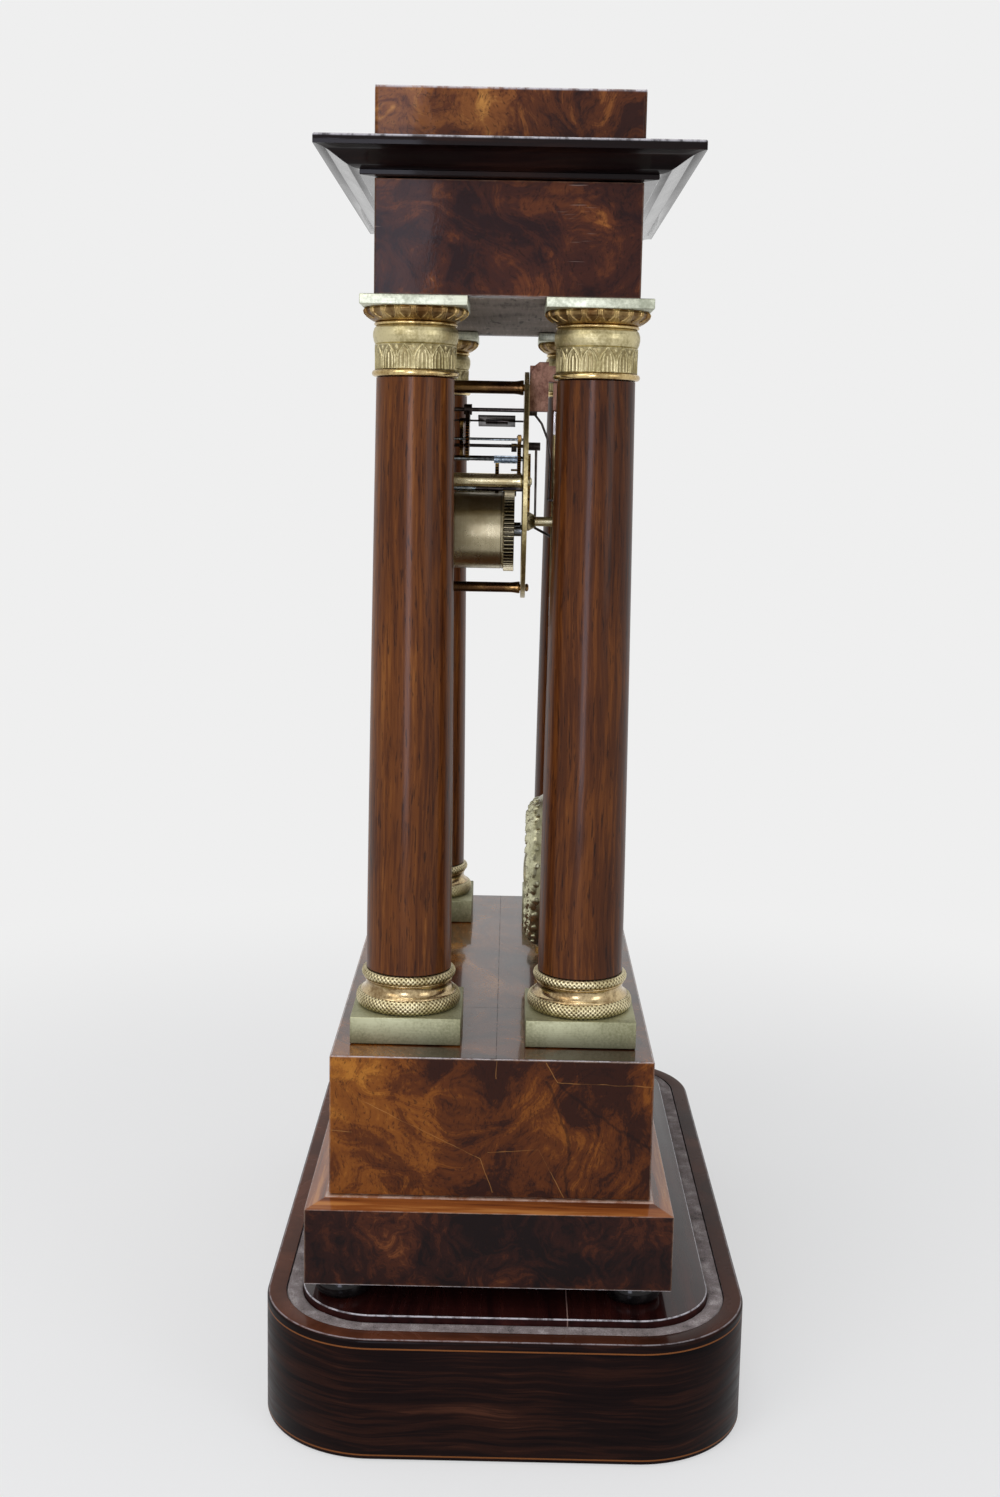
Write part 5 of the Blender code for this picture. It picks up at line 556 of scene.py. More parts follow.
def wheel_metal(node_name, arbor_reach, pinions=(), teeth=None):
    """Brass wheel on a dark steel arbor, told apart by the distance from the arbor's line.

    pinions holds (y from, y to, reach) of bright leaves cut in the arbor."""
    low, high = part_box(node_name)
    centre = (0.5 * (low.x + high.x), 0.0, 0.5 * (low.z + high.z))
    s = Shade(node_name + "_metal", rough=0.3, metallic=1.0)
    away = s.flat_distance(centre)
    tarnish = s.noise(s.place, 90.0, 5.0, 0.62)
    grain = s.noise(s.place, 1100.0, 3.0, 0.6)
    tone = s.mul_add(grain, 0.3, s.times(tarnish, 0.7))
    yellow = s.ramp(tone, ((0.36, rgb(116, 84, 44)), (0.60, rgb(196, 160, 98))))
    circles = s.math("SINE", s.times(away, TAU / (0.45 * MM)))
    yellow = s.mix(s.span(circles, 0.2, 1.0, 0.0, 0.18), yellow, rgb(104, 76, 42))
    grey = s.ramp(s.noise(s.mapped((1.0, 0.05, 1.0)), 600.0, 4.0), ((0.32, rgb(34, 29, 30)), (0.66, rgb(92, 84, 82))))
    for start, end, reach in pinions:
        inside = s.times(s.math("GREATER_THAN", s.axis(1), start), s.math("LESS_THAN", s.axis(1), end))
        bright = s.times(inside, s.math("LESS_THAN", away, reach))
        leaf = s.ramp(s.noise(s.place, 700.0, 3.0), ((0.3, rgb(120, 132, 142)), (0.7, rgb(206, 218, 226))))
        grey = s.mix(bright, grey, leaf)
    # Painted shade between the wheel's teeth.
    if teeth is not None:
        yellow = painted_tooth_shade(s, yellow, centre, 0.5 * (high.x - low.x) - teeth, 0.5 * (high.x - low.x))
    s.colour(s.mix(s.math("LESS_THAN", away, arbor_reach), yellow, grey))
    s.rough(s.span(tone, 0.3, 0.7, 0.40, 0.24))
    s.bump(s.mul_add(circles, 0.02, s.times(grain, 0.03)), 0.0006, 0.6, coat=False)
    return s.mat


BRASS_PALE = brass("pale_brass_aged", rgb(128, 127, 98), rgb(168, 167, 137), (0.50, 0.62), 30.0, 0.35,
                   brushed=(60.0, 60.0, 2600.0), fine=0.3)
# A brighter copy of the pale brass for the abaci: painted light, as they read brighter than the base squares of the
# same brass.
BRASS_ABACUS_LIT = brass("abacus_brass_lit", rgb(158, 161, 142), rgb(220, 222, 202), (0.44, 0.56), 50.0, 0.45,
                     brushed=(60.0, 60.0, 2600.0), fine=0.3)
BRASS_RING = brass("knurled_brass", rgb(160, 146, 106), rgb(216, 204, 164), (0.32, 0.44), 70.0, 0.15,
                   relief=rgb(70, 50, 24))
BRASS_SCOTIA = brass("hollow_brass", rgb(130, 106, 72), rgb(206, 184, 142), (0.16, 0.28), 60.0, 0.3)
BRASS_LEAF = brass("leaf_band_brass", rgb(150, 138, 98), rgb(206, 194, 152), (0.38, 0.5), 80.0, 0.25,
                   relief=rgb(100, 84, 50))
BRASS_BEAD = brass("bead_gilt_brass", rgb(146, 118, 74), rgb(216, 192, 138), (0.18, 0.32), 70.0, 0.3,
                   relief=rgb(70, 44, 22))
BRASS_GADROON = brass("gadroon_brass", rgb(132, 100, 58), rgb(200, 172, 116), (0.28, 0.40), 70.0, 0.3,
                      relief=rgb(70, 42, 22))
# A darker copy of the pillar brass: painted shade for the top and low pillars.
BRASS_PILLAR_SHADED = brass("pillar_brass_shaded", rgb(84, 58, 36), rgb(140, 108, 66), (0.18, 0.28), 40.0, 0.3, fine=0.1,
                     speck=0.1)
BRASS_PILLAR_PALE = brass("pillar_brass_pale", rgb(164, 148, 110), rgb(224, 214, 178), (0.2, 0.3), 40.0, 0.15,
                          fine=0.1, speck=0.1)
BRASS_WHEEL = brass("wheel_brass", rgb(142, 106, 54), rgb(212, 174, 104), (0.2, 0.34), 90.0, 0.25)
BRASS_COCK = brass("cock_bronze", rgb(86, 58, 47), rgb(130, 98, 82), (0.26, 0.42), 90.0, 0.3,
                   brushed=(80.0, 900.0, 80.0))
BRASS_BOB = brass("bob_brass", rgb(164, 161, 129), rgb(212, 209, 176), (0.24, 0.40), 120.0, 0.14,
                  relief=rgb(98, 92, 66))
BRASS_RIM = brass("dial_ring_brass", rgb(140, 118, 66), rgb(206, 186, 128), (0.2, 0.34), 50.0, 0.35,
                  rings=((0.0, 0.0, MOVEMENT_Z), 0.8 * MM))
BRASS_BEZEL = brass("bezel_gilt", rgb(156, 122, 68), rgb(222, 192, 126), (0.14, 0.26), 60.0, 0.3,
                    relief=rgb(92, 60, 30))
BRASS_BELL = brass("bell_metal_grey", rgb(112, 108, 96), rgb(176, 170, 152), (0.22, 0.36), 40.0, 0.3,
                   rings=((BELL_CENTRE[0], 0.0, MOVEMENT_Z + BELL_CENTRE[1]), 0.6 * MM))
STEEL = steel("bright_steel", rgb(96, 100, 106), rgb(190, 196, 202))
STEEL_DARK = steel("dark_steel", rgb(38, 33, 34), rgb(98, 90, 88), (0.26, 0.4))
STEEL_ROD = steel("rod_steel", rgb(110, 104, 102), rgb(196, 190, 186), (0.22, 0.36), (900.0, 900.0, 30.0))
BLUED = steel("blued_hand_steel", rgb(12, 17, 46), rgb(34, 54, 118), (0.14, 0.26))


def enamel():
    """White enamel with faint clouding and fine cracks."""
    s = Shade("dial_enamel", rough=0.2, coat=0.6, coat_rough=0.03)
    cloud = s.noise(s.place, 26.0, 3.0)
    colour = s.ramp(cloud, ((0.35, rgb(222, 218, 204)), (0.65, rgb(234, 231, 220))))
    crack = s.apart(s.noise(s.place, 24.0, 3.0, 0.5, 1.5), 0.5)
    few = s.span(s.noise(s.place, 11.0, 2.0), 0.56, 0.62)
    s.colour(s.mix(s.times(s.span(crack, 0.0, 0.0022, 0.4, 0.0), few), colour, rgb(120, 108, 92)))
    s.bump(s.noise(s.place, 40.0, 2.0), 0.0004, 0.3)
    return s.mat


def ink():
    """Black enamel of the dial's figures."""
    s = Shade("dial_black_enamel", rough=0.3, coat=0.5)
    s.colour(s.ramp(s.noise(s.place, 700.0, 3.0), ((0.3, rgb(14, 13, 16)), (0.7, rgb(34, 32, 36)))))
    return s.mat


def glass():
    """Clear glass with a faint waviness."""
    s = Shade("bezel_glass_clear", rough=0.02)
    s.set({"Transmission Weight": 1.0, "IOR": 1.45})
    s.colour(s.ramp(s.noise(s.place, 18.0, 2.0), ((0.3, rgb(242, 247, 245)), (0.7, rgb(250, 252, 250)))))
    s.bump(s.noise(s.place, 12.0, 1.0), 0.0003, 0.15, coat=False)
    return s.mat


EBONY, FELT, BOARD, ENAMEL, INK, GLASS = ebony(), felt(), bare_board(), enamel(), ink(), glass()


# Shapes

def mesh_piece(name, points, faces, material, body, replaced=(), relief=None, sharp=35.0):
    """A piece from points and faces, smooth up to an angle, that rides a body and stands for nodes."""
    mesh = bpy.data.meshes.new(name)
    mesh.from_pydata([tuple(p) for p in points], [], faces)
    if relief is not None:
        layer = mesh.attributes.new("relief", "FLOAT", "POINT")
        layer.data.foreach_set("value", np.asarray(relief, np.float32).ravel())
    mesh.validate()
    shape = bmesh.new()
    shape.from_mesh(mesh)
    bmesh.ops.recalc_face_normals(shape, faces=shape.faces)
    shape.to_mesh(mesh)
    shape.free()
    mesh.materials.append(material)
    piece = bpy.data.objects.new(name, mesh)
    bpy.context.scene.collection.objects.link(piece)
    mesh.shade_smooth()
    mesh.set_sharp_from_angle(angle=math.radians(sharp))
    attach(piece, body)
    if replaced:
        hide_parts(*replaced)
    return piece


def smooth_rows(profile, step):
    """A profile with points added evenly between its rows."""
    rows = []
    for (r0, z0), (r1, z1) in zip(profile, profile[1:]):
        count = max(1, int(math.ceil(math.hypot(r1 - r0, z1 - z0) / step)))
        rows += [(r0 + (r1 - r0) * i / count, z0 + (z1 - z0) * i / count) for i in range(count)]
    rows.append(profile[-1])
    return rows


def curve_rows(profile, count=6):
    """A profile drawn out as a smooth curve through its points."""
    rows = []
    pts = [profile[0]] + list(profile) + [profile[-1]]
    for a, b, c, d in zip(pts, pts[1:], pts[2:], pts[3:]):
        for i in range(count):
            t = i / count
            rows.append(tuple(0.5 * (2 * b[k] + (c[k] - a[k]) * t + (2 * a[k] - 5 * b[k] + 4 * c[k] - d[k]) * t * t
                                     + (3 * b[k] - a[k] - 3 * c[k] + d[k]) * t ** 3) for k in (0, 1)))
    rows.append(profile[-1])
    return rows


def lathe(rows, segments, relief=None, closed=False):
    """Points and faces of a turned form about Z: rows of (radius, height).

    relief(turn, height, radius) gives (change of radius, share of relief)."""
    points, shares = [], []
    for radius, height in rows:
        for i in range(segments):
            turn = TAU * i / segments
            move, share = relief(turn, height, radius) if relief else (0.0, 1.0)
            r = max(radius + move, 0.0)
            points.append((r * math.cos(turn), r * math.sin(turn), height))
            shares.append(share)
    faces = []
    count = len(rows)
    for row in range(count if closed else count - 1):
        below = (row + 1) % count
        for i in range(segments):
            j = (i + 1) % segments
            faces.append((row * segments + i, below * segments + i, below * segments + j, row * segments + j))
    if not closed:
        for row, flip in ((0, False), (count - 1, True)):
            if rows[row][0] > 1e-6:
                ring = [row * segments + i for i in range(segments)]
                faces.append(tuple(reversed(ring)) if flip else tuple(ring))
    return points, faces, shares


def upright(points, centre):
    return [(x + centre[0], y + centre[1], z + centre[2]) for x, y, z in points]


def forward(points, centre=(0.0, 0.0)):
    """Points of the movement, drawn from the front with height toward the dial, as world points."""
    return [(x + centre[0], CASE_Y - z, y + MOVEMENT_Z + centre[1]) for x, y, z in points]


def spin(name, rows, centre, material, body, replaced=(), segments=96, closed=False, sharp=35.0,
         relief=None):
    """A turned piece of the movement, its axis toward the dial through a centre (x, height)."""
    p, f, shares = lathe(rows, segments, relief, closed)
    return mesh_piece(name, forward(p, centre), f, material, body, replaced,
                      relief=shares if relief else None, sharp=sharp)


def box_points(low, high, bevel):
    """Points and faces of a box with rounded edges."""
    shape = bmesh.new()
    bmesh.ops.create_cube(shape, size=1.0)
    bmesh.ops.scale(shape, vec=Vector([high[i] - low[i] for i in range(3)]), verts=shape.verts)
    bmesh.ops.translate(shape, vec=Vector([0.5 * (high[i] + low[i]) for i in range(3)]), verts=shape.verts)
    bmesh.ops.bevel(shape, geom=list(shape.edges), offset=bevel, segments=2, profile=0.5, affect="EDGES")
    shape.verts.index_update()
    points = [tuple(v.co) for v in shape.verts]
    faces = [tuple(v.index for v in f.verts) for f in shape.faces]
    shape.free()
    return points, faces


def join(*parts):
    """Several (points, faces) pairs as one."""
    points, faces = [], []
    for p, f in parts:
        start = len(points)
        points += list(p)
        faces += [tuple(i + start for i in face) for face in f]
    return points, faces


def flat_points(loops, thickness, rear, chamfer=0.0):
    """Points and faces of a plate cut to closed outlines, from height rear, with chamfered edges."""
    curve = bpy.data.curves.new("outline", "CURVE")
    curve.dimensions = "2D"
    curve.fill_mode = "BOTH"
    curve.extrude = 0.5 * thickness / MM - chamfer / MM
    curve.bevel_depth = chamfer / MM
    curve.bevel_resolution = 0
    curve.offset = -chamfer / MM
    for loop in loops:
        spline = curve.splines.new("POLY")
        spline.points.add(len(loop) - 1)
        spline.use_cyclic_u = True
        for point, (x, y) in zip(spline.points, loop):
            point.co = (x / MM, y / MM, 0.0, 1.0)
    drawing = bpy.data.objects.new("outline", curve)
    bpy.context.scene.collection.objects.link(drawing)
    bpy.context.view_layer.update()
    mesh = bpy.data.meshes.new_from_object(drawing.evaluated_get(bpy.context.evaluated_depsgraph_get()))
    bpy.data.objects.remove(drawing, do_unlink=True)
    bpy.data.curves.remove(curve)
    shape = bmesh.new()
    shape.from_mesh(mesh)
    bmesh.ops.remove_doubles(shape, verts=shape.verts, dist=0.001)
    shape.verts.index_update()
    lift = rear + 0.5 * thickness
    points = [(v.co.x * MM, v.co.y * MM, v.co.z * MM + lift) for v in shape.verts]
    faces = [tuple(v.index for v in f.verts) for f in shape.faces]
    shape.free()
    bpy.data.meshes.remove(mesh)
    return points, faces


def circle(radius, sides, centre=(0.0, 0.0)):
    return [(centre[0] + radius * math.cos(TAU * i / sides), centre[1] + radius * math.sin(TAU * i / sides))
            for i in range(sides)]


SMOOTH_UP_TO = math.radians(62.0)
EASE_FROM = math.radians(40.0)


def smoothing():
    """A node group that welds a solid's faces and shades it smooth up to an angle."""
    tree = bpy.data.node_groups.new("smooth_solid", "GeometryNodeTree")
    tree.interface.new_socket("Geometry", in_out="INPUT", socket_type="NodeSocketGeometry")
    tree.interface.new_socket("Geometry", in_out="OUTPUT", socket_type="NodeSocketGeometry")
    start = tree.nodes.new("NodeGroupInput")
    end = tree.nodes.new("NodeGroupOutput")
    weld = tree.nodes.new("GeometryNodeMergeByDistance")
    weld.inputs["Distance"].default_value = WELD
    angle = tree.nodes.new("GeometryNodeInputMeshEdgeAngle")
    steep = tree.nodes.new("FunctionNodeCompare")
    steep.data_type = "FLOAT"
    steep.operation = "GREATER_THAN"
    steep.inputs[1].default_value = SMOOTH_UP_TO
    tree.links.new(angle.outputs["Unsigned Angle"], steep.inputs[0])
    normals = tree.nodes.new("GeometryNodeSetMeshNormal")
    normals.mode = "SHARPNESS"
    normals.inputs["Remove Custom"].default_value = True
    tree.links.new(start.outputs[0], weld.inputs["Geometry"])
    tree.links.new(weld.outputs["Geometry"], normals.inputs["Mesh"])
    tree.links.new(steep.outputs["Result"], normals.inputs["Edge Sharpness"])
    tree.links.new(normals.outputs["Mesh"], end.inputs[0])
    return tree


SMOOTHING = smoothing()


def dress(name, material, bevel=0.0, segments=2, smooth=False):
    """A better material for a node that is kept, with its edges eased or its turned faces smooth."""
    node = NODES[name]
    for slot in node.material_slots:
        slot.material = material
    if smooth:
        modifier = node.modifiers.new("smooth", "NODES")
        modifier.node_group = SMOOTHING
    if bevel:
        if not smooth:
            weld = node.modifiers.new("weld", "WELD")
            weld.merge_threshold = WELD
        ease = node.modifiers.new("edge", "BEVEL")
        ease.width = bevel
        ease.segments = segments
        ease.limit_method = "ANGLE"
        ease.angle_limit = EASE_FROM
    return node


# Stand and feet

STAND_HALF = (165.5 * MM, 98.6 * MM)
STAND_CORNER = 46.0 * MM
RIM_TOP = 51.0 * MM
RIM_WIDTH = 7.9 * MM
RIM_ROUND = 1.6 * MM
GROOVE_FLOOR = 49.1 * MM
PLATFORM_INSET = 14.9 * MM


def rounded_ring(inset, height, steps=28):
    """The stand's rounded oblong, drawn in from its side."""
    points = []
    radius = STAND_CORNER - inset
    for sign_x, sign_y, start in ((1, 1, 0.0), (-1, 1, 0.25), (-1, -1, 0.5), (1, -1, 0.75)):
        cx = sign_x * (STAND_HALF[0] - STAND_CORNER)
        cy = sign_y * (STAND_HALF[1] - STAND_CORNER)
        for i in range(steps + 1):
            angle = TAU * (start + 0.25 * i / steps)
            points.append((cx + radius * math.cos(angle), cy + radius * math.sin(angle), height))
    return points


def loft(rings, closed=False):
    """Points and faces through rings of equal point counts, capped unless it closes on itself."""
    count = len(rings[0])
    points = [p for ring in rings for p in ring]
    faces = []
    for row in range(len(rings) if closed else len(rings) - 1):
        above = (row + 1) % len(rings)
        for i in range(count):
            j = (i + 1) % count
            faces.append((row * count + i, row * count + j, above * count + j, above * count + i))
    if not closed:
        faces.append(tuple(reversed(range(count))))
        faces.append(tuple((len(rings) - 1) * count + i for i in range(count)))
    return points, faces


def quarter(inset, top, radius, steps=8):
    """Rows of a rounded upper edge: inset and height from the side to the top."""
    return [(inset + radius * (1.0 - math.cos(0.25 * TAU * i / steps)),
             top - radius * (1.0 - math.sin(0.25 * TAU * i / steps))) for i in range(steps + 1)]


def stand():
    side = mm([(1.2, 0.0), (0.35, 0.35), (0.0, 1.2)]) + quarter(0.0, RIM_TOP, RIM_ROUND)
    side += [(RIM_WIDTH - 0.4 * MM, RIM_TOP), (RIM_WIDTH - 0.1 * MM, RIM_TOP - 0.1 * MM),
             (RIM_WIDTH, RIM_TOP - 0.4 * MM), (RIM_WIDTH, GROOVE_FLOOR), (PLATFORM_INSET + 2.0 * MM, GROOVE_FLOOR)]
    p, f = loft([rounded_ring(inset, height) for inset, height in side])
    mesh_piece("stand_rim_and_side", p, f, WOOD_STAND, "case", ("dome_stand",))
    top = [(PLATFORM_INSET, GROOVE_FLOOR - 0.5 * MM)] + quarter(PLATFORM_INSET, STAND_TOP, 0.6 * MM, 4)
    p, f = loft([rounded_ring(inset, height) for inset, height in top])
    mesh_piece("stand_platform", p, f, WOOD_FLOOR, "case", ("dome_stand",))


FELT_LOW, FELT_HIGH = 49.4 * MM, 50.8 * MM
FELT_NAP = 0.35 * MM


def felt_strip():
    """Worn strip in the groove, its nap uneven."""
    inset = mm((8.2, 8.5, 10.0, 11.4, 12.9, 14.3, 14.6))
    rings = [rounded_ring(inset[0], FELT_LOW, 40)]
    for i, across in enumerate(inset):
        edge = i in (0, len(inset) - 1)
        ring = []
        for x, y, z in rounded_ring(across, FELT_HIGH - (0.5 * MM if edge else 0.15 * MM), 40):
            rise = 0.0 if edge else FELT_NAP * noise.noise(Vector((x, y, i * 0.01)) * 120.0)
            ring.append((x, y, min(FELT_HIGH, z + rise)))
        rings.append(ring)
    rings.append(rounded_ring(inset[-1], FELT_LOW, 40))
    p, f = loft(rings, closed=True)
    mesh_piece("groove_felt_nap", p, f, FELT, "case", ("groove_felt",), sharp=60.0)


def stood(name):
    """A node's box, its height, and the middle of its underside."""
    low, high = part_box(name)
    return low, high, high.z - low.z, (0.5 * (low.x + high.x), 0.5 * (low.y + high.y), low.z)


FOOT_RADIUS = 11.5 * MM


def foot(name):
    _, _, tall, middle = stood(name)
    rows = [(0.0, tall)]
    for i in range(25):
        angle = math.pi * i / 24
        rows.append((FOOT_RADIUS * (0.78 + 0.22 * math.sin(angle) ** 0.8), 0.5 * tall * (1.0 + math.cos(angle))))
    rows.append((0.0, 0.0))
    p, f, _ = lathe(rows, 72)
    mesh_piece(name + "_bun", upright(p, middle), f, EBONY, "case", (name,))


stand()
felt_strip()
CORNERS = [f"{a}_{b}" for a in ("front", "back") for b in ("left", "right")]
for corner in CORNERS:
    foot("foot_" + corner)


# Columns

def half_round_rows(radius, bottom, height, bulge, steps):
    rows = []
    for i in range(steps + 1):
        angle = math.pi * i / steps
        rows.append((radius * (1.0 - bulge) + radius * bulge * math.sin(angle),
                     bottom + 0.5 * height * (1.0 + math.cos(angle))))
    return rows


KNURL_DEPTH = 0.40 * MM
KNURL_RADIUS = 21.0 * MM
BASE_SQUARE_HEIGHT = 11.2 * MM
ABACUS_HEIGHT = 3.9 * MM


def knurl(count):
    """Crossed fine grooves, so many round the ring each way."""
    def relief(turn, height, radius):
        pitch = TAU * KNURL_RADIUS / count
        a, b = turn * count, height / pitch * TAU
        cells = 0.5 + 0.25 * (math.cos(a + b) + math.cos(a - b))
        return -KNURL_DEPTH * (1.0 - cells), max(0.0, min(1.0, 1.7 * cells - 0.25))
    return relief


LOWER_RING = lathe([(18.0 * MM, 16.9 * MM)] + half_round_rows(21.85 * MM, 11.25 * MM, 6.1 * MM, 0.10, 40)
                   + [(19.0 * MM, 11.1 * MM)], 640, knurl(69))
UPPER_RING = lathe([(17.0 * MM, 26.9 * MM)] + half_round_rows(19.55 * MM, 23.1 * MM, 3.8 * MM, 0.09, 28)
                   + [(17.6 * MM, 23.1 * MM)], 560, knurl(63))
HOLLOW = lathe(curve_rows(mm([(17.8, 23.2), (18.5, 22.9), (18.0, 21.8), (17.8, 20.2), (18.4, 18.7), (19.6, 17.7),
                              (19.9, 17.0)]), 5), 144)


def column_base(name):
    low, high, _, middle = stood(name)
    p, f = box_points(low, (high.x, high.y, low.z + BASE_SQUARE_HEIGHT), 0.35 * MM)
    mesh_piece(name + "_square", p, f, BRASS_PALE, "case", (name,), sharp=50.0)
    for label, (p, f, shares), metal in (("lower_ring", LOWER_RING, BRASS_RING),
                                         ("upper_ring", UPPER_RING, BRASS_RING),
                                         ("hollow", HOLLOW, BRASS_SCOTIA)):
        mesh_piece(f"{name}_{label}", upright(p, middle), f, metal, "case", (name,), relief=shares,
                   sharp=60.0)


BAND_LOW, BAND_HIGH = 2.6 * MM, 12.6 * MM
CUSHION_TOP = 19.6 * MM
BEAD_TOP = 21.0 * MM
ECHINUS_TOP = 26.4 * MM
LEAVES = 14
GADROONS = 20


def leaf_relief(turn, height, radius):
    """Lancet leaves with a second line inside each and a bud between their points."""
    if not BAND_LOW < height < BAND_HIGH:
        return 0.0, 1.0
    phase = abs((turn * LEAVES / TAU) % 1.0 - 0.5)
    up = (height - BAND_LOW) / (BAND_HIGH - BAND_LOW)
    width = 0.43 * (1.0 - max(0.0, (up - 0.42) / 0.52) ** 1.7) if up < 0.94 else 0.0
    outline = math.exp(-((phase - width) / 0.042) ** 2)
    inner = 0.7 * math.exp(-((phase - 0.56 * width) / 0.040) ** 2) if up < 0.74 else 0.0
    rib = 0.8 * math.exp(-(phase / 0.035) ** 2) if up < 0.62 else 0.0
    bud = math.exp(-(((phase - 0.5) / 0.075) ** 2 + ((up - 0.84) / 0.07) ** 2))
    stem = 0.6 * math.exp(-((phase - 0.5) / 0.03) ** 2) if up < 0.72 else 0.0
    border = math.exp(-((up - 0.975) / 0.03) ** 2) + math.exp(-((up - 0.02) / 0.03) ** 2)
    share = min(1.0, max(outline, inner, rib, bud, stem, border))
    grain = 0.10 * noise.noise(Vector((turn * 60.0, height * 4000.0, 0.0)))
    return (0.42 * share + 0.4 * grain * (1.0 - share)) * MM, 0.30 + 0.70 * share + grain


def gadroon_relief(turn, height, radius):
    """Hollow flutes with rounded lower ends and double rims."""
    if not BEAD_TOP + 0.3 * MM < height < ECHINUS_TOP - 0.2 * MM:
        return 0.0, 1.0
    phase = abs((turn * GADROONS / TAU) % 1.0 - 0.5) * 2.0
    up = (height - BEAD_TOP) / (ECHINUS_TOP - BEAD_TOP)
    reach = 0.74 * min(1.0, math.sqrt(max(0.0, (up - 0.16) / 0.30)))
    inside = max(0.0, 1.0 - (phase / max(reach, 0.02)) ** 2) if reach > 0.03 else 0.0
    rim = math.exp(-((phase - reach) / 0.075) ** 2) if reach > 0.03 else 0.0
    dart = 0.8 * math.exp(-((phase - 0.95) / 0.05) ** 2)
    line = max(rim, dart)
    return (-0.60 * math.sqrt(inside) + 0.28 * line) * MM, max(0.22 + 0.16 * (1.0 - inside), line)


ECHINUS = lathe(smooth_rows([(17.0 * MM, ECHINUS_TOP + 0.3 * MM), (20.2 * MM, ECHINUS_TOP - 0.1 * MM),
                             (20.65 * MM, ECHINUS_TOP - 1.0 * MM), (20.3 * MM, ECHINUS_TOP - 2.2 * MM),
                             (19.1 * MM, ECHINUS_TOP - 3.4 * MM), (17.5 * MM, ECHINUS_TOP - 4.5 * MM),
                             (16.3 * MM, BEAD_TOP + 0.2 * MM), (15.2 * MM, BEAD_TOP)], 0.26 * MM), 600,
                gadroon_relief)
BEAD = lathe([(14.5 * MM, BEAD_TOP)] + half_round_rows(16.4 * MM, CUSHION_TOP, BEAD_TOP - CUSHION_TOP, 0.06, 14)
             + [(14.5 * MM, CUSHION_TOP)], 144)
BAND = lathe(smooth_rows([(14.8 * MM, CUSHION_TOP - 0.05 * MM), (15.6 * MM, CUSHION_TOP - 0.1 * MM),
                          (16.3 * MM, CUSHION_TOP - 0.9 * MM), (16.8 * MM, CUSHION_TOP - 2.4 * MM),
                          (16.85 * MM, CUSHION_TOP - 4.0 * MM), (16.5 * MM, BAND_HIGH + 1.3 * MM),
                          (16.1 * MM, BAND_HIGH + 0.3 * MM), (15.75 * MM, BAND_HIGH), (15.75 * MM, BAND_LOW)],
                         0.28 * MM), 520, leaf_relief)
ASTRAGAL = lathe([(15.0 * MM, BAND_LOW + 0.1 * MM)] + half_round_rows(17.2 * MM, 0.1 * MM, 2.5 * MM, 0.07, 18)
                 + [(15.5 * MM, 0.0)], 160)


def capital(name):
    low, high, _, middle = stood(name)
    p, f = box_points((low.x, low.y, high.z - ABACUS_HEIGHT), high, 0.4 * MM)
    mesh_piece(name + "_abacus", p, f, BRASS_ABACUS_LIT, "case", (name,), sharp=50.0)
    for label, (p, f, shares), metal in (("echinus", ECHINUS, BRASS_GADROON), ("bead", BEAD, BRASS_BEAD),
                                         ("leaf_band", BAND, BRASS_LEAF), ("astragal", ASTRAGAL, BRASS_BEAD)):
        mesh_piece(f"{name}_{label}", upright(p, middle), f, metal, "case", (name,), relief=shares,
                   sharp=60.0)


SHAFT_FOOT_RADIUS = 17.6 * MM
SHAFT_TAPER = 2.2 * MM


def shaft(name):
    _, _, tall, middle = stood(name)
    rows = [(0.0, tall)]
    for i in range(33):
        share = 1.0 - i / 32.0
        rows.append((SHAFT_FOOT_RADIUS - SHAFT_TAPER * share ** 1.3, tall * share))
    rows.append((0.0, 0.0))
    p, f, _ = lathe(rows, 160)
    mesh_piece(name + "_turned", upright(p, middle), f, WOOD_COLUMN, "case", (name,))


for corner in CORNERS:
    column_base("column_base_" + corner)
    shaft("column_shaft_" + corner)
    capital("capital_" + corner)


# Case

CORNICE_REACH = 21.3 * MM
CORNICE_TOP = 508.5 * MM
CORNICE_ROUND = 0.9 * MM
CYMA_FOOT = (5.3, 498.2)
CYMA_SIZE = (16.0, 6.6)


def cornice():
    """Fillet, cyma and top edge, run round with mitred corners."""
    steps = mm([(5.0, 496.3), (5.3, 496.6), (5.3, 498.1), (5.1, 498.2), (5.6, 498.25)])
    for i in range(1, 33):
        share = i / 32.0
        rise = CYMA_SIZE[1] * 0.5 * (1.0 - math.cos(math.pi * share))
        steps.append(mm((CYMA_FOOT[0] + CYMA_SIZE[0] * share, CYMA_FOOT[1] + rise)))
    steps.append((CORNICE_REACH, 505.2 * MM))
    steps += [(-inset, z) for inset, z in quarter(-CORNICE_REACH, CORNICE_TOP, CORNICE_ROUND, 6)]
    rings = []
    for out, z in steps:
        x, y = FRIEZE_HALF[0] + out, FRIEZE_HALF[1] + out
        rings.append([(-x, CASE_Y - y, z), (x, CASE_Y - y, z), (x, CASE_Y + y, z), (-x, CASE_Y + y, z)])
    p, f = loft(rings)
    mesh_piece("cornice_moulding", p, f, WOOD_CORNICE, "case", ("cornice",))


cornice()
dress("attic", WOOD_ATTIC, 0.7 * MM, 3)
dress("frieze", WOOD_FRIEZE, 0.5 * MM)
dress("soffit_board", BOARD)
dress("pedestal", WOOD_PEDESTAL, 0.35 * MM)
dress("plinth_block", WOOD_BLOCK, 0.35 * MM)


# Movement: plates, pillars and barrels

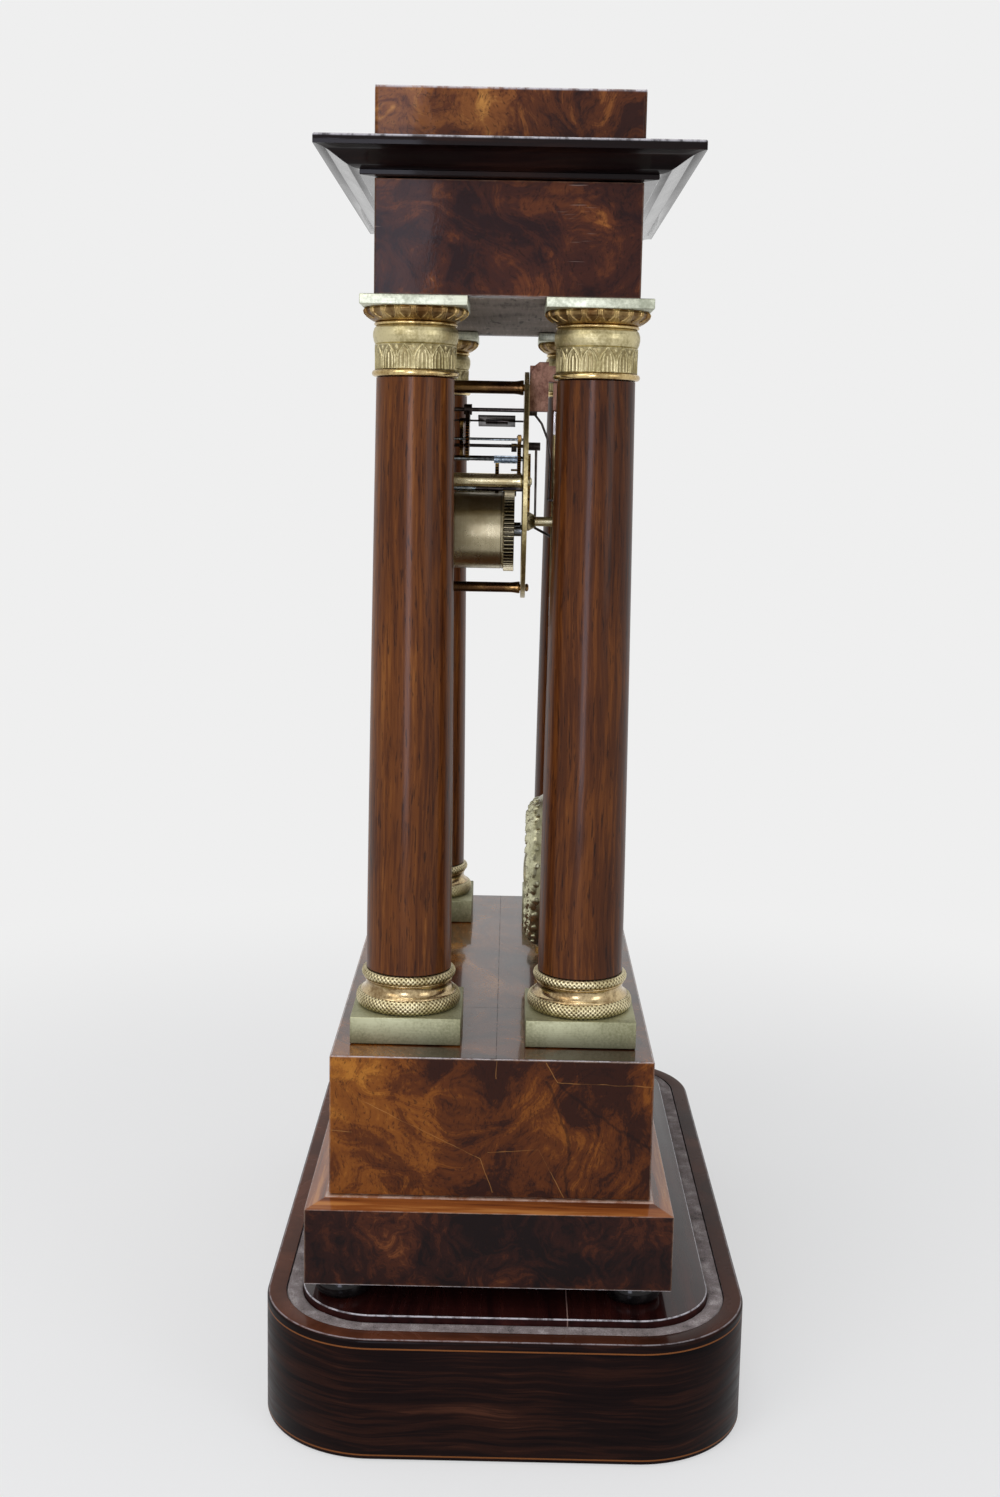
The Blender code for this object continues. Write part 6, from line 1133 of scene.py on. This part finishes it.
PLATE_RADIUS = 50.5 * MM
PLATE_THICKNESS = 2.0 * MM
HAMMER_PIVOT = (-36.0 * MM, 18.0 * MM)
CLICK_PIVOTS = ((29.3 * MM, -28.6 * MM), (-29.3 * MM, -28.6 * MM))
GREAT_WHEEL_TEETH = 60
GREAT_WHEEL_ROOT, GREAT_WHEEL_TIP = 16.25 * MM, 17.6 * MM
GREAT_WHEEL_THICKNESS = 4.6 * MM
BARREL_BORE = 2.8 * MM
GOING = (24.0 * MM, -19.4 * MM)
STRIKE = (-24.0 * MM, -19.4 * MM)


def axis_of(name):
    """A wheel's axis in the movement, from its solid."""
    low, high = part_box(name)
    return 0.5 * (low.x + high.x), 0.5 * (low.z + high.z) - MOVEMENT_Z


TRAIN = [(axis_of(n), r * MM) for n, r in (("going_second_wheel", 1.2), ("third_wheel", 0.9), ("escape_wheel", 0.7),
                                           ("pin_wheel", 0.9), ("locking_wheel", 0.7), ("fly", 0.7))]


def plate(name, rear, holes):
    """A round movement plate, drilled for its arbors, with a painted shade ring round each hole in place of a
    countersink: holes of (centre, radius).
    """
    loops = [circle(PLATE_RADIUS, 180)] + [circle(r, 24, c) for c, r in holes]
    p, f = flat_points(loops, PLATE_THICKNESS, rear, 0.18 * MM)
    hole_shade_rings = [(c[0], c[1] + MOVEMENT_Z, r + 0.9 * MM) for c, r in holes]
    metal = brass(name + "_brass", rgb(146, 128, 84), rgb(210, 194, 144), (0.24, 0.38), 50.0, 0.3,
                  rings=((0.0, 0.0, MOVEMENT_Z), 0.5 * MM), hole_shade_rings=hole_shade_rings)
    mesh_piece(name + "_disc", forward(p), f, metal, "case", (name,), sharp=30.0)


def pillar(label, centre, radius, metal):
    """A turned pillar between the plates, riveted to the front one, its thin end through the back one."""
    rows = [(0.0, 28.6 * MM), (0.86 * radius, 28.6 * MM), (0.86 * radius, 27.9 * MM), (0.98 * radius, 27.6 * MM),
            (1.0 * radius, 27.0 * MM), (0.98 * radius, 26.4 * MM), (0.86 * radius, 25.9 * MM)]
    rows += [(0.86 * radius, (25.0 - 28.0 * i / 8) * MM) for i in range(9)]
    rows += [(0.86 * radius, -3.6 * MM), (0.92 * radius, -5.4 * MM), (radius, -6.6 * MM), (radius, -7.5 * MM),
             (0.94 * radius, -7.7 * MM), (1.55 * MM, -7.7 * MM), (1.55 * MM, -10.4 * MM), (1.75 * MM, -10.5 * MM),
             (1.75 * MM, -11.2 * MM), (1.2 * MM, -11.7 * MM), (0.0, -11.8 * MM)]
    spin("pillar_" + label, rows, centre, metal, "case", ("front_plate",), 48, sharp=50.0)


plate("front_plate", 28.0 * MM,
      TRAIN + [(axis_of("strike_second_wheel"), 1.3 * MM), ((0.0, PALLETS_Z - MOVEMENT_Z), 1.05 * MM),
               (HAMMER_PIVOT, 1.0 * MM), ((0.0, 0.0), 1.25 * MM), (axis_of("minute_wheel"), 1.1 * MM),
               (GOING, 2.3 * MM), (STRIKE, 2.3 * MM), (CLICK_PIVOTS[0], 1.2 * MM), (CLICK_PIVOTS[1], 1.2 * MM)])
plate("back_plate", -10.0 * MM,
      TRAIN + [((0.0, 0.0), 1.2 * MM), (axis_of("strike_second_wheel"), 1.6 * MM),
               ((0.0, PALLETS_Z - MOVEMENT_Z), 1.3 * MM), (HAMMER_PIVOT, 1.2 * MM),
               (GOING, 1.5 * MM), (STRIKE, 1.5 * MM)])
# The top and low pillars take the darker pillar brass, as painted shade.
pillar("top", (0.0, 43.6 * MM), 3.3 * MM, BRASS_PILLAR_SHADED)
pillar("right", (44.0 * MM, 2.6 * MM), 2.9 * MM, BRASS_PILLAR_PALE)
pillar("left", (-44.0 * MM, 2.6 * MM), 2.9 * MM, BRASS_PILLAR_PALE)
pillar("low", (0.0, -45.9 * MM), 2.7 * MM, BRASS_PILLAR_SHADED)


def barrel(name, body, centre):
    """Great wheel with flanked teeth, and the spring drum with its turned lines."""
    middle = (centre[0], 0.0, MOVEMENT_Z + centre[1])
    metal = brass(name + "_brass", rgb(134, 121, 92), rgb(190, 180, 150), (0.22, 0.32), 18.0, 0.06, fine=0.0,
                  speck=0.08, brushed=(6.0, 1300.0, 6.0), marks=mm(((-29.0, 0.25), (-8.4, 0.25))),
                  gaps=(middle, GREAT_WHEEL_ROOT, GREAT_WHEEL_TIP, CASE_Y, CASE_Y + 4.7 * MM))
    node = NODES[name]
    spread = [(v.co.x - centre[0], v.co.z - MOVEMENT_Z - centre[1]) for v in node.data.vertices]
    tip_x, tip_y = max(spread, key=lambda p: round(math.hypot(*p), 5))
    first = math.atan2(tip_y, tip_x)
    root, tip = GREAT_WHEEL_ROOT, GREAT_WHEEL_TIP
    outline = []
    for i in range(GREAT_WHEEL_TEETH):
        for radius, step in ((root, -0.34), (root + 0.62 * (tip - root), -0.17), (tip, -0.06),
                             (tip, 0.06), (root + 0.62 * (tip - root), 0.17), (root, 0.34)):
            angle = first + TAU * (i + step) / GREAT_WHEEL_TEETH
            outline.append((radius * math.cos(angle), radius * math.sin(angle)))
    wheel = flat_points([outline, circle(BARREL_BORE, 48)], GREAT_WHEEL_THICKNESS, -GREAT_WHEEL_THICKNESS,
                        0.12 * MM)
    rows = mm([(2.8, 23.0), (5.4, 23.0), (5.6, 22.7), (15.2, 22.7), (15.4, 23.0), (16.2, 23.0), (16.5, 22.7),
               (16.5, 21.5), (16.3, 21.35), (16.3, 21.2), (16.5, 21.05), (16.5, 1.3), (16.3, 1.15), (16.3, 0.95),
               (16.5, 0.8), (16.5, 0.0), (16.2, -0.4), (2.8, -0.4)])
    p, f, _ = lathe(rows, 160, closed=True)
    mesh_piece(name + "_drum", forward(p, centre), f, metal, body, (name,), sharp=40.0)
    mesh_piece(name + "_great_wheel", forward(wheel[0], centre), wheel[1], metal, body, (name,),
               sharp=30.0)


barrel("going_barrel", "going_barrel", GOING)
barrel("strike_barrel", "strike_barrel", STRIKE)

for wheel_name, reach, leaves in (
        ("going_second_wheel", 3.0, ((-37.0, -20.0, 3.2),)), ("third_wheel", 1.9, ((-37.0, 3.0, 1.7),)),
        ("escape_wheel", 1.7, ((-37.0, 3.0, 1.3),)), ("strike_second_wheel", 2.4, ()), ("pin_wheel", 1.9, ()),
        ("locking_wheel", 1.7, ())):
    dress(wheel_name, wheel_metal(wheel_name, reach * MM, [(a * MM, b * MM, r * MM) for a, b, r in leaves],
                                  0.8 * MM), smooth=True)
dress("centre_wheel", wheel_metal("centre_wheel", 2.9 * MM, (), 0.8 * MM), smooth=True)
for wheel_name in ("count_wheel", "minute_wheel", "hour_wheel", "rating_nut"):
    dress(wheel_name, BRASS_WHEEL, smooth=True)
for part_name in ("bell_stud", "bell_nut"):
    dress(part_name, BRASS_PILLAR_PALE, smooth=True)
for part_name in ("going_winding_arbor", "strike_winding_arbor", "going_click", "strike_click", "cannon_pinion"):
    dress(part_name, STEEL, smooth=True)
for part_name in ("anchor", "crutch", "hammer", "fly"):
    dress(part_name, STEEL_DARK, smooth=True)
dress("pendulum_rod", STEEL_ROD, smooth=True)
dress("suspension_cock", BRASS_COCK, 0.18 * MM)


# Bell and bob

spin("bell_cup", curve_rows(mm([(27.6, -25.3), (28.3, -25.2), (29.0, -25.5), (28.9, -28.0), (28.2, -31.3),
                                (26.3, -35.3), (23.0, -38.6), (18.0, -41.5), (12.0, -43.4), (6.5, -44.1),
                                (2.5, -44.2)]), 6)
     + curve_rows(mm([(2.5, -42.8), (6.3, -42.7), (11.5, -42.0), (17.3, -40.2), (22.0, -37.5), (25.0, -34.5),
                      (26.8, -30.9), (27.3, -28.0), (27.55, -25.5)]), 6),
     BELL_CENTRE, BRASS_BELL, "case", ("bell",), 144, closed=True, sharp=50.0)

BOB_Z = 201.2 * MM
BOB_RADIUS = 36.1 * MM
BOB_FRONT = 10.4 * MM
BOB_SETBACK = 22.6 * MM
BOB_SEGMENTS = 720
BOB_LEAVES = 26
WREATH_FROM = 0.52
WREATH_RISE = 2.1 * MM


def bob_leaf(turn, share):
    """Height of a wreath of overlapping leaves, 0 to 1, round the bob's outer ring."""
    best = 0.0
    for lane, (middle, lean) in enumerate(((0.62, 0.55), (0.74, 0.0), (0.865, -0.55))):
        place = turn * BOB_LEAVES / TAU + 0.5 * lane
        for step in (-1, 0):
            along = place - math.floor(place) + step - 0.1
            across = (share - middle - 0.035 * lean * along) / 0.068
            body = 1.0 - (along / 0.62) ** 2 - across * across * (1.0 + 0.9 * max(0.0, along))
            if body > 0.0:
                rib = 0.22 * math.exp(-(across / 0.16) ** 2)
                veins = 0.10 * math.sin(26.0 * along + 9.0 * abs(across))
                best = max(best, math.sqrt(body) * (0.86 - 0.3 * along) - rib + veins * math.sqrt(body))
    berry = 0.0
    place = turn * BOB_LEAVES / TAU + 0.25
    off = place - math.floor(place) - 0.5
    for middle in (0.555, 0.935):
        dot = 1.0 - (off / 0.22) ** 2 - ((share - middle) / 0.028) ** 2
        if dot > 0.0:
            berry = max(berry, 0.8 * math.sqrt(dot))
    return max(best, berry)


def bob():
    """Lenticular bob with a plain boss and a wreath in relief on the side toward the dial."""
    profile = [(0.0, 1.0), (0.12, 0.985), (0.24, 0.91), (0.34, 0.80), (0.42, 0.67), (0.47, 0.54), (0.50, 0.50),
               (0.53, 0.52), (0.60, 0.66), (0.70, 0.76), (0.80, 0.72), (0.90, 0.54), (0.97, 0.30), (1.0, 0.12)]
    rows = curve_rows(profile, 12)
    centre = (0.0, BOB_Z - MOVEMENT_Z)
    turns = [TAU * i / BOB_SEGMENTS for i in range(BOB_SEGMENTS)]
    points, shares, faces = [], [], []
    for share, lift in rows:
        carved = share > WREATH_FROM
        radius = BOB_RADIUS * share
        for turn in turns:
            high = bob_leaf(turn, share) if carved else 0.0
            level = BOB_FRONT * lift + (WREATH_RISE * high if carved else 0.0)
            points.append((radius * math.cos(turn), radius * math.sin(turn), min(level, BOB_FRONT) - BOB_SETBACK))
            shares.append(0.25 + 0.75 * min(1.0, high) if carved else 0.75)
    back = [(1.0, -0.06 * BOB_FRONT), (0.98, -1.6 * MM), (0.94, -2.5 * MM), (0.86, -2.8 * MM), (0.0, -2.8 * MM)]
    for share, level in back:
        for turn in turns:
            points.append((BOB_RADIUS * share * math.cos(turn), BOB_RADIUS * share * math.sin(turn),
                           level - BOB_SETBACK))
            shares.append(1.0)
    for row in range(len(rows) + len(back) - 1):
        here, after = row * BOB_SEGMENTS, (row + 1) * BOB_SEGMENTS
        for i in range(BOB_SEGMENTS):
            j = (i + 1) % BOB_SEGMENTS
            faces.append((here + i, after + i, after + j, here + j))
    mesh_piece("pendulum_bob_wreath", forward(points, centre), faces, BRASS_BOB, "pendulum", ("pendulum_bob",),
               relief=shares, sharp=70.0)


bob()


# Dial, its ring, bezel and glass

HINGE_X = -67.6 * MM
HINGE_FORWARD = 43.05 * MM
KNUCKLE_RADIUS = 1.9 * MM
NUMERAL_RADIUS = 47.2 * MM
MINUTE_RADIUS = 54.5 * MM
BEZEL_CUTS = 180


def tube_points(radius, bore, low, high, centre):
    """A tube along the movement's height, about a centre (x, forward)."""
    rows = [(bore, high), (radius - 0.2 * MM, high), (radius, high - 0.2 * MM), (radius, low + 0.2 * MM),
            (radius - 0.2 * MM, low), (bore, low)]
    p, f, _ = lathe(rows, 40, closed=True)
    return [(x + centre[0], z, y + centre[1]) for x, y, z in p], f


def dial_ring():
    rows = mm([(61.2, 41.8), (63.1, 41.8), (63.5, 41.4), (63.5, 36.6), (63.3, 36.4), (63.3, 36.0), (63.5, 35.8),
               (63.5, 30.8), (63.1, 30.3), (46.3, 30.3), (46.0, 30.6), (46.0, 32.0), (46.3, 32.3), (61.2, 32.3)])
    spin("dial_ring_drum", rows, (0.0, 0.0), BRASS_RIM, "case", ("dial_ring",), 200, closed=True, sharp=40.0)
    hanger = box_points(mm((-16.0, 61.9, 33.2)), mm((16.0, 72.0, 37.2)), 0.4 * MM)
    plate_foot = box_points(mm((-23.0, 70.8, 26.2)), mm((23.0, 73.2, 44.2)), 0.4 * MM)
    parts = [hanger, plate_foot]
    for side in (-1.0, 1.0):
        lug = sorted((side * 3.3 * MM, side * 9.3 * MM))
        parts.append(box_points((HINGE_X, lug[0], 36.1 * MM), (-61.2 * MM, lug[1], 41.8 * MM), 0.3 * MM))
        parts.append(tube_points(KNUCKLE_RADIUS, 0.2 * MM, lug[0], lug[1], (HINGE_X, HINGE_FORWARD)))
    p, f = join(*parts)
    mesh_piece("dial_ring_hanger", forward(p), f, BRASS_RIM, "case", ("dial_ring",), sharp=50.0)


def bezel_relief(turn, height, radius):
    """Fine milling on the inner slope."""
    if not 57.6 * MM < radius < 59.4 * MM or height < 46.5 * MM:
        return 0.0, 1.0
    cut = 0.5 + 0.5 * math.cos(BEZEL_CUTS * turn)
    return -0.16 * MM * (1.0 - cut), 0.25 + 0.75 * cut


def bezel():
    outer = curve_rows(mm([(57.0, 46.2), (57.6, 47.0), (58.6, 48.2), (59.5, 48.9), (60.6, 49.15), (61.8, 49.1),
                           (62.9, 48.6), (63.6, 47.4), (64.0, 46.4), (64.7, 45.9), (65.2, 45.0)]), 5)
    rows = outer + mm([(65.2, 42.4), (64.9, 42.1), (60.2, 42.1), (60.2, 45.0), (57.0, 45.0)])
    spin("bezel_frame", rows, (0.0, 0.0), BRASS_BEZEL, "bezel", ("bezel",), 720, closed=True, sharp=50.0,
         relief=bezel_relief)
    arm = box_points(mm((-66.1, -2.9, 42.7)), mm((-62.8, 2.9, 44.5)), 0.2 * MM)
    p, f = join(arm, tube_points(KNUCKLE_RADIUS, 1.1 * MM, -3.0 * MM, 3.0 * MM, (HINGE_X, HINGE_FORWARD)))
    mesh_piece("bezel_hinge_knuckle", forward(p), f, BRASS_WHEEL, "bezel", ("bezel",), sharp=50.0)
    dome = [(56.2 * MM * i / 28.0, 43.5 * MM + 7.6 * MM * (1.0 - (i / 28.0) ** 2.8)) for i in range(29)]
    rear = dome + [(59.5 * MM, 43.5 * MM)]
    front = [(r, z + 1.2 * MM) for r, z in reversed(rear)]
    spin("bezel_glass", rear + front, (0.0, 0.0), GLASS, "bezel", ("dial_glass",), 160, sharp=60.0)


def on_dial(turn, radius, across, out):
    """A point of the dial's front: turn clockwise from twelve, across clockwise, out along the radius."""
    s, c = math.sin(turn), math.cos(turn)
    reach = radius + out
    return reach * s + across * c, reach * c - across * s


PRINT_REAR = 41.28 * MM
PRINT_FRONT = 41.36 * MM


def slab(outline):
    """A thin raised shape with the given outline."""
    count = len(outline)
    points = [(x, y, PRINT_REAR) for x, y in outline] + [(x, y, PRINT_FRONT) for x, y in outline]
    faces = [tuple(range(count)), tuple(reversed(range(count, 2 * count)))]
    faces += [(i, (i + 1) % count, count + (i + 1) % count, count + i) for i in range(count)]
    return points, faces


def stroke(turn, radius, start, end, wide):
    """A slanted bar between two (across, out) places, its ends level."""
    half = 0.5 * wide
    corners = ((start[0] - half, start[1]), (start[0] + half, start[1]), (end[0] + half, end[1]),
               (end[0] - half, end[1]))
    return slab([on_dial(turn, radius, a * MM, o * MM) for a, o in corners])


# In millimetres: a letter's width, its strokes (foot, head, thickness), and its bars (place, width) at head and foot
NUMERAL_HALF = 4.8
LETTERS = {
    "I": (2.3, ((0.0, 0.0, 1.3),), ((0.0, 2.4),), ((0.0, 2.4),)),
    "V": (5.0, ((0.0, -1.5, 1.35), (0.2, 1.6, 0.45)), ((-1.5, 2.4), (1.6, 1.7)), ()),
    "X": (5.2, ((1.5, -1.5, 1.35), (-1.5, 1.5, 0.45)), ((-1.5, 2.4), (1.5, 1.7)), ((1.5, 2.4), (-1.5, 1.7))),
}


def numeral(text, turn):
    """A Roman numeral whose foot points to the dial's centre."""
    cursor = -0.5 * sum(LETTERS[c][0] for c in text)
    parts = []
    for letter in text:
        width, strokes, heads, feet = LETTERS[letter]
        middle = cursor + 0.5 * width
        bars = [((middle + a, -NUMERAL_HALF), (middle + b, NUMERAL_HALF), wide) for a, b, wide in strokes]
        bars += [((middle + a, NUMERAL_HALF - 0.3), (middle + a, NUMERAL_HALF + 0.1), wide) for a, wide in heads]
        bars += [((middle + a, -NUMERAL_HALF - 0.1), (middle + a, -NUMERAL_HALF + 0.3), wide) for a, wide in feet]
        parts += [stroke(turn, NUMERAL_RADIUS, *bar) for bar in bars]
        cursor += width
    return parts


def dial():
    holes = [circle(3.4 * MM, 48)] + [circle(3.4 * MM, 48, c) for c in (GOING, STRIKE)]
    p, f = flat_points([circle(60.9 * MM, 200)] + holes, 1.8 * MM, 39.5 * MM, 0.2 * MM)
    mesh_piece("dial_disc", forward(p), f, ENAMEL, "case", ("dial",), sharp=40.0)
    parts = []
    for hour, text in enumerate(("XII", "I", "II", "III", "IIII", "V", "VI", "VII", "VIII", "IX", "X", "XI")):
        parts += numeral(text, TAU * hour / 12.0)
    for minute in range(60):
        wide = 0.7 if minute % 5 == 0 else 0.25
        parts.append(stroke(TAU * minute / 60.0, MINUTE_RADIUS, (0.0, -0.9), (0.0, 0.9), wide))
    for radius in (53.5 * MM, 55.3 * MM):
        ring, ring_faces, _ = lathe([(radius, PRINT_FRONT), (radius + 0.22 * MM, PRINT_FRONT),
                                     (radius + 0.22 * MM, PRINT_REAR), (radius, PRINT_REAR)], 240, closed=True)
        parts.append((ring, ring_faces))
    p, f = join(*parts)
    mesh_piece("dial_numerals", forward(p), f, INK, "case", ("dial",), sharp=30.0)
    eyelets = []
    for centre in (GOING, STRIKE):
        rows = mm([(3.35, 41.5), (3.9, 41.55), (4.3, 41.3), (4.3, 41.1), (3.35, 41.1)])
        ring, ring_faces, _ = lathe(rows, 64, closed=True)
        eyelets.append(([(x + centre[0], y + centre[1], z) for x, y, z in ring], ring_faces))
    p, f = join(*eyelets)
    mesh_piece("winding_hole_eyelets", forward(p), f, BRASS_WHEEL, "case", ("dial",), sharp=50.0)


HAND_THICKNESS = 0.8 * MM


def hand(name, body, length, rear, bore, turn, wide):
    """A blued hand with an open ring before its tip."""
    middle, outer, inner = 0.74 * length, 3.5 * MM, 2.2 * MM
    blade = [(-0.5 * wide, 4.0 * MM), (0.5 * wide, 4.0 * MM), (0.30 * wide, middle - inner - 0.4 * MM),
             (-0.30 * wide, middle - inner - 0.4 * MM)]
    tip = [(-0.34 * wide, middle + inner + 0.4 * MM), (0.34 * wide, middle + inner + 0.4 * MM),
           (0.40 * wide, middle + outer + 1.0 * MM), (0.05 * wide, length), (-0.05 * wide, length),
           (-0.40 * wide, middle + outer + 1.0 * MM)]
    ring = [circle(outer, 56, (0.0, middle)), circle(inner, 48, (0.0, middle))]
    boss = [circle(5.2 * MM, 64), circle(bore, 48)]
    p, f = join(*(flat_points(loops, HAND_THICKNESS, rear, chamfer) for loops, chamfer in
                  (([blade], 0.1 * MM), ([tip], 0.1 * MM), (ring, 0.15 * MM), (boss, 0.15 * MM))))
    s, c = math.sin(turn), math.cos(turn)
    p = [(x * c + y * s, y * c - x * s, z) for x, y, z in p]
    mesh_piece(name + "_blade", forward(p), f, BLUED, body, (name,), sharp=30.0)


dial_ring()
bezel()
dial()
hand("hour_hand", "hour", 32.0 * MM, 42.5 * MM, 3.4 * MM, TAU * (10.0 + 1.0 / 6.0) / 12.0, 2.4 * MM)
hand("minute_hand", "centre", 48.0 * MM, 44.7 * MM, 2.05 * MM, TAU / 6.0, 2.0 * MM)


# Stage, light and camera

BACKDROP = rgb(239, 239, 239)
FLOOR_GREY = (0.92, 0.92, 0.92, 1.0)
FLOOR_REACH = 6.0
FLOOR_DROP = 0.4 * MM
SHADOW_END = (0.28, 0.75)
SKY_FILL = (0.95, 0.97, 1.0, 1.0)
SKY_STRENGTH = 0.40


def empty_tree(owner):
    owner.use_nodes = True
    owner.node_tree.nodes.clear()
    return Nodes(owner)


def seen_ray(t):
    """1 for rays from the camera, mirrored or through glass."""
    path = t.add("ShaderNodeLightPath")
    seen = path.outputs["Is Camera Ray"]
    for other in ("Is Glossy Ray", "Is Transmission Ray"):
        seen = t.math("MAXIMUM", seen, path.outputs[other])
    return seen


def shader_mix(t, share, first, second):
    return t.add("ShaderNodeMixShader", {0: share, 1: first.outputs[0], 2: second.outputs[0]}).outputs[0]


def floor():
    """Pale floor that keeps the stand's shadow and melts into the backdrop farther out."""
    mesh = bpy.data.meshes.new("floor")
    corners = ((-1, -1), (1, -1), (1, 1), (-1, 1))
    mesh.from_pydata([(x * FLOOR_REACH, y * FLOOR_REACH, 0) for x, y in corners], [], [(0, 1, 2, 3)])
    ground = bpy.data.objects.new("floor", mesh)
    bpy.context.scene.collection.objects.link(ground)
    ground.location = (0.0, 0.0, -FLOOR_DROP)
    mat = bpy.data.materials.new("floor_pale")
    t = empty_tree(mat)
    diffuse = t.add("ShaderNodeBsdfDiffuse", {"Color": FLOOR_GREY})
    glow = t.add("ShaderNodeEmission", {"Color": BACKDROP})
    fade = t.span(t.vector("LENGTH", t.place, ORIGIN), *SHADOW_END, 0.6, 1.0)
    t.add("ShaderNodeOutputMaterial", {"Surface": shader_mix(t, t.times(fade, seen_ray(t)), diffuse, glow)})
    mesh.materials.append(mat)


def sky():
    """Plain fill light, with the photo's backdrop where it's seen or mirrored."""
    world = bpy.data.worlds.new("studio")
    bpy.context.scene.world = world
    t = empty_tree(world)
    fill = t.add("ShaderNodeBackground", {"Color": SKY_FILL, "Strength": SKY_STRENGTH})
    back = t.add("ShaderNodeBackground", {"Color": BACKDROP})
    t.add("ShaderNodeOutputWorld", {"Surface": shader_mix(t, seen_ray(t), fill, back)})


def lamp(name, place, target, size, power, colour=(1.0, 1.0, 1.0)):
    """A soft oblong lamp aimed at a point."""
    data = bpy.data.lights.new(name, "AREA")
    data.shape = "RECTANGLE"
    data.size, data.size_y = size
    data.energy = power
    data.color = colour
    light = bpy.data.objects.new(name, data)
    bpy.context.scene.collection.objects.link(light)
    light.location = place
    light.rotation_mode = "QUATERNION"
    light.rotation_quaternion = (Vector(target) - Vector(place)).to_track_quat("-Z", "Y")


# The photo's camera, fitted to the object's edges in the photo: place, turns in degrees, and lens in pixels
CAMERA_PLACE = (0.8033, -0.0037, 0.3915)
CAMERA_YAW, CAMERA_PITCH, CAMERA_ROLL = -0.238, -9.376, 1.125
CAMERA_FOCAL = 1753.36
PHOTO_HEIGHT = 1497.0
SENSOR_HEIGHT = 36.0


def camera():
    yaw, pitch, roll = (math.radians(v) for v in (CAMERA_YAW, CAMERA_PITCH, CAMERA_ROLL))
    ahead = Vector((-math.cos(yaw) * math.cos(pitch), math.sin(yaw) * math.cos(pitch), math.sin(pitch)))
    level = Vector((math.sin(yaw), math.cos(yaw), 0.0))
    upward = level.cross(ahead)
    right = level * math.cos(roll) + upward * math.sin(roll)
    up = -level * math.sin(roll) + upward * math.cos(roll)
    data = bpy.data.cameras.new("photo_camera")
    data.sensor_width = SENSOR_HEIGHT
    data.lens = CAMERA_FOCAL / PHOTO_HEIGHT * SENSOR_HEIGHT
    data.clip_start = 0.01
    data.clip_end = 50.0
    cam = bpy.data.objects.new("photo_camera", data)
    bpy.context.scene.collection.objects.link(cam)
    turn = Matrix((right, up, -ahead)).transposed().to_4x4()
    cam.matrix_world = Matrix.Translation(CAMERA_PLACE) @ turn
    bpy.context.scene.camera = cam


floor()
sky()
lamp("key_left", (1.5, -1.3, 1.5), (0.0, 0.0, 0.3), (0.9, 1.4), 11.0, (1.0, 0.98, 0.95))
lamp("fill_right", (1.6, 1.5, 0.9), (0.0, 0.0, 0.3), (0.8, 1.4), 7.0, (0.95, 0.97, 1.0))
lamp("top_soft", (0.15, -0.15, 1.9), (0.0, 0.0, 0.2), (0.7, 1.0), 8.5)
lamp("window_strip", (1.25, -0.235, 0.40), (0.10, -0.01, 0.40), (0.28, 0.74), 4.2, (0.78, 0.82, 1.0))
camera()
bpy.context.scene.view_settings.view_transform = "Standard"
